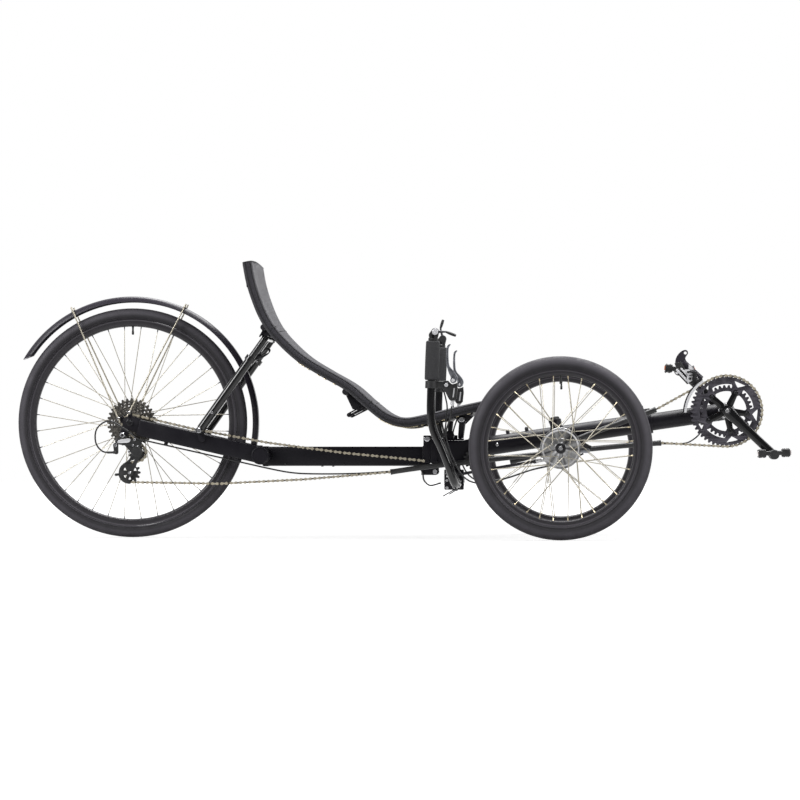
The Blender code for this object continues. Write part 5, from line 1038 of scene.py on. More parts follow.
def front_wheels():
    """Both front wheels with their drum-brake hubs."""
    for name, sign in SIDES:
        centre = row(0, sign * HALF_TRACK, FRONT_RADIUS)
        body = name + "_wheel"
        flanges = ((0.0236, 0.024, 62), (0.052, -0.0205, 40))
        wheel("front_" + name, body, centre, FRONT_TYRE, FRONT_RIM, 32, flanges, sign)
        drum = [
            (0.021, 0.0064), (0.0232, 0.0056), (0.03, 0.005), (0.0452, 0.0036), (0.046, 0.0022),
            (0.0476, 0.0022), (0.0484, 0.0034), (0.0532, 0.003), (0.0545, 0.0016), (0.0545, -0.0085),
            (0.0532, -0.0098), (0.0532, -0.016), (0.0545, -0.0172), (0.0545, -0.0248), (0.0538, -0.026),
            (0.0506, -0.026), (0.0504, -0.0012), (0.007, -0.0012), (0.007, 0.0064),
        ]
        shell = [
            (0.0212, 0.005), (0.0196, 0.0085), (0.0172, 0.017), (0.017, 0.0205), (0.02, 0.0222),
            (0.0258, 0.0226), (0.0265, 0.0232), (0.0265, 0.025), (0.0258, 0.0256), (0.019, 0.0258),
            (0.016, 0.0268), (0.0145, 0.03), (0.007, 0.03), (0.007, 0.005),
        ]
        axis = (0, sign, 0)
        cooling = np.linspace(0, FULL_TURN, 36, endpoint=False)
        ribs = centre + 0.0538 * np.stack([np.cos(cooling), 0 * cooling, np.sin(cooling)], 1)
        made = piece(name + "_hub_drum", [
            lathe(drum, centre, axis, 96, ring=True),
            lathe(shell, centre, axis, 64, ring=True),
            rods(ribs + Y_AXIS * sign * -0.0158, ribs + Y_AXIS * sign * -0.01, 0.0011, 6),
        ], body, "Turned silver", "front_%s_hub" % name, angle=24)
        made.data.materials[0] = material("Turned silver", (0, FRONT_RADIUS))
        # A pale ring on the drum's face, near its edge: a painted highlight where the drum's rim catches the
        # light.
        painted_highlight_ring = [
            (0.0452, 0.0036), (0.0468, 0.0044), (0.0484, 0.0044), (0.0494, 0.0034), (0.0494, 0.0024),
            (0.0452, 0.0024),
        ]
        piece(name + "_hub_ring", [lathe(painted_highlight_ring, centre, axis, 96, ring=True)], body, "Pale alloy")


def rear_wheel():
    """Rear wheel with its narrow hub."""
    centre = REAR_CENTRE * row(1, 0, 1)
    flanges = ((0.0203, 0.035, 68), (0.0203, -0.019, 68))
    wheel("rear", "rear_wheel", centre, REAR_TYRE, REAR_RIM, 36, flanges, 1)
    shell = [
        (0.0056, 0.059), (0.0096, 0.059), (0.0104, 0.057), (0.0112, 0.042), (0.013, 0.0385), (0.0222, 0.0366),
        (0.0226, 0.0356), (0.0226, 0.034), (0.022, 0.0332), (0.015, 0.031), (0.0128, 0.026), (0.0124, 0.008),
        (0.0128, -0.012), (0.015, -0.0162), (0.022, -0.0176), (0.0226, -0.0184), (0.0226, -0.02),
        (0.0218, -0.0208), (0.015, -0.0222), (0.0056, -0.0225),
    ]
    made = piece("rear_hub_shell", [
        lathe(shell, centre, (0, 1, 0), 48, ring=True),
    ], "rear_wheel", "Turned silver", "rear_hub", angle=24)
    made.data.materials[0] = material("Turned silver", (REAR_X, REAR_RADIUS))


def rear_axle():
    """The rear axle's ends and nuts."""
    reach = DROPOUT_Y + DROPOUT_WALL
    shells = [rod_y(REAR_X, REAR_RADIUS, -reach - 0.009, reach + 0.009, 0.0048)]
    for sign in (-1, 1):
        face = (REAR_X, sign * (reach + 0.0002), REAR_RADIUS)
        shells.append(lathe(
            [(0.0088, 0), (0.0091, 0.0003), (0.0091, 0.0012), (0.0084, 0.0016)],
            face, (0, sign, 0), 28,
        ))
        shells.append(hexagon(row(*face) + Y_AXIS * sign * 0.0014, (0, sign, 0), 0.0072, 0.0052, 0.2))
    piece("rear_axle_nuts", shells, "rear_frame", "Dark steel", "rear_axle")


def boom_point(x, y=0.0, rise=0.0):
    """A point beside the axis of the main tube, raised square to it."""
    height = BB_Z + (x - BB_X) * math.tan(BOOM_SLOPE)
    return row(x - rise * math.sin(BOOM_SLOPE), y, height + rise * math.cos(BOOM_SLOPE))


BOOM_AXIS = row(math.cos(BOOM_SLOPE), 0, math.sin(BOOM_SLOPE))
BOOM_UP = row(-math.sin(BOOM_SLOPE), 0, math.cos(BOOM_SLOPE))


def front_frame():
    """Head block, front fold flange, main tube and the clamp that holds the boom."""
    main = lathe([
        (MAIN_RADIUS - 0.0008, 0), (MAIN_RADIUS, 0.0008), (MAIN_RADIUS, 0.479), (0.029, 0.483),
        (0.0305, 0.485), (0.0305, 0.5155), (0.0297, 0.5165), (0.0243, 0.5165), (0.0241, 0.45),
    ], boom_point(-0.262), BOOM_AXIS, 64)
    shells = [
        main,
        box((-0.3392, -0.03, 0.198), (-0.249, 0.03, 0.265), 0.0065, 0.002),
        box((-0.3575, -0.033, 0.203), (-0.3375, 0.033, 0.279), 0.005, 0.0014),
        box((-0.3528, -0.0334, 0.226), (-0.3498, 0.0334, 0.262), 0.0008, 0.0004),
        plate([capsule((HINGE[0], HINGE[2]), (HINGE[0], 0.207), 0.0095)], -0.0113, 0.0113, 0.0008),
        lathe([
            (0.014, 0), (0.0146, 0.003), (0.0146, 0.005), (0.0136, 0.012), (0.0136, 0.0178),
            (0.013, 0.0184),
        ], (-0.29, 0, 0.204), (0, 0, -1), 40),
        bead(boom_point(-0.2482), BOOM_AXIS, MAIN_RADIUS, 0.0022, 52),
        bead((-0.29, 0, 0.1985), (0, 0, 1), 0.0145, 0.0016, 30),
    ]
    for height in (-0.003, 0.003):
        shells.append(box(
            (-0.3396, -0.0331, 0.2345 + height), (-0.3365, 0.0331, 0.2365 + height), 0.0008, 0.0004,
        ))
    clamp = boom_point(0.232, 0, 0.033)
    for sign in (-1, 1):
        shells.append(block(
            clamp - BOOM_AXIS * 0.0165 + Y_AXIS * sign * 0.0066,
            clamp + BOOM_AXIS * 0.0165 + Y_AXIS * sign * 0.0066,
            0.0094, 0.0115, 0.0025, 0.0012,
        ))
    strip = [capsule((0.045, 0.2835), (0.1, 0.2945), 0.0085, 0.0085, 14)]
    strip += [circle(x, 0.2835 + 0.2 * (x - 0.045), 0.0048, 18) for x in (0.047, 0.064, 0.081, 0.098)]
    shells.append(plate(strip, -0.033, -0.03, 0.0006))
    for x, z in ((0.054, 0.28), (0.09, 0.287)):
        shells.append(rod_y(x, z, -0.031, -0.02, 0.004))
    piece("front_frame_tubes", shells, "front_frame", "Powder coat", "front_frame")
    bolts = []
    for along in (-0.0085, 0.0085):
        centre = clamp + BOOM_AXIS * along
        bolts.append(rod(centre - Y_AXIS * 0.0116, centre + Y_AXIS * 0.0116, 0.0022, 0.0003, 16))
        bolts.append(bolt(centre - Y_AXIS * 0.0112, (0, -1, 0), 0.0043, 0.004))
        bolts.append(hexagon(centre + Y_AXIS * 0.0112, (0, 1, 0), 0.0042, 0.0032))
    for x in (-0.142, -0.09):
        bolts.append(rod(boom_point(x, 0, 0.025), boom_point(x, 0, 0.0345), 0.0052, 0.0008, 24))
        bolts.append(bolt(boom_point(x, 0, 0.034), BOOM_UP, 0.004, 0.0026))
    bolts.append(lathe(
        [(0.0064, -0.0016), (0.0064, 0.0016), (0.0036, 0.0016), (0.0036, -0.0016)],
        boom_point(0.2255, -0.006, 0.0445),
        (0, -1, 0), 24, ring=True,
    ))
    piece("boom_clamp_bolts", bolts, "front_frame", "Dark steel")
    shine = [bolt((x, -0.0302, z), (0, -1, 0), 0.004, 0.003) for x, z in ((-0.33, 0.256), (-0.259, 0.2075))]
    shine += [bolt(boom_point(-0.175, -0.0262), (0, -1, 0), 0.0044, 0.0032)]
    piece("front_frame_bolts", shine, "front_frame", "Chrome")


def fold_joint():
    """Hinge pin below the fold, and the latch bolt across its top."""
    x, z = HINGE[0], HINGE[2]
    pin = [rod_y(x, z, -0.034, 0.034, 0.004)]
    for sign in (-1, 1):
        pin.append(bolt((x, sign * 0.0303, z), (0, sign, 0), 0.0066, 0.005))
    piece("fold_pin", pin, "front_frame", "Chrome", "fold_hinge_pin")
    x, z = -0.3663, 0.2705
    latch = [rod_y(x, z, -0.034, 0.034, 0.004)]
    for sign in (-1, 1):
        latch.append(lathe(
            [(0.0078, 0), (0.008, 0.0003), (0.008, 0.001), (0.0074, 0.0013)],
            (x, sign * 0.0332, z), (0, sign, 0), 28,
        ))
        latch.append(bolt((x, sign * 0.0342, z), (0, sign, 0), 0.0062, 0.0042))
    piece("fold_latch_bolt", latch, "rear_frame", "Chrome", "fold_latch")


def rear_beam():
    """Box-section beam with its fold flange, hinge leaves and the cross tube."""
    beam = block((-0.8177, 0, 0.222), (-0.374, 0, 0.222), 0.044, 0.053, 0.007, 0.001)
    leaf = np.concatenate([
        [(-0.3822, 0.206), (-0.3822, HINGE[2] - 0.0095)],
        circle(HINGE[0], HINGE[2], 0.0095, 32)[24:],
        circle(HINGE[0], HINGE[2], 0.0095, 32)[:9],
        [(-0.3598, HINGE[2] + 0.0095), (-0.3598, 0.206)],
    ])
    cap = [(0.0228, 0), (0.023, 0.0006), (0.023, 0.0014), (0.0218, 0.002), (0.0196, 0.002), (0.0188, 0.0008)]
    shells = [
        beam,
        box((-0.3764, -0.033, 0.203), (-0.3581, 0.033, 0.279), 0.005, 0.0014),
        rod_y(CROSS_TUBE[0], CROSS_TUBE[2], -0.0985, 0.0985, 0.023, 0.0008, 64),
        box((-0.84, -0.012, 0.236), (-0.819, 0.012, 0.252), 0.003, 0.0012),
    ]
    for sign in (-1, 1):
        shells.append(plate([leaf], sign * 0.0121, sign * 0.0298, 0.001))
        shells.append(lathe(cap, (CROSS_TUBE[0], sign * 0.098, CROSS_TUBE[2]), (0, sign, 0), 64))
        shells.append(box(
            (-0.38, sign * 0.0222 - 0.0012, 0.202), (-0.3762, sign * 0.0222 + 0.0012, 0.244), 0.0009,
            0.0004,
        ))
    path = rounded(0.045, 0.054, 0.0075, 14)
    path = np.stack([np.full(len(path), -0.3772), path[:, 0], path[:, 1] + 0.222], 1)
    ripple = 0.0017 + 0.0003 * np.sin(np.linspace(0, 60 * math.pi, 150, endpoint=False))
    shells.append(tube(spread(np.concatenate([path, path[:1]]), 151)[:-1], ripple, 8, (1, 0, 0), closed=True))
    for x, z in ((-0.806, 0.1957), (-0.806, 0.2483)):
        shells.append(box((x - 0.009, -0.0215, z - 0.0012), (x + 0.004, 0.0215, z + 0.0012), 0.001, 0.0005))
    piece("rear_beam_tube", shells, "rear_frame", "Powder coat", "rear_beam")
    bolts = [bolt((x, -0.0219, 0.201), (0, -1, 0), 0.0028, 0.002) for x in (-0.595, -0.755)]
    bolts += [bolt((-0.655 + 0.03 * n, 0, 0.1957), (0, 0, -1), 0.0032, 0.0022) for n in range(2)]
    piece("rear_beam_rivets", bolts, "rear_frame", "Dark steel")


STAY_SLOPE = math.atan2(REAR_RADIUS - 0.0141 - CROSS_TUBE[2], 0.336)
STAY_AXIS = row(-math.cos(STAY_SLOPE), 0, math.sin(STAY_SLOPE))


def stay_point(x, rise=0.0):
    """A point beside the middle line of the right chainstay."""
    return row(
        x, -STAY_Y,
        CROSS_TUBE[2] + (STAY_START - x) * math.tan(STAY_SLOPE) + rise / math.cos(STAY_SLOPE),
    )


def chainstays():
    """Both chainstays with dropouts, fender eyelets, the strut's feet and the derailleur's hanger."""
    for name, sign in SIDES:
        inner, outer = sign * DROPOUT_Y, sign * (DROPOUT_Y + DROPOUT_WALL)
        start, end = stay_point(-0.8225), stay_point(-1.15)
        start[1] = end[1] = sign * STAY_Y
        lug = -sign * 0.0135
        foot = (STRUT_FOOT[0], STRUT_FOOT[2])
        shells = [
            block(start, end, 0.021, 0.045, 0.005, 0.0016),
            plate([
                capsule((REAR_X, REAR_RADIUS), (-1.12, REAR_RADIUS - 0.0205), 0.019, 0.02, 18),
            ], inner, outer, 0.001),
            plate([
                capsule(foot, (foot[0] + 0.006, 0.27), 0.0092),
            ], sign * STRUT_Y + lug, sign * STRUT_Y + lug + sign * 0.0055, 0.0006),
            bead((CROSS_TUBE[0], sign * (STAY_Y - 0.0112), CROSS_TUBE[2]), (0, 1, 0), 0.0234, 0.0014, 44),
            bead((CROSS_TUBE[0], sign * (STAY_Y + 0.0112), CROSS_TUBE[2]), (0, 1, 0), 0.0234, 0.0014, 44),
        ]
        for place in FENDER_FEET.values():
            shells.append(plate(
                [capsule((REAR_X, REAR_RADIUS), place, 0.01, 0.0072)],
                inner + sign * 0.0006, outer - sign * 0.0006, 0.0008,
            ))
        if sign < 0:
            hanger = (-1.1925, REAR_RADIUS - 0.034)
            shells.append(plate(
                [capsule((-1.183, REAR_RADIUS - 0.011), hanger, 0.012, 0.0105)],
                inner + 0.0003 * sign, outer - 0.0003 * sign, 0.001,
            ))
            for x in (-0.875, -1.075):
                below = stay_point(x, -0.0255)
                shells.append(block(
                    below - STAY_AXIS * 0.005, below + STAY_AXIS * 0.005, 0.0086, 0.011, 0.003, 0.001,
                ))
        piece("%s_chainstay" % name, shells, "rear_frame", "Powder coat", "chainstay_" + name)
        bolts = [rod_y(foot[0], foot[1], sign * (STRUT_Y - 0.016), sign * (STRUT_Y + 0.0145), 0.0037)]
        bolts.append(bolt((foot[0], sign * (STRUT_Y + 0.013), foot[1]), (0, sign, 0), 0.0068, 0.0045))
        for place in FENDER_FEET.values():
            bolts.append(bolt((place[0], outer + sign * 0.0048, place[1]), (0, sign, 0), 0.0046, 0.003))
            bolts.append(rod_y(place[0], place[1], outer, outer + sign * 0.005, 0.0024))
        if sign < 0:
            bolts.append(lathe(
                [(0.0032, 0), (0.0066, 0), (0.0066, 0.0018), (0.0058, 0.0026), (0.0032, 0.0022)],
                (hanger[0], -0.0905, hanger[1]), (0, -1, 0), 32, ring=True,
            ))
        piece("%s_stay_bolts" % name, bolts, "rear_frame", "Chrome")


def kingpin(sign, along=0.0):
    """A point on the steering axis of one front wheel, and the axis."""
    up = unit(row(-math.tan(KINGPIN_CASTER), -sign * math.tan(KINGPIN_LEAN), 1))
    return row(0, sign * KINGPIN_Y, FRONT_RADIUS) + up * along, up


def cross_beams():
    """The two beams out to the kingpin housings."""
    for name, sign in SIDES:
        low, up = kingpin(sign, 0.017)
        high, _ = kingpin(sign, 0.078)
        middle = (low + high) / 2
        root = boom_point(middle[0]) + row(0, sign * 0.012, 0)
        cup = [
            (0.0163, 0), (0.0168, 0.0006), (0.0168, 0.0052), (0.0158, 0.006), (0.0152, 0.0066),
            (0.0152, 0.0544), (0.0158, 0.055), (0.0168, 0.0558), (0.0168, 0.0604), (0.0163, 0.061),
        ]
        ahead = unit(middle - root)
        shells = [
            rod(root, middle, 0.019, 0.0008, 48),
            lathe(cup, low, up, 48),
            bead(root + ahead * 0.015, ahead, 0.0192, 0.002, 40),
            bead(middle - ahead * 0.0155, ahead, 0.018, 0.002, 36),
        ]
        piece("%s_cross_beam" % name, shells, "front_frame", "Powder coat", "cross_beam_" + name)


def knuckles():
    """Kingpin, steering arm, brake plate and stub axle of each front wheel."""
    for name, sign in SIDES:
        body = name + "_knuckle"
        bottom, up = kingpin(sign, -0.02)
        top, _ = kingpin(sign, 0.079)
        wheel_y = sign * HALF_TRACK
        pin_y = sign * KINGPIN_Y
        arm_tip = row(-0.045, pin_y, 0.2235)
        arm_root = row(0.004, pin_y, FRONT_RADIUS - 0.006)
        elbow = row(-0.022, pin_y + sign * 0.0015, FRONT_RADIUS - 0.015)
        arm = smooth([arm_root, elbow, arm_tip + row(0.004, 0, 0.0003)], 8)
        plate_from = wheel_y - sign * 0.031
        backing = [
            (0.012, 0), (0.044, 0), (0.0478, 0.0006), (0.049, 0.0016), (0.049, 0.0085), (0.012, 0.0085),
        ]
        shells = [
            lathe([
                (0.012, 0), (0.0135, 0.0014), (0.0135, 0.031), (0.015, 0.0325), (0.015, 0.0355),
                (0.014, 0.0362),
            ], bottom, up, 40),
            sweep(arm, rounded(0.012, 0.0092, 0.0038), np.linspace(1.15, 0.9, len(arm))),
            lathe([
                (0.0082, -0.005), (0.0088, -0.0044), (0.0088, 0.0044), (0.0082, 0.005),
            ], arm_tip, (0, 0, 1), 32),
            rod_y(0, FRONT_RADIUS, pin_y - sign * 0.002, plate_from + sign * 0.002, 0.0125, 0.0008, 36),
        ]
        piece("%s_upright" % name, shells, body, "Powder coat", "knuckle_" + name)
        metal = [
            lathe(backing, (0, plate_from, FRONT_RADIUS), (0, sign, 0), 64, ring=True),
            rod_y(0, FRONT_RADIUS, plate_from, wheel_y + sign * 0.0352, 0.0058),
            hexagon(row(0, wheel_y + sign * (AXLE_CAP + 0.0001), FRONT_RADIUS), (0, sign, 0), 0.004, 0.0056),
        ]
        piece("%s_brake_plate" % name, metal, body, "Turned aluminium")
        cap = [
            (0.013, 0), (0.0136, 0.0004), (0.0136, 0.003), (0.0124, 0.0042), (0.0062, 0.0046),
            (0.0056, 0.002),
        ]
        piece("%s_axle_cap" % name, [
            lathe(cap, (0, wheel_y + sign * AXLE_CAP, FRONT_RADIUS), (0, sign, 0), 40),
        ], body, "Dark steel")
        cover = [
            (0.0128, 0), (0.0132, 0.0006), (0.0132, 0.0046), (0.0112, 0.0064), (0.006, 0.0078),
            (0.0052, 0.0072),
        ]
        piece("%s_kingpin_cap" % name, [lathe(cover, top, up, 32)], body, "Moulded plastic")


def brake_arms():
    """The small lever behind each drum, with the block that holds the cable's end."""
    for name, sign in SIDES:
        x, z = 0.022, FRONT_RADIUS + 0.03
        face = sign * (HALF_TRACK - 0.0315)
        tip = (x + 0.06 * math.cos(math.radians(-28)), z + 0.06 * math.sin(math.radians(-28)))
        arm = plate([
            capsule((x, z), tip, 0.008, 0.0062),
            circle(tip[0], tip[1], 0.0024, 14),
        ], face, face - sign * 0.0038, 0.0006)
        piece("%s_brake_lever_arm" % name, [
            arm,
            rod_y(x, z, face - sign * 0.001, face + sign * 0.004, 0.0044),
            bolt((x, face - sign * 0.0036, z), (0, -sign, 0), 0.0058, 0.0036),
        ], name + "_brake_arm", "Dark steel", "brake_arm_" + name)
        block_low = row(tip[0] - 0.0062, 0, tip[1] - 0.006)
        block_high = row(tip[0] + 0.0062, 0, tip[1] + 0.006)
        block_low[1], block_high[1] = sorted((face - sign * 0.003, face - sign * 0.0105))
        piece("%s_cable_block" % name, [
            box(block_low, block_high, 0.0025, 0.0012),
            bolt((tip[0], face - sign * 0.0104, tip[1]), (0, -sign, 0), 0.0036, 0.0026),
        ], name + "_brake_arm", "Moulded plastic")
        stay = plate([
            capsule((0.046, FRONT_RADIUS - 0.003), (0.072, FRONT_RADIUS - 0.006), 0.0078, 0.006),
        ], face - sign * 0.0004, face + sign * 0.0026, 0.0006)
        piece("%s_brake_stay" % name, [stay], name + "_knuckle", "Lever alloy")


GRIP_AXIS = unit(row(0.0056, 0, 0.145))


def handlebar():
    """The U-shaped bar, its stem, perches and shifter pods."""
    half = np.array([
        (-0.3399, -BAR_Y, 0.545), (-0.3455, -BAR_Y, 0.4), (-0.346, -BAR_Y, 0.33), (-0.338, -BAR_Y, 0.287),
        (-0.319, -BAR_Y, 0.246), (-0.303, -BAR_Y, 0.207), (-0.293, -BAR_Y + 0.004, 0.178),
        (-0.285, -BAR_Y + 0.02, 0.155), (-0.282, -BAR_Y + 0.05, 0.145), (-0.282, -BAR_Y + 0.09, 0.145),
    ])
    route = smooth(both_halves(half), 7)
    piece("handlebar_tube", [tube(route, 0.011, 24, (1, 0, 0))], "handlebar", "Gloss paint", "handlebar")
    stem = [
        box((-0.32, -0.017, 0.13), (-0.267, 0.017, 0.1855), 0.006, 0.002),
        box((-0.314, -0.037, 0.1742), (-0.296, 0.037, 0.181), 0.003, 0.0012),
        box((-0.3205, -0.0175, 0.144), (-0.2665, 0.0175, 0.1458), 0.0008, 0.0004),
    ]
    piece("handlebar_stem", stem, "handlebar", "Powder coat")
    bolts = []
    for sign in (-1, 1):
        for z in (0.136, 0.156, 0.176):
            bolts.append(bolt((-0.312, sign * 0.0168, z), (0, sign, 0), 0.0042, 0.0034))
        bolts.append(bolt((-0.305, sign * 0.03, 0.181), (0, 0, 1), 0.0052, 0.0034))
        bolts.append(rod((-0.305, sign * 0.03, 0.16), (-0.305, sign * 0.03, 0.1815), 0.003))
    bolts.append(bolt((-0.29, 0, 0.13), (0, 0, -1), 0.007, 0.004))
    piece("handlebar_bolts", bolts, "handlebar", "Chrome")
    for name, sign in SIDES:
        y = sign * BAR_Y
        ring = [(0.0118, 0), (0.016, 0), (0.0166, 0.0008), (0.0166, 0.019), (0.016, 0.0198), (0.0118, 0.0198)]
        bracket = np.array([
            (-0.3125, 0.4235), (-0.3125, 0.403), (-0.299, 0.376), (-0.296, 0.3715), (-0.283, 0.3705),
            (-0.278, 0.376), (-0.2752, 0.402), (-0.2764, 0.418), (-0.283, 0.415), (-0.29, 0.414),
            (-0.296, 0.419), (-0.3, 0.4235),
        ])
        slot = capsule((-0.2868, 0.38), (-0.284, 0.402), 0.0021)
        piece("%s_perch" % name, [
            lathe(ring, (-0.3452, y, 0.403), GRIP_AXIS, 40, ring=True),
            box((-0.3315, y - 0.0085, 0.4035), (-0.308, y + 0.0085, 0.4225), 0.0035, 0.0014),
            plate([bracket, slot], y - 0.0085, y + 0.0085, 0.0014),
        ], "handlebar", "Moulded plastic")
        barrel = [
            (0.0052, 0), (0.0055, 0.0004), (0.0055, 0.006), (0.0044, 0.0064), (0.0044, 0.0082),
            (0.0053, 0.0086), (0.0053, 0.013), (0.0036, 0.015), (0.003, 0.0175),
        ]
        piece("%s_perch_metal" % name, [
            lathe(barrel, (-0.288, y, 0.374), (-0.12, 0, -1), 20),
            bolt((-0.305, y + sign * 0.0084, 0.4117), (0, sign, 0), 0.0052, 0.0036),
            bolt((-0.305, y - sign * 0.0084, 0.4117), (0, -sign, 0), 0.0048, 0.003),
            plate([capsule((-0.2868, 0.38), (-0.284, 0.402), 0.0018)], y - 0.007, y + 0.007, 0.0004),
            rod_y(*LEVER_PIVOT, y - 0.0095, y + 0.0095, 0.003),
            bolt((LEVER_PIVOT[0], y + sign * 0.0088, LEVER_PIVOT[1]), (0, sign, 0), 0.0046, 0.002),
        ], "handlebar", "Pale alloy")
        piece("%s_shifter_pod" % name, [
            plate([capsule((-0.339, 0.544), SHIFTER, 0.0128, 0.0104, 16)], y - 0.0104, y + 0.0104, 0.0016),
            lathe([
                (0.0128, 0), (0.0132, 0.001), (0.0132, 0.006), (0.012, 0.0075),
            ], (-0.3402, y, 0.53), GRIP_AXIS, 32),
        ], "handlebar", "Moulded plastic")


def grips():
    """Foam sleeves with a faint bulge and rounded ends: the radius follows a low sine."""
    along = np.linspace(0, 1, 40)
    edge = np.minimum(np.minimum(along, 1 - along) / 0.03, 1)
    radius = 0.0162 + 0.0026 * np.sqrt(edge) + 0.0004 * np.sin(along * math.pi)
    for name, sign in SIDES:
        low = row(-0.3444, sign * BAR_Y, 0.425)
        profile = np.concatenate([
            [(0.0118, 0.0005)], np.stack([radius, along * 0.1046], 1), [(0.0118, 0.1041)],
        ])
        piece("%s_grip_foam" % name, [
            lathe(profile, low, GRIP_AXIS, 48, ring=True),
        ], "handlebar", "Foam", "grip_" + name)


def brake_levers():
    """Brake lever blades: a curved blade with a turned-up tip, on a forked root."""
    for name, sign in SIDES:
        y = sign * BAR_Y
        front = smooth([
            (-0.279, 0.419), (-0.2755, 0.433), (-0.2835, 0.4475), (-0.2962, 0.463), (-0.299, 0.485),
            (-0.2988, 0.508), (-0.2955, 0.5165), (-0.2928, 0.519),
        ], 5)
        back = smooth([
            (-0.295, 0.5215), (-0.3, 0.519), (-0.304, 0.512), (-0.3056, 0.485), (-0.304, 0.463),
            (-0.2985, 0.444), (-0.2935, 0.433), (-0.2945, 0.422),
        ], 5)
        blade = plate([np.concatenate([front, back])], y - 0.0058, y + 0.0058, 0.0016)
        fork = plate([capsule(LEVER_PIVOT, (-0.286, 0.432), 0.0076, 0.0066)], y - 0.0078, y + 0.0078, 0.001)
        piece(
            "%s_lever_blade" % name, [blade, fork], name + "_brake_lever", "Lever alloy",
            "brake_lever_" + name, angle=40,
        )


def shift_levers():
    """Bar-end shifter levers: a round hub with its bolt, and a bent thin lever with a soft pad."""
    bends = {"right": ((-0.306, 0.5535), (-0.279, 0.543)), "left": ((-0.3415, 0.583), (-0.3338, 0.608))}
    for name, sign in SIDES:
        outboard = sign * (BAR_Y + 0.011)
        y = outboard + sign * 0.003
        x, z = SHIFTER
        (bend_x, bend_z), (tip_x, tip_z) = bends[name]
        hub = [(0.009, 0), (0.0093, 0.0004), (0.0093, 0.004), (0.0084, 0.0052), (0.005, 0.0056)]
        arm = smooth([(x, y, z), ((x + bend_x) / 2, y, (z + bend_z) / 2), (bend_x, y, bend_z)], 5)
        piece("%s_shifter_hub" % name, [
            lathe(hub, (x, outboard, z), (0, sign, 0), 32),
            tube(arm, np.linspace(0.004, 0.0025, len(arm)), 12),
        ], name + "_shift_lever", "Dark steel", "shift_lever_" + name)
        pad = smooth([
            (bend_x, y, bend_z),
            ((bend_x + tip_x) / 2, y, (bend_z + tip_z) / 2),
            (tip_x, y, tip_z),
        ], 6)
        wide = 0.0024 + 0.0018 * np.sin(np.linspace(0.2, 2.6, len(pad)))
        piece("%s_shifter_pad" % name, [tube(pad, wide, 14)], name + "_shift_lever", "Moulded plastic")
        cap = [(0.0082, 0.004), (0.0082, 0.0062), (0.0074, 0.0068)]
        piece("%s_shifter_bolt" % name, [
            lathe(cap, (x, outboard, z), (0, sign, 0), 32),
            bolt((x, outboard + sign * 0.0066, z), (0, sign, 0), 0.0042, 0.0014),
        ], name + "_shift_lever", "Pale alloy")


def tie_rods():
    """Threaded rods with a joint at each end, lock nuts and rubber boots."""
    for name, sign in SIDES:
        inner = row(-0.305, sign * 0.03, 0.168)
        outer = row(-0.045, sign * KINGPIN_Y, 0.2125)
        ahead = unit(outer - inner)
        span = np.linalg.norm(outer - inner)
        body = name + "_tie_rod"
        piece("%s_rod" % name, [
            rod(inner + ahead * 0.012, outer - ahead * 0.012, 0.004, 0.0004, 24),
        ], body, "Powder coat", "tie_rod_" + name)
        ends = []
        for centre, way in ((inner, 1), (outer, -1)):
            eye = [
                (0.0088, -0.0034), (0.009, -0.003), (0.009, 0.003), (0.0088, 0.0034), (0.0062, 0.0034),
                (0.0062, -0.0034),
            ]
            ends.append(lathe(eye, centre, (0, 0, 1), 32, ring=True))
            ball = np.radians(np.linspace(-62, 62, 9))
            ends.append(lathe(
                np.stack([0.0058 * np.cos(ball), 0.0055 * np.sin(ball)], 1),
                centre, (0, 0, 1), 28,
            ))
            ends.append(rod(centre + ahead * way * 0.008, centre + ahead * way * 0.024, 0.005, 0.0006, 20))
            ends.append(hexagon(centre + ahead * way * 0.0235, ahead * way, 0.0056, 0.004))
        piece("%s_rod_joints" % name, ends, body, "Bare steel")
        bellows = [(0.0052, 0), (0.006, 0.002), (0.0052, 0.004), (0.006, 0.006), (0.005, 0.009)]
        boots = [lathe(bellows, inner + ahead * gone, ahead, 20) for gone in (0.03, span - 0.04)]
        piece("%s_rod_boots" % name, boots, body, "Moulded plastic")


def tangent(first, second):
    """Where a belt leaves one wheel and meets the next; a wheel is (x, z, radius, turning way)."""
    x1, z1, r1, way1 = first
    x2, z2, r2, way2 = second
    distance = math.hypot(x2 - x1, z2 - z1)
    heading = math.atan2(z2 - z1, x2 - x1) + math.asin((r1 * way1 - r2 * way2) / distance)
    square = row(math.sin(heading), -math.cos(heading))
    return row(x1, z1) + r1 * way1 * square, row(x2, z2) + r2 * way2 * square


WRAP_STEP = 0.09


def wrap(stop, arrive, leave):
    """Points round a wheel between where the chain meets it and where it leaves."""
    x, z, radius, way = stop
    start = math.atan2(arrive[1] - z, arrive[0] - x)
    end = math.atan2(leave[1] - z, leave[0] - x)
    turn = (end - start) * way % FULL_TURN
    return around(x, z, radius, start + way * np.linspace(0, turn, max(4, round(turn / WRAP_STEP))))


POWER_TUBE = np.array([
    (-0.139, -0.052, 0.207), (-0.09, -0.052, 0.219), (-0.0436, -0.052, 0.234), (0.02, -0.052, 0.2585),
    (0.0793, -0.052, 0.2828), (0.1804, -0.0515, 0.32), (0.2597, -0.051, 0.3498),
])
RETURN_TUBE = np.array([
    (0.2733, -0.056, 0.2585), (0.18, -0.059, 0.2515), (0.0657, -0.0645, 0.2405), (0.0, -0.068, 0.2336),
    (-0.12, -0.068, 0.221), (-0.325, -0.068, 0.1981), (-0.4, -0.068, 0.1885), (-0.4643, -0.0675, 0.179),
])


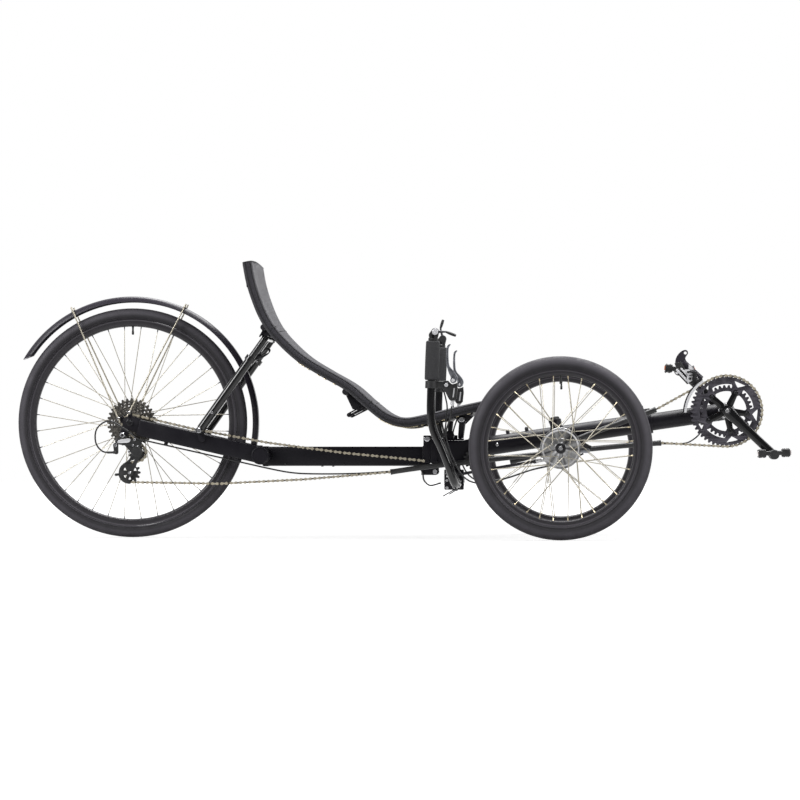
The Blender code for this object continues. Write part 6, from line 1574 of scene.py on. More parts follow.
def chain_loop():
    """The chain's closed line: wraps round the wheels, its tubes' lines and the sag of its free runs."""
    guide = (GUIDE[0], GUIDE[2], pitch_radius(11), 1)
    tension = (TENSION[0], TENSION[2], pitch_radius(13), -1)
    stops = [
        ((REAR_X, REAR_RADIUS, pitch_radius(COGS[0]), -1), CHAIN_Y),
        (np.array([(-1.0, 0, 0.296), (-0.8, 0, 0.259), (-0.59, 0, 0.231), (-0.385, 0, 0.211)]), None),
        ((IDLER[0], IDLER[2], pitch_radius(13), 1), IDLER[1]),
        (POWER_TUBE, None),
        ((BB_X, BB_Z, pitch_radius(48), -1), RING_Y),
        (RETURN_TUBE, None),
        (np.array([(-0.7, 0, 0.159), (-0.93, 0, 0.147)]), None),
        (tension, CHAIN_Y),
        (guide, CHAIN_Y),
    ]
    ends = []
    for stop, _ in stops:
        if isinstance(stop, np.ndarray):
            ends.append(((stop[0, 0], stop[0, 2], 0, 1), (stop[-1, 0], stop[-1, 2], 0, 1)))
        else:
            ends.append((stop, stop))
    route, sides = [], []
    for n, (stop, y) in enumerate(stops):
        if isinstance(stop, np.ndarray):
            route.append(stop[:, [0, 2]])
            sides.append(np.where(stop[:, 1] == 0, np.nan, stop[:, 1]))
        else:
            arrive = tangent(ends[n - 1][1], stop)[1]
            leave = tangent(stop, ends[(n + 1) % len(stops)][0])[0]
            route.append(wrap(stop, arrive, leave))
            sides.append(np.full(len(route[-1]), y))
    route, sides = np.concatenate(route), np.concatenate(sides)
    gone = gone_along(route)
    known = ~np.isnan(sides)
    sides = np.interp(gone, gone[known], sides[known])
    return np.stack([route[:, 0], sides, route[:, 1]], 1)


def link_shells(wide):
    """One chain link: two waisted plates whose outline is two circles and a cosine waist, and a roller."""
    along = np.linspace(-1, 1, 7)
    half = 0.0018 + 0.0023 * np.abs(along) ** 1.3
    upper = np.stack([along * CHAIN_PITCH / 2, half], 1)
    nose = np.array([(0.0098, 0.0024), (0.0105, 0), (0.0098, -0.0024)])
    outline = np.concatenate([upper, nose, upper[::-1] * row(1, -1), -nose])
    shells = []
    for sign in (-1, 1):
        faces = np.array([wide, wide + 0.0011]) * sign
        points = np.stack([
            np.stack([outline[:, 0], np.full(len(outline), side), outline[:, 1]], 1) for side in faces
        ])
        shells.append(grid(points))
    roller = row(CHAIN_PITCH / 2, 0, 0)
    reach = wide + 0.0015
    shells.append(lathe([(0.0019, -reach), (0.0019, reach)], roller, (0, 1, 0), 6))
    shells.append(lathe([(0.0038, -0.0016), (0.0038, 0.0016)], roller, (0, 1, 0), 8))
    return shells


def chain():
    """The chain's links, every second one wider, one pitch apart along the loop."""
    loop = chain_loop()
    loop = np.concatenate([loop, loop[:1]])
    count = 2 * round(gone_along(loop)[-1] / CHAIN_PITCH / 2)
    pins = spread(loop, count + 1)
    middle = (pins[:-1] + pins[1:]) / 2
    ahead = unit(np.diff(pins, axis=0))
    up = unit(np.cross(ahead, Y_AXIS))
    side = np.cross(up, ahead)
    frames = np.stack([ahead, side, up], -1)
    number = np.arange(count)
    lower = middle[:, 2] < np.interp(middle[:, 0], (-1.2, -0.46, 0.27, 0.55), (0.245, 0.196, 0.3, 0.3))
    in_tube = np.where(
        lower,
        (middle[:, 0] > -0.455) & (middle[:, 0] < 0.262),
        (middle[:, 0] > -0.128) & (middle[:, 0] < 0.25),
    )
    ahead_of = middle[:, 0] > 0.06
    bend = (
        "front_frame", "rear_frame",
        tuple(row(-0.31, 0, 0.2) + ORIGIN),
        tuple(row(-0.39, 0, 0.2) + ORIGIN),
    )
    links = ((0, "inner", 0.0011, "Inner plates", ()), (1, "outer", 0.0024, "Chain plates", ("drive_chain",)))
    for odd, label, wide, finish, nodes in links:
        for name, chosen, body in (("rear", ~ahead_of, bend), ("front", ahead_of, "boom")):
            keep = chosen & ~in_tube & (number % 2 == odd)
            shells = [stamp(shell, middle[keep], frames[keep]) for shell in link_shells(wide)]
            piece(
                "chain_%s_%s_links" % (name, label), shells, body, finish,
                *(nodes if name == "rear" else ()),
            )


def chain_tubes():
    """The two plastic tubes that the chain runs through, their mouths flared by a rising radius."""
    for name, route in (("power", POWER_TUBE), ("return", RETURN_TUBE)):
        path = smooth(route, 8)
        share = np.linspace(0, 1, len(path))
        flare = 1 + 0.1 * np.exp(-np.minimum(share, 1 - share) * 120)
        outside, _ = tube(path, 0.0072 * flare, 20)
        inside, _ = tube(path, 0.006 * flare, 20)
        points = np.concatenate([outside.reshape(len(path), 20, 3), inside.reshape(len(path), 20, 3)[::-1]])
        piece("chain_tube_%s_run" % name, [
            grid(points, close_u=True),
        ], "front_frame", "Moulded plastic", "chain_tube_" + name)


def pulley(name, teeth, centre, body, node_name):
    """A toothed plate with five triangular windows, and a boss round its bearing."""
    x, y, z = centre
    outline = tooth_radii(teeth, 10, 0.0028, 0.004)
    outline = around(x, z, outline, np.linspace(0, FULL_TURN, len(outline), endpoint=False))
    share = pitch_radius(teeth) / pitch_radius(13)
    windows = [
        fan_window(x, z, spot, 0.34, 0.0188 * share, 0.0195 * share, 0.0088 * share)
        for spot in np.radians((34, 90, 146, 221, 270))
    ]
    piece(name, [
        plate([outline, circle(x, z, 0.0047, 24), *windows], y - 0.0012, y + 0.0012, 0.0003),
        disc(np.full(36, 0.0078), 0.0047, centre, 0.0034),
    ], body, "Moulded plastic", node_name)


def pulleys():
    """The idler and the rear derailleur's two pulleys."""
    pulley("idler_disc", 13, IDLER, "idler", "idler_wheel")
    pulley("guide_disc", 11, GUIDE, "guide_pulley", "guide_pulley")
    pulley("tension_disc", 13, TENSION, "tension_pulley", "tension_pulley")
    top = boom_point(IDLER[0])[2]
    bracket = plate([
        capsule((IDLER[0], IDLER[2]), (IDLER[0], top - 0.004), 0.01, 0.012, 14),
    ], -0.042, -0.0365, 0.0008)
    piece("idler_hanger", [
        bracket,
        rod_y(IDLER[0], top, -0.037, -0.03, 0.009),
        rod_y(IDLER[0], IDLER[2], -0.059, -0.04, 0.0044),
    ], "front_frame", "Powder coat", "idler_bracket")
    piece("idler_bolts", [
        bolt((IDLER[0], -0.0566, IDLER[2]), (0, -1, 0), 0.0074, 0.0033),
        bolt((IDLER[0], -0.0418, top - 0.004), (0, -1, 0), 0.005, 0.004),
    ], "front_frame", "Dark steel")


def cassette():
    """Eight toothed cogs, the carrier between them and the lock ring."""
    shells = []
    samples = 8
    for n, teeth in enumerate(COGS):
        centre = row(REAR_X, CHAIN_Y + n * COG_SPACING, REAR_RADIUS)
        bore = 0.0165
        if teeth >= 18:
            angle = np.linspace(0, FULL_TURN, teeth * samples, endpoint=False)
            rim = pitch_radius(teeth) - 0.0092
            ways = np.clip(1.6 * np.abs(np.sin(angle * 2.5)) - 0.35, 0, 1)
            bore = 0.0165 + (rim - 0.0165) * ways
        shells.append(disc(tooth_radii(teeth, samples), bore, centre, 0.0018, 0.0004))
    last = CHAIN_Y + (len(COGS) - 1) * COG_SPACING
    shells.append(rod_y(REAR_X, REAR_RADIUS, CHAIN_Y - 0.001, last + 0.0022, 0.0166, 0.0006, 40))
    piece("cassette_cogs", shells, "cassette", "Cog steel", "cassette", angle=28)
    face = (REAR_X, CHAIN_Y - 0.001, REAR_RADIUS)
    ring = [(0.0132, 0), (0.015, 0), (0.0154, 0.0004), (0.0154, 0.0016), (0.0132, 0.0022)]
    sleeve = [(0.0056, 0), (0.0098, 0), (0.0098, 0.0018), (0.0056, 0.0018)]
    piece("cassette_lock_ring", [
        lathe(ring, face, (0, -1, 0), 48, ring=True),
        lathe(sleeve, face, (0, -1, 0), 32, ring=True),
    ], "cassette", "Turned aluminium")


def rear_derailleur():
    """Knuckles, links, cable arm and the pulley cage of the rear derailleur."""
    guide, tension = (GUIDE[0], GUIDE[2]), (TENSION[0], TENSION[2])
    body = "rear_derailleur"
    upper, lower, anchor = (-1.204, 0.263), (-1.15, 0.256), (-1.211, 0.252)
    piece("derailleur_links", [
        plate([capsule(upper, lower, 0.0088, 0.01, 16)], -0.08, -0.0876, 0.0016),
        plate([capsule((-1.1895, 0.268), guide, 0.0085, 0.0125, 16)], -0.078, -0.084, 0.0012),
        plate([capsule(anchor, (-1.2095, 0.233), 0.007, 0.0058, 14)], -0.082, -0.09, 0.0014),
        lathe([
            (0.0128, 0), (0.014, 0.0012), (0.014, 0.0195), (0.0124, 0.021),
        ], (guide[0], -0.0687, guide[1] + 0.004), (0, -1, 0), 40),
        rod_y(-1.1895, 0.27, -0.074, -0.0872, 0.0086, 0.001),
        rod((-1.233, -0.0935, 0.2322), (-1.215, -0.0935, 0.2325), 0.0031, 0.0006, 18),
        rod((-1.217, -0.0935, 0.2325), (-1.21, -0.089, 0.233), 0.0042, 0.0008, 18),
    ], body, "Moulded plastic", "rear_derailleur")
    cover = smooth([
        (-1.206, 0.26), (-1.201, 0.2668), (-1.188, 0.269), (-1.1735, 0.2705), (-1.1705, 0.266),
        (-1.175, 0.26), (-1.186, 0.2584), (-1.204, 0.2578), (-1.206, 0.26),
    ], 4)[:-1]
    piece("derailleur_cover", [plate([cover], -0.0874, -0.089, 0.0007)], body, "Pale alloy")
    spots = (
        (-1.1595, 0.2675, 0.0036), (-1.1743, 0.2341, 0.0034), (-1.1545, 0.2366, 0.0044),
        (-1.2115, 0.2515, 0.0044), (-1.164, 0.252, 0.0034), (-1.153, 0.247, 0.0036),
    )
    bolts = []
    for x, z, radius in spots:
        bolts.append(bolt((x, -0.0874 if x > -1.2 else -0.0898, z), (0, -1, 0), radius, 0.002, 0.45))
    bolts += [rod_y(x, z, -0.078, -0.088, radius * 0.6) for x, z, radius in spots]
    piece("derailleur_bolts", bolts, body, "Chrome")

    arm = np.concatenate([
        arc(*guide, 0.014, -35, 150, 24),
        [(guide[0] - 0.023, guide[1] - 0.017)],
        arc(*tension, 0.0298, 138, 176, 12),
        arc(*tension, 0.0312, 196, 272, 16),
        arc(*tension, 0.011, -62, 30, 8),
        [(guide[0] - 0.0035, guide[1] - 0.029)],
    ])
    hook = capsule(
        (tension[0] - 0.03, tension[1] - 0.005), (tension[0] - 0.0375, tension[1] - 0.006), 0.0032, 0.0036,
    )
    opening = capsule(
        (guide[0] - 0.0125, guide[1] - 0.018), (guide[0] - 0.0165, guide[1] - 0.0245), 0.0034, 0.0044,
    )
    windows = [fan_window(*tension, spot, 0.27, 0.0196, 0.0204, 0.01) for spot in np.radians((146, 221, 270))]
    shells = [
        plate([arm, opening, *windows], CHAIN_Y - 0.0072, CHAIN_Y - 0.0056, 0.0004),
        plate([hook], CHAIN_Y - 0.0072, CHAIN_Y + 0.005, 0.0008),
        plate([arm, opening, *windows], CHAIN_Y + 0.0055, CHAIN_Y + 0.007, 0.0004),
    ]
    for x, z in (guide, tension):
        shells.append(rod_y(x, z, CHAIN_Y - 0.006, CHAIN_Y + 0.006, 0.004))
    piece("derailleur_cage_plates", shells, "derailleur_cage", "Moulded plastic", "derailleur_cage")
    piece("derailleur_cage_bolts", [
        bolt((tension[0], CHAIN_Y - 0.0071, tension[1]), (0, -1, 0), 0.004, 0.0016),
    ], "derailleur_cage", "Chrome")


def fender_point(degrees, radius, y=0.0):
    """Points round the rear axle."""
    angle = np.radians(degrees)
    return np.stack([
        REAR_X + radius * np.cos(angle), y + 0 * angle, REAR_RADIUS + radius * np.sin(angle),
    ], -1)


def fender():
    """A blade whose section is flat in the middle and falls away as a power of the distance to its lips."""
    half = 0.024
    lip = 0.0148
    share = np.linspace(-1, 1, 25)
    drop = 0.014 * np.clip((np.abs(share) - 0.42) / 0.58, 0, 1) ** 2.0
    outside = np.stack([FENDER_RADIUS + 0.0004 - drop, share * half], 1)
    inside = np.stack([FENDER_RADIUS - 0.001 - drop, share * (half - 0.0008)], 1)
    lips = np.array([[FENDER_RADIUS - lip, half - 0.0002], [FENDER_RADIUS - lip, 0.0006 - half]])
    section = np.concatenate([outside, lips[:1], inside[::-1], lips[1:]])
    first, last = FENDER_REACH
    degrees = np.linspace(first, last, 121)
    rise = np.clip(np.minimum(degrees - first, last - degrees) / 2.2, 0, 1)
    width = 0.9 + 0.1 * np.sqrt(rise * (2 - rise))
    tail = np.clip((degrees - last + 12) / 12, 0, 1)[:, None]

    def swept(outline):
        """The outline turned about the rear axle, with its lips cut back at the tail."""
        fallen = np.clip((FENDER_RADIUS - outline[:, 0]) / lip, 0, 1)
        angle = np.radians(degrees[:, None] - 3.7 * tail * fallen)
        return grid(np.stack([
            REAR_X + outline[:, 0] * np.cos(angle), outline[:, 1] * width[:, None],
            REAR_RADIUS + outline[:, 0] * np.sin(angle),
        ], -1))

    piece("fender_blade", [swept(section)], "rear_frame", "Satin black", "fender", angle=50)
    # A pale sheet just inside the blade: a painted highlight on the fender's underside.
    within = inside[2:-2] - row(0.0003, 0)
    piece("fender_lining", [
        swept(np.concatenate([within, within[::-1] - row(0.0003, 0)])),
    ], "rear_frame", "Lining")
    bolts = []
    for degree in FENDER_FEET:
        for sign in (-1, 1):
            centre = fender_point(degree, FENDER_RADIUS + 0.0006, sign * 0.007)
            up = unit(centre - row(REAR_X, centre[1], REAR_RADIUS))
            bolts.append(bolt(centre, up, 0.004, 0.0026))
    piece("fender_clip_bolts", bolts, "rear_frame", "Chrome")


def fender_wires():
    """Two wire hoops over the fender, the clips that hold them, and the ties between their feet."""
    eye_y = 0.076
    shells, clips = [], []
    for degrees, (x, z) in FENDER_FEET.items():
        foot = row(x, -eye_y, z)
        toward = unit(fender_point(degrees, FENDER_RADIUS) - row(x, 0, z))
        half = np.array([
            foot,
            foot + toward * 0.015,
            fender_point(degrees, FENDER_RADIUS - 0.014, -0.029),
            fender_point(degrees, FENDER_RADIUS - 0.001, -0.0262),
            fender_point(degrees, FENDER_RADIUS + 0.003, -0.012),
        ])
        shells.append(tube(smooth(both_halves(half), 8), 0.0021, 12, (1, 0, 0)))
        for sign in (-1, 1):
            eye = washer(0.0026, 0.0052, 0.0018)
            shells.append(lathe(eye, (x, sign * eye_y, z), (0, 1, 0), 20, ring=True))
        middle = fender_point(degrees, FENDER_RADIUS + 0.0014)
        away = unit(middle - row(REAR_X, 0, REAR_RADIUS))
        side = Y_AXIS * 0.014
        clips.append(block(middle - side, middle + side, 0.01, 0.0018, 0.0008, 0.0004, away))
    (rear_x, rear_z), (front_x, front_z) = FENDER_FEET.values()
    ties = [
        rod((rear_x - 0.003, sign * eye_y, rear_z), (front_x + 0.003, sign * eye_y, front_z), 0.0018)
        for sign in (-1, 1)
    ]
    piece("fender_wire", shells, "rear_frame", "Spoke wire", "fender_stays")
    piece("fender_ties", ties, "rear_frame", "Powder coat")
    piece("fender_clips", clips, "rear_frame", "Dark steel")


def boom():
    """Sliding boom with the bottom bracket shell, a weld round it and its two bearing cups."""
    end = boom_point(BB_X - 0.0225)
    cup = [(0.02, 0), (0.0222, 0), (0.0226, 0.0006), (0.0226, 0.0042), (0.0214, 0.0052), (0.013, 0.0056)]
    piece("boom_tube", [
        rod(boom_point(0.12), boom_point(BB_X - 0.004), BOOM_RADIUS, 0.0008, 64),
        rod_y(BB_X, BB_Z, -0.034, 0.034, 0.0235, 0.001, 64),
        bead(end, BOOM_AXIS, 0.0222, 0.0018, 48),
    ], "boom", "Powder coat", "boom")
    piece("bearing_cups", [
        lathe(cup, (BB_X, sign * 0.0338, BB_Z), (0, sign, 0), 32) for sign in (-1, 1)
    ], "boom", "Turned aluminium")


def derailleur_post():
    """Band and leaning post on the boom, the horn with a hole at its top, and the derailleur's body."""
    band = [(0.0238, 0), (0.0277, 0), (0.0285, 0.001), (0.0285, 0.021), (0.0277, 0.022), (0.0238, 0.022)]
    horn = smooth([
        (0.3484, 0.508), (0.3465, 0.512), (0.3404, 0.514), (0.3306, 0.5105), (0.3205, 0.5005),
        (0.3145, 0.488), (0.314, 0.476), (0.3205, 0.472), (0.3325, 0.474), (0.341, 0.477), (0.344, 0.483),
        (0.3412, 0.4905), (0.344, 0.497), (0.3482, 0.503), (0.3484, 0.508),
    ], 5)[:-1]
    top, elbow, root = row(0.334, 0, 0.48), row(0.385, 0, 0.433), boom_point(0.39, 0, 0.024)
    lean = unit(elbow - top)
    piece("post_tube", [
        lathe(band, boom_point(0.379), BOOM_AXIS, 56, ring=True),
        block(top, elbow, 0.0185, 0.0185, 0.006, 0.0014, (0, 1, 0)),
        rod(elbow - lean * 0.008, root, 0.009, 0.0008, 32),
        plate([horn, circle(0.3412, 0.5055, 0.004, 24)], -0.0045, 0.0045, 0.0012),
    ], "boom", "Satin black", "derailleur_post")
    silver = (
        ([(0.3355, 0.4582), (0.3505, 0.4596), (0.3601, 0.4472), (0.345, 0.4418)], -0.03, -0.024),
        ([(0.345, 0.4404), (0.359, 0.442), (0.363, 0.43), (0.35, 0.4235), (0.345, 0.427)], -0.031, -0.025),
        ([(0.3505, 0.474), (0.356, 0.47), (0.364, 0.459), (0.354, 0.458), (0.349, 0.464)], -0.02, -0.015),
        (capsule((0.318, 0.458), (0.349, 0.425), 0.0032), -0.027, -0.0225),
        (capsule((0.329, 0.462), (0.356, 0.433), 0.0022), -0.03, -0.027),
        (capsule((0.36, 0.446), (0.371, 0.437), 0.002), -0.032, -0.03),
        (capsule((0.3165, 0.45), (0.3195, 0.451), 0.003), -0.026, -0.02),
    )
    piece("derailleur_body_links", [
        plate([np.asarray(outline)], low, high, 0.0008) for outline, low, high in silver
    ], "boom", "Pale alloy")
    piece("derailleur_body_core", [
        plate([
            np.array([(0.311, 0.477), (0.3286, 0.481), (0.34, 0.464), (0.3313, 0.456), (0.316, 0.464)]),
        ], -0.022, -0.006, 0.0012),
        plate([capsule((0.3155, 0.4555), (0.3465, 0.4225), 0.003)], -0.024, -0.018, 0.0008),
        box((0.3432, -0.024, 0.4232), (0.37, -0.01, 0.444), 0.004, 0.0016),
        box((0.35, -0.03, 0.4205), (0.378, -0.01, 0.4345), 0.003, 0.0012),
        box((0.3455, -0.012, 0.4255), (0.365, 0.01, 0.4405), 0.004, 0.0016),
    ], "boom", "Moulded plastic")
    piece("derailleur_body_bolts", [
        bolt((0.3475, -0.0298, 0.4525), (0, -1, 0), 0.003, 0.0016),
        bolt((0.353, -0.0308, 0.4345), (0, -1, 0), 0.0034, 0.0016),
        bolt((0.356, 0.0098, 0.433), (0, 1, 0), 0.0046, 0.0026),
        bolt(boom_point(0.39, -0.028), (0, -1, 0), 0.004, 0.003),
    ], "boom", "Dark steel")


def front_derailleur():
    """The chain guide: an outer and an inner curved plate that stand off from the ring, and their arm."""
    ring = pitch_radius(48)
    angle = np.radians(np.linspace(128, 182, 30))
    reach = ring + 0.0132 + 0.01 * (angle - angle[0])

    def band(low, high):
        """The strip between two depths inside the plates' outer curve, a circle whose radius grows."""
        return np.concatenate([
            around(BB_X, BB_Z, reach - low, angle), around(BB_X, BB_Z, reach - high, angle)[::-1],
        ])

    dark, pale = [], []
    for side in (-1, 1):
        y_from, y_to = sorted((RING_Y + side * 0.01, RING_Y + side * 0.0115))
        dark.append(plate([band(0, 0.0032)], y_from, y_to, 0.0004))
        pale.append(plate([band(0.003, 0.01)], y_from, y_to, 0.0004))
    for degree in (130, 176):
        spot = math.radians(degree)
        share = ring + 0.01 * (spot - angle[0]) + 0.009
        pale.append(rod_y(
            BB_X + share * math.cos(spot), BB_Z + share * math.sin(spot), RING_Y - 0.0108, RING_Y + 0.0108,
            0.0024,
        ))
    dark += [
        box((0.3485, -0.0392, 0.4518), (0.364, -0.0188, 0.456), 0.0018, 0.001),
        box((0.359, -0.0392, 0.416), (0.3715, -0.0377, 0.454), 0.0006, 0.0004),
    ]
    piece("front_derailleur_plates", pale, "front_derailleur", "Pale alloy", "front_derailleur_cage")
    piece("front_derailleur_edges", dark, "front_derailleur", "Dark steel")


def spider_tabs(angle, legs, wide, ramp):
    """One at the spider's legs and nought between them, eased by 3 t^2 - 2 t^3."""
    nearest = np.abs((angle[:, None] - legs + math.pi) % FULL_TURN - math.pi).min(1)
    tab = np.clip((math.radians(wide) - nearest) / math.radians(ramp), 0, 1)
    return tab * tab * (3 - 2 * tab)


def chainrings():
    """The 48-tooth ring with its triangular holes, the 34-tooth ring behind it, and the five bolts."""
    legs = CRANK_ANGLE + FULL_TURN * (np.arange(5) + 0.5) / 5
    samples = 10
    centre = row(BB_X, RING_Y, BB_Z)
    outer_radii = tooth_radii(48, samples)
    angle = np.linspace(0, FULL_TURN, len(outer_radii), endpoint=False)
    outline = around(BB_X, BB_Z, outer_radii, angle)
    bore = around(BB_X, BB_Z, 0.0737 - 0.0262 * spider_tabs(angle, legs, 15, 7), angle)
    turn = np.linspace(0, 3 * math.pi, 36, endpoint=False) + math.pi / 2
    blunted = 1 - 0.1 * np.abs(np.sin(turn))[:, None] ** 6
    holes = []
    for leg in legs:
        corners = around(BB_X, BB_Z, row(0.085, 0.0862, 0.0702), leg + np.radians((11.5, -11, 0)))
        middle = corners.mean(0)
        edge = spread(np.concatenate([corners, corners[:1]]), 37)[:-1]
        holes.append(middle + (edge - middle) * blunted)
    piece("outer_ring", [
        plate([outline, bore, *holes], RING_Y - 0.0014, RING_Y + 0.0014, 0.0004),
    ], "crankset", "Graphite", "chainrings")
    teeth = tooth_radii(34, 12, 0.0028, 0.0044)
    angle = np.linspace(0, FULL_TURN, len(teeth), endpoint=False)
    inner_bore = 0.0545 - 0.007 * spider_tabs(angle, legs, 14, 6)
    piece("inner_ring", [
        disc(teeth, inner_bore, centre + Y_AXIS * 0.0075, 0.0021, 0.0004),
    ], "crankset", "Graphite")
    bolts, nuts = [], []
    for leg in legs:
        x, z = BB_X + BOLT_CIRCLE * math.cos(leg), BB_Z + BOLT_CIRCLE * math.sin(leg)
        nuts.append(rod_y(x, z, RING_Y - 0.001, RING_Y + 0.0094, 0.0049))
        bolts.append(bolt((x, RING_Y - 0.006, z), (0, -1, 0), 0.0046, 0.0024))
    piece("ring_spacers", nuts, "crankset", "Dark steel")
    piece("ring_bolts", bolts, "crankset", "Dark steel")


def crank_outline(angle, reach):
    """Outline of an arm: its half width eases from the boss to the pedal's eye by a power of the share."""
    share = np.linspace(0, 1, 30)
    half = 0.0125 + 0.004 * (1 - share) ** 2.2 - 0.0012 * np.sin(share * math.pi)
    start = around(0, 0, 0.0165, np.linspace(2.2, 4.08, 12))
    end = around(reach, 0, 0.0125, np.linspace(-1.35, 1.35, 14))
    upper = np.stack([share * reach, half], 1)[1:-1]
    outline = np.concatenate([upper[::-1], start, upper * row(1, -1), end])
    turn = np.array([[math.cos(angle), math.sin(angle)], [-math.sin(angle), math.cos(angle)]])
    return outline @ turn + row(BB_X, BB_Z)


def crankset():
    """Spindle, both arms, the spider and the pedals' axles."""
    shells = [rod_y(BB_X, BB_Z, -CRANK_Y, CRANK_Y, 0.0084, 0.0006, 32)]
    steel, caps = [], []
    for sign in (-1, 1):
        angle = CRANK_ANGLE if sign < 0 else CRANK_ANGLE + math.pi
        end = (BB_X + CRANK_LENGTH * math.cos(angle), BB_Z + CRANK_LENGTH * math.sin(angle))
        inner, outer = sorted((sign * 0.0735, sign * 0.0865))
        shells.append(plate([crank_outline(angle, CRANK_LENGTH)], inner, outer, 0.0046))
        steel.append(rod_y(end[0], end[1], sign * 0.08, sign * 0.178, 0.0047, 0.0006, 24))
        steel.append(lathe(
            [(0.008, 0), (0.0082, 0.0004), (0.0082, 0.003), (0.0074, 0.0036)],
            (end[0], sign * 0.0862, end[1]), (0, sign, 0), 24,
        ))
        caps.append(bolt((BB_X, sign * 0.0862, BB_Z), (0, sign, 0), 0.0092, 0.003, 0.5, 32))
        caps.append(lathe(
            [(0.005, 0), (0.0086, 0), (0.0086, 0.0006), (0.005, 0.0006)],
            (end[0], sign * 0.0862, end[1]), (0, sign, 0), 28, ring=True,
        ))
    face = RING_Y - 0.0017
    shells.append(lathe(
        [(0.019, 0), (0.02, 0.001), (0.02, 0.018), (0.0185, 0.028)],
        (BB_X, face + 0.004, BB_Z), (0, -1, 0), 48,
    ))
    for n in range(5):
        angle = CRANK_ANGLE + FULL_TURN * (n + 0.5) / 5
        tip = (BB_X + BOLT_CIRCLE * math.cos(angle), BB_Z + BOLT_CIRCLE * math.sin(angle))
        shells.append(plate([capsule((BB_X, BB_Z), tip, 0.0108, 0.0078, 14)], face, face - 0.0045, 0.0012))
    piece("crank_arms", shells, "crankset", "Gloss paint", "crankset", angle=36)
    steel.append(bolt((BB_X, -0.088, BB_Z), (0, -1, 0), 0.0054, 0.0026, 0.5, 32))
    piece("pedal_axles", steel, "crankset", "Bare steel")
    piece("crank_bolts", caps, "crankset", "Dark steel")


def pedals():
    """Platform pedals: cage ends, side plates, a round body on the axle, and reflectors on both ends."""
    tilts = {"right": 2, "left": -4}
    wide, thick = 0.039, 0.0095
    for name, _ in SIDES:
        centre = PIVOT["%s_pedal_spin" % name]
        half = 0.0425 if name == "right" else 0.04
        turn = math.radians(tilts[name])
        ahead = row(math.cos(turn), 0, math.sin(turn))
        up = row(-math.sin(turn), 0, math.cos(turn))

        def at(along, side, rise):
            """A point in the pedal's own tilted directions."""
            return centre + ahead * along + Y_AXIS * side + up * rise

        body = name + "_pedal"
        shells = []
        for side in (-1, 1):
            y = side * (wide - 0.0042)
            shells.append(block(
                at(-half + 0.003, y, 0.002),
                at(half - 0.003, y, 0.002),
                0.007, 0.012, 0.003, 0.0014, up,
            ))
            for end in (-1, 1):
                shells.append(block(
                    at(end * half, y, 0.002),
                    at(end * (half - 0.02), y, 0.002),
                    0.0084, 0.021, 0.004, 0.0016, up,
                ))
        for along in (-half + 0.0055, half - 0.0055):
            shells.append(block(
                at(along, -wide + 0.002, 0.002),
                at(along, wide - 0.002, 0.002),
                0.0095, 2 * thick, 0.003, 0.0012, up,
            ))
        for along in (-0.019, 0.019):
            shells.append(block(
                at(along, -wide + 0.002, 0.002),
                at(along, wide - 0.002, 0.002),
                0.006, 0.011, 0.002, 0.001, up,
            ))
        barrel = [
            (0.0118, 0), (0.0132, 0.0012), (0.0132, 0.015), (0.0112, 0.02), (0.0112, 0.058),
            (0.0132, 0.063), (0.0132, 0.0768), (0.0118, 0.078),
        ]
        shells.append(lathe(barrel, at(0, -wide, -0.002), (0, 1, 0), 36))
        piece("%s_pedal_cage" % name, shells, body, "Moulded plastic", "pedal_" + name)
        studs = []
        for along in (-0.037, -0.027, 0.027, 0.037):
            for side in (-1, 1):
                for rise in (-1, 1):
                    root = at(along, side * (wide - 0.0045), 0.002 + rise * 0.0098)
                    studs.append(lathe([(0.0018, 0), (0.0018, 0.0016), (0.001, 0.0022)], root, up * rise, 8))
        piece("%s_pedal_studs" % name, studs, body, "Moulded plastic")
        lenses = []
        for end in (-1, 1):
            lenses.append(block(
                at(end * (half + 0.0004), -wide + 0.004, 0.002),
                at(end * (half + 0.0004), wide - 0.004, 0.002),
                0.0048, 0.0125, 0.0016, 0.001, up,
            ))
        finish = "Clear reflector" if name == "right" else "Amber reflector"
        piece("%s_pedal_reflectors" % name, lenses, body, finish)


SEAT_LINE = np.array([
    (-0.8445, 0.742), (-0.836, 0.697), (-0.8225, 0.652), (-0.8035, 0.605), (-0.779, 0.564), (-0.74, 0.521),
    (-0.696, 0.4835), (-0.638, 0.448), (-0.572, 0.4095), (-0.517, 0.362), (-0.47, 0.3275), (-0.42, 0.314),
    (-0.362, 0.323), (-0.27, 0.3455), (-0.195, 0.362),
])
CROSS_SEAMS = (4, 9)


def rail_line(steps=8, y=0.0):
    """The rails' middle line, its tangents and the way that the seat faces."""
    line = smooth(SEAT_LINE, steps)
    path = np.stack([line[:, 0], np.full(len(line), y), line[:, 1]], 1)
    ahead = unit(np.gradient(path, axis=0))
    return path, ahead, np.stack([-ahead[:, 2], 0 * ahead[:, 1], ahead[:, 0]], 1)


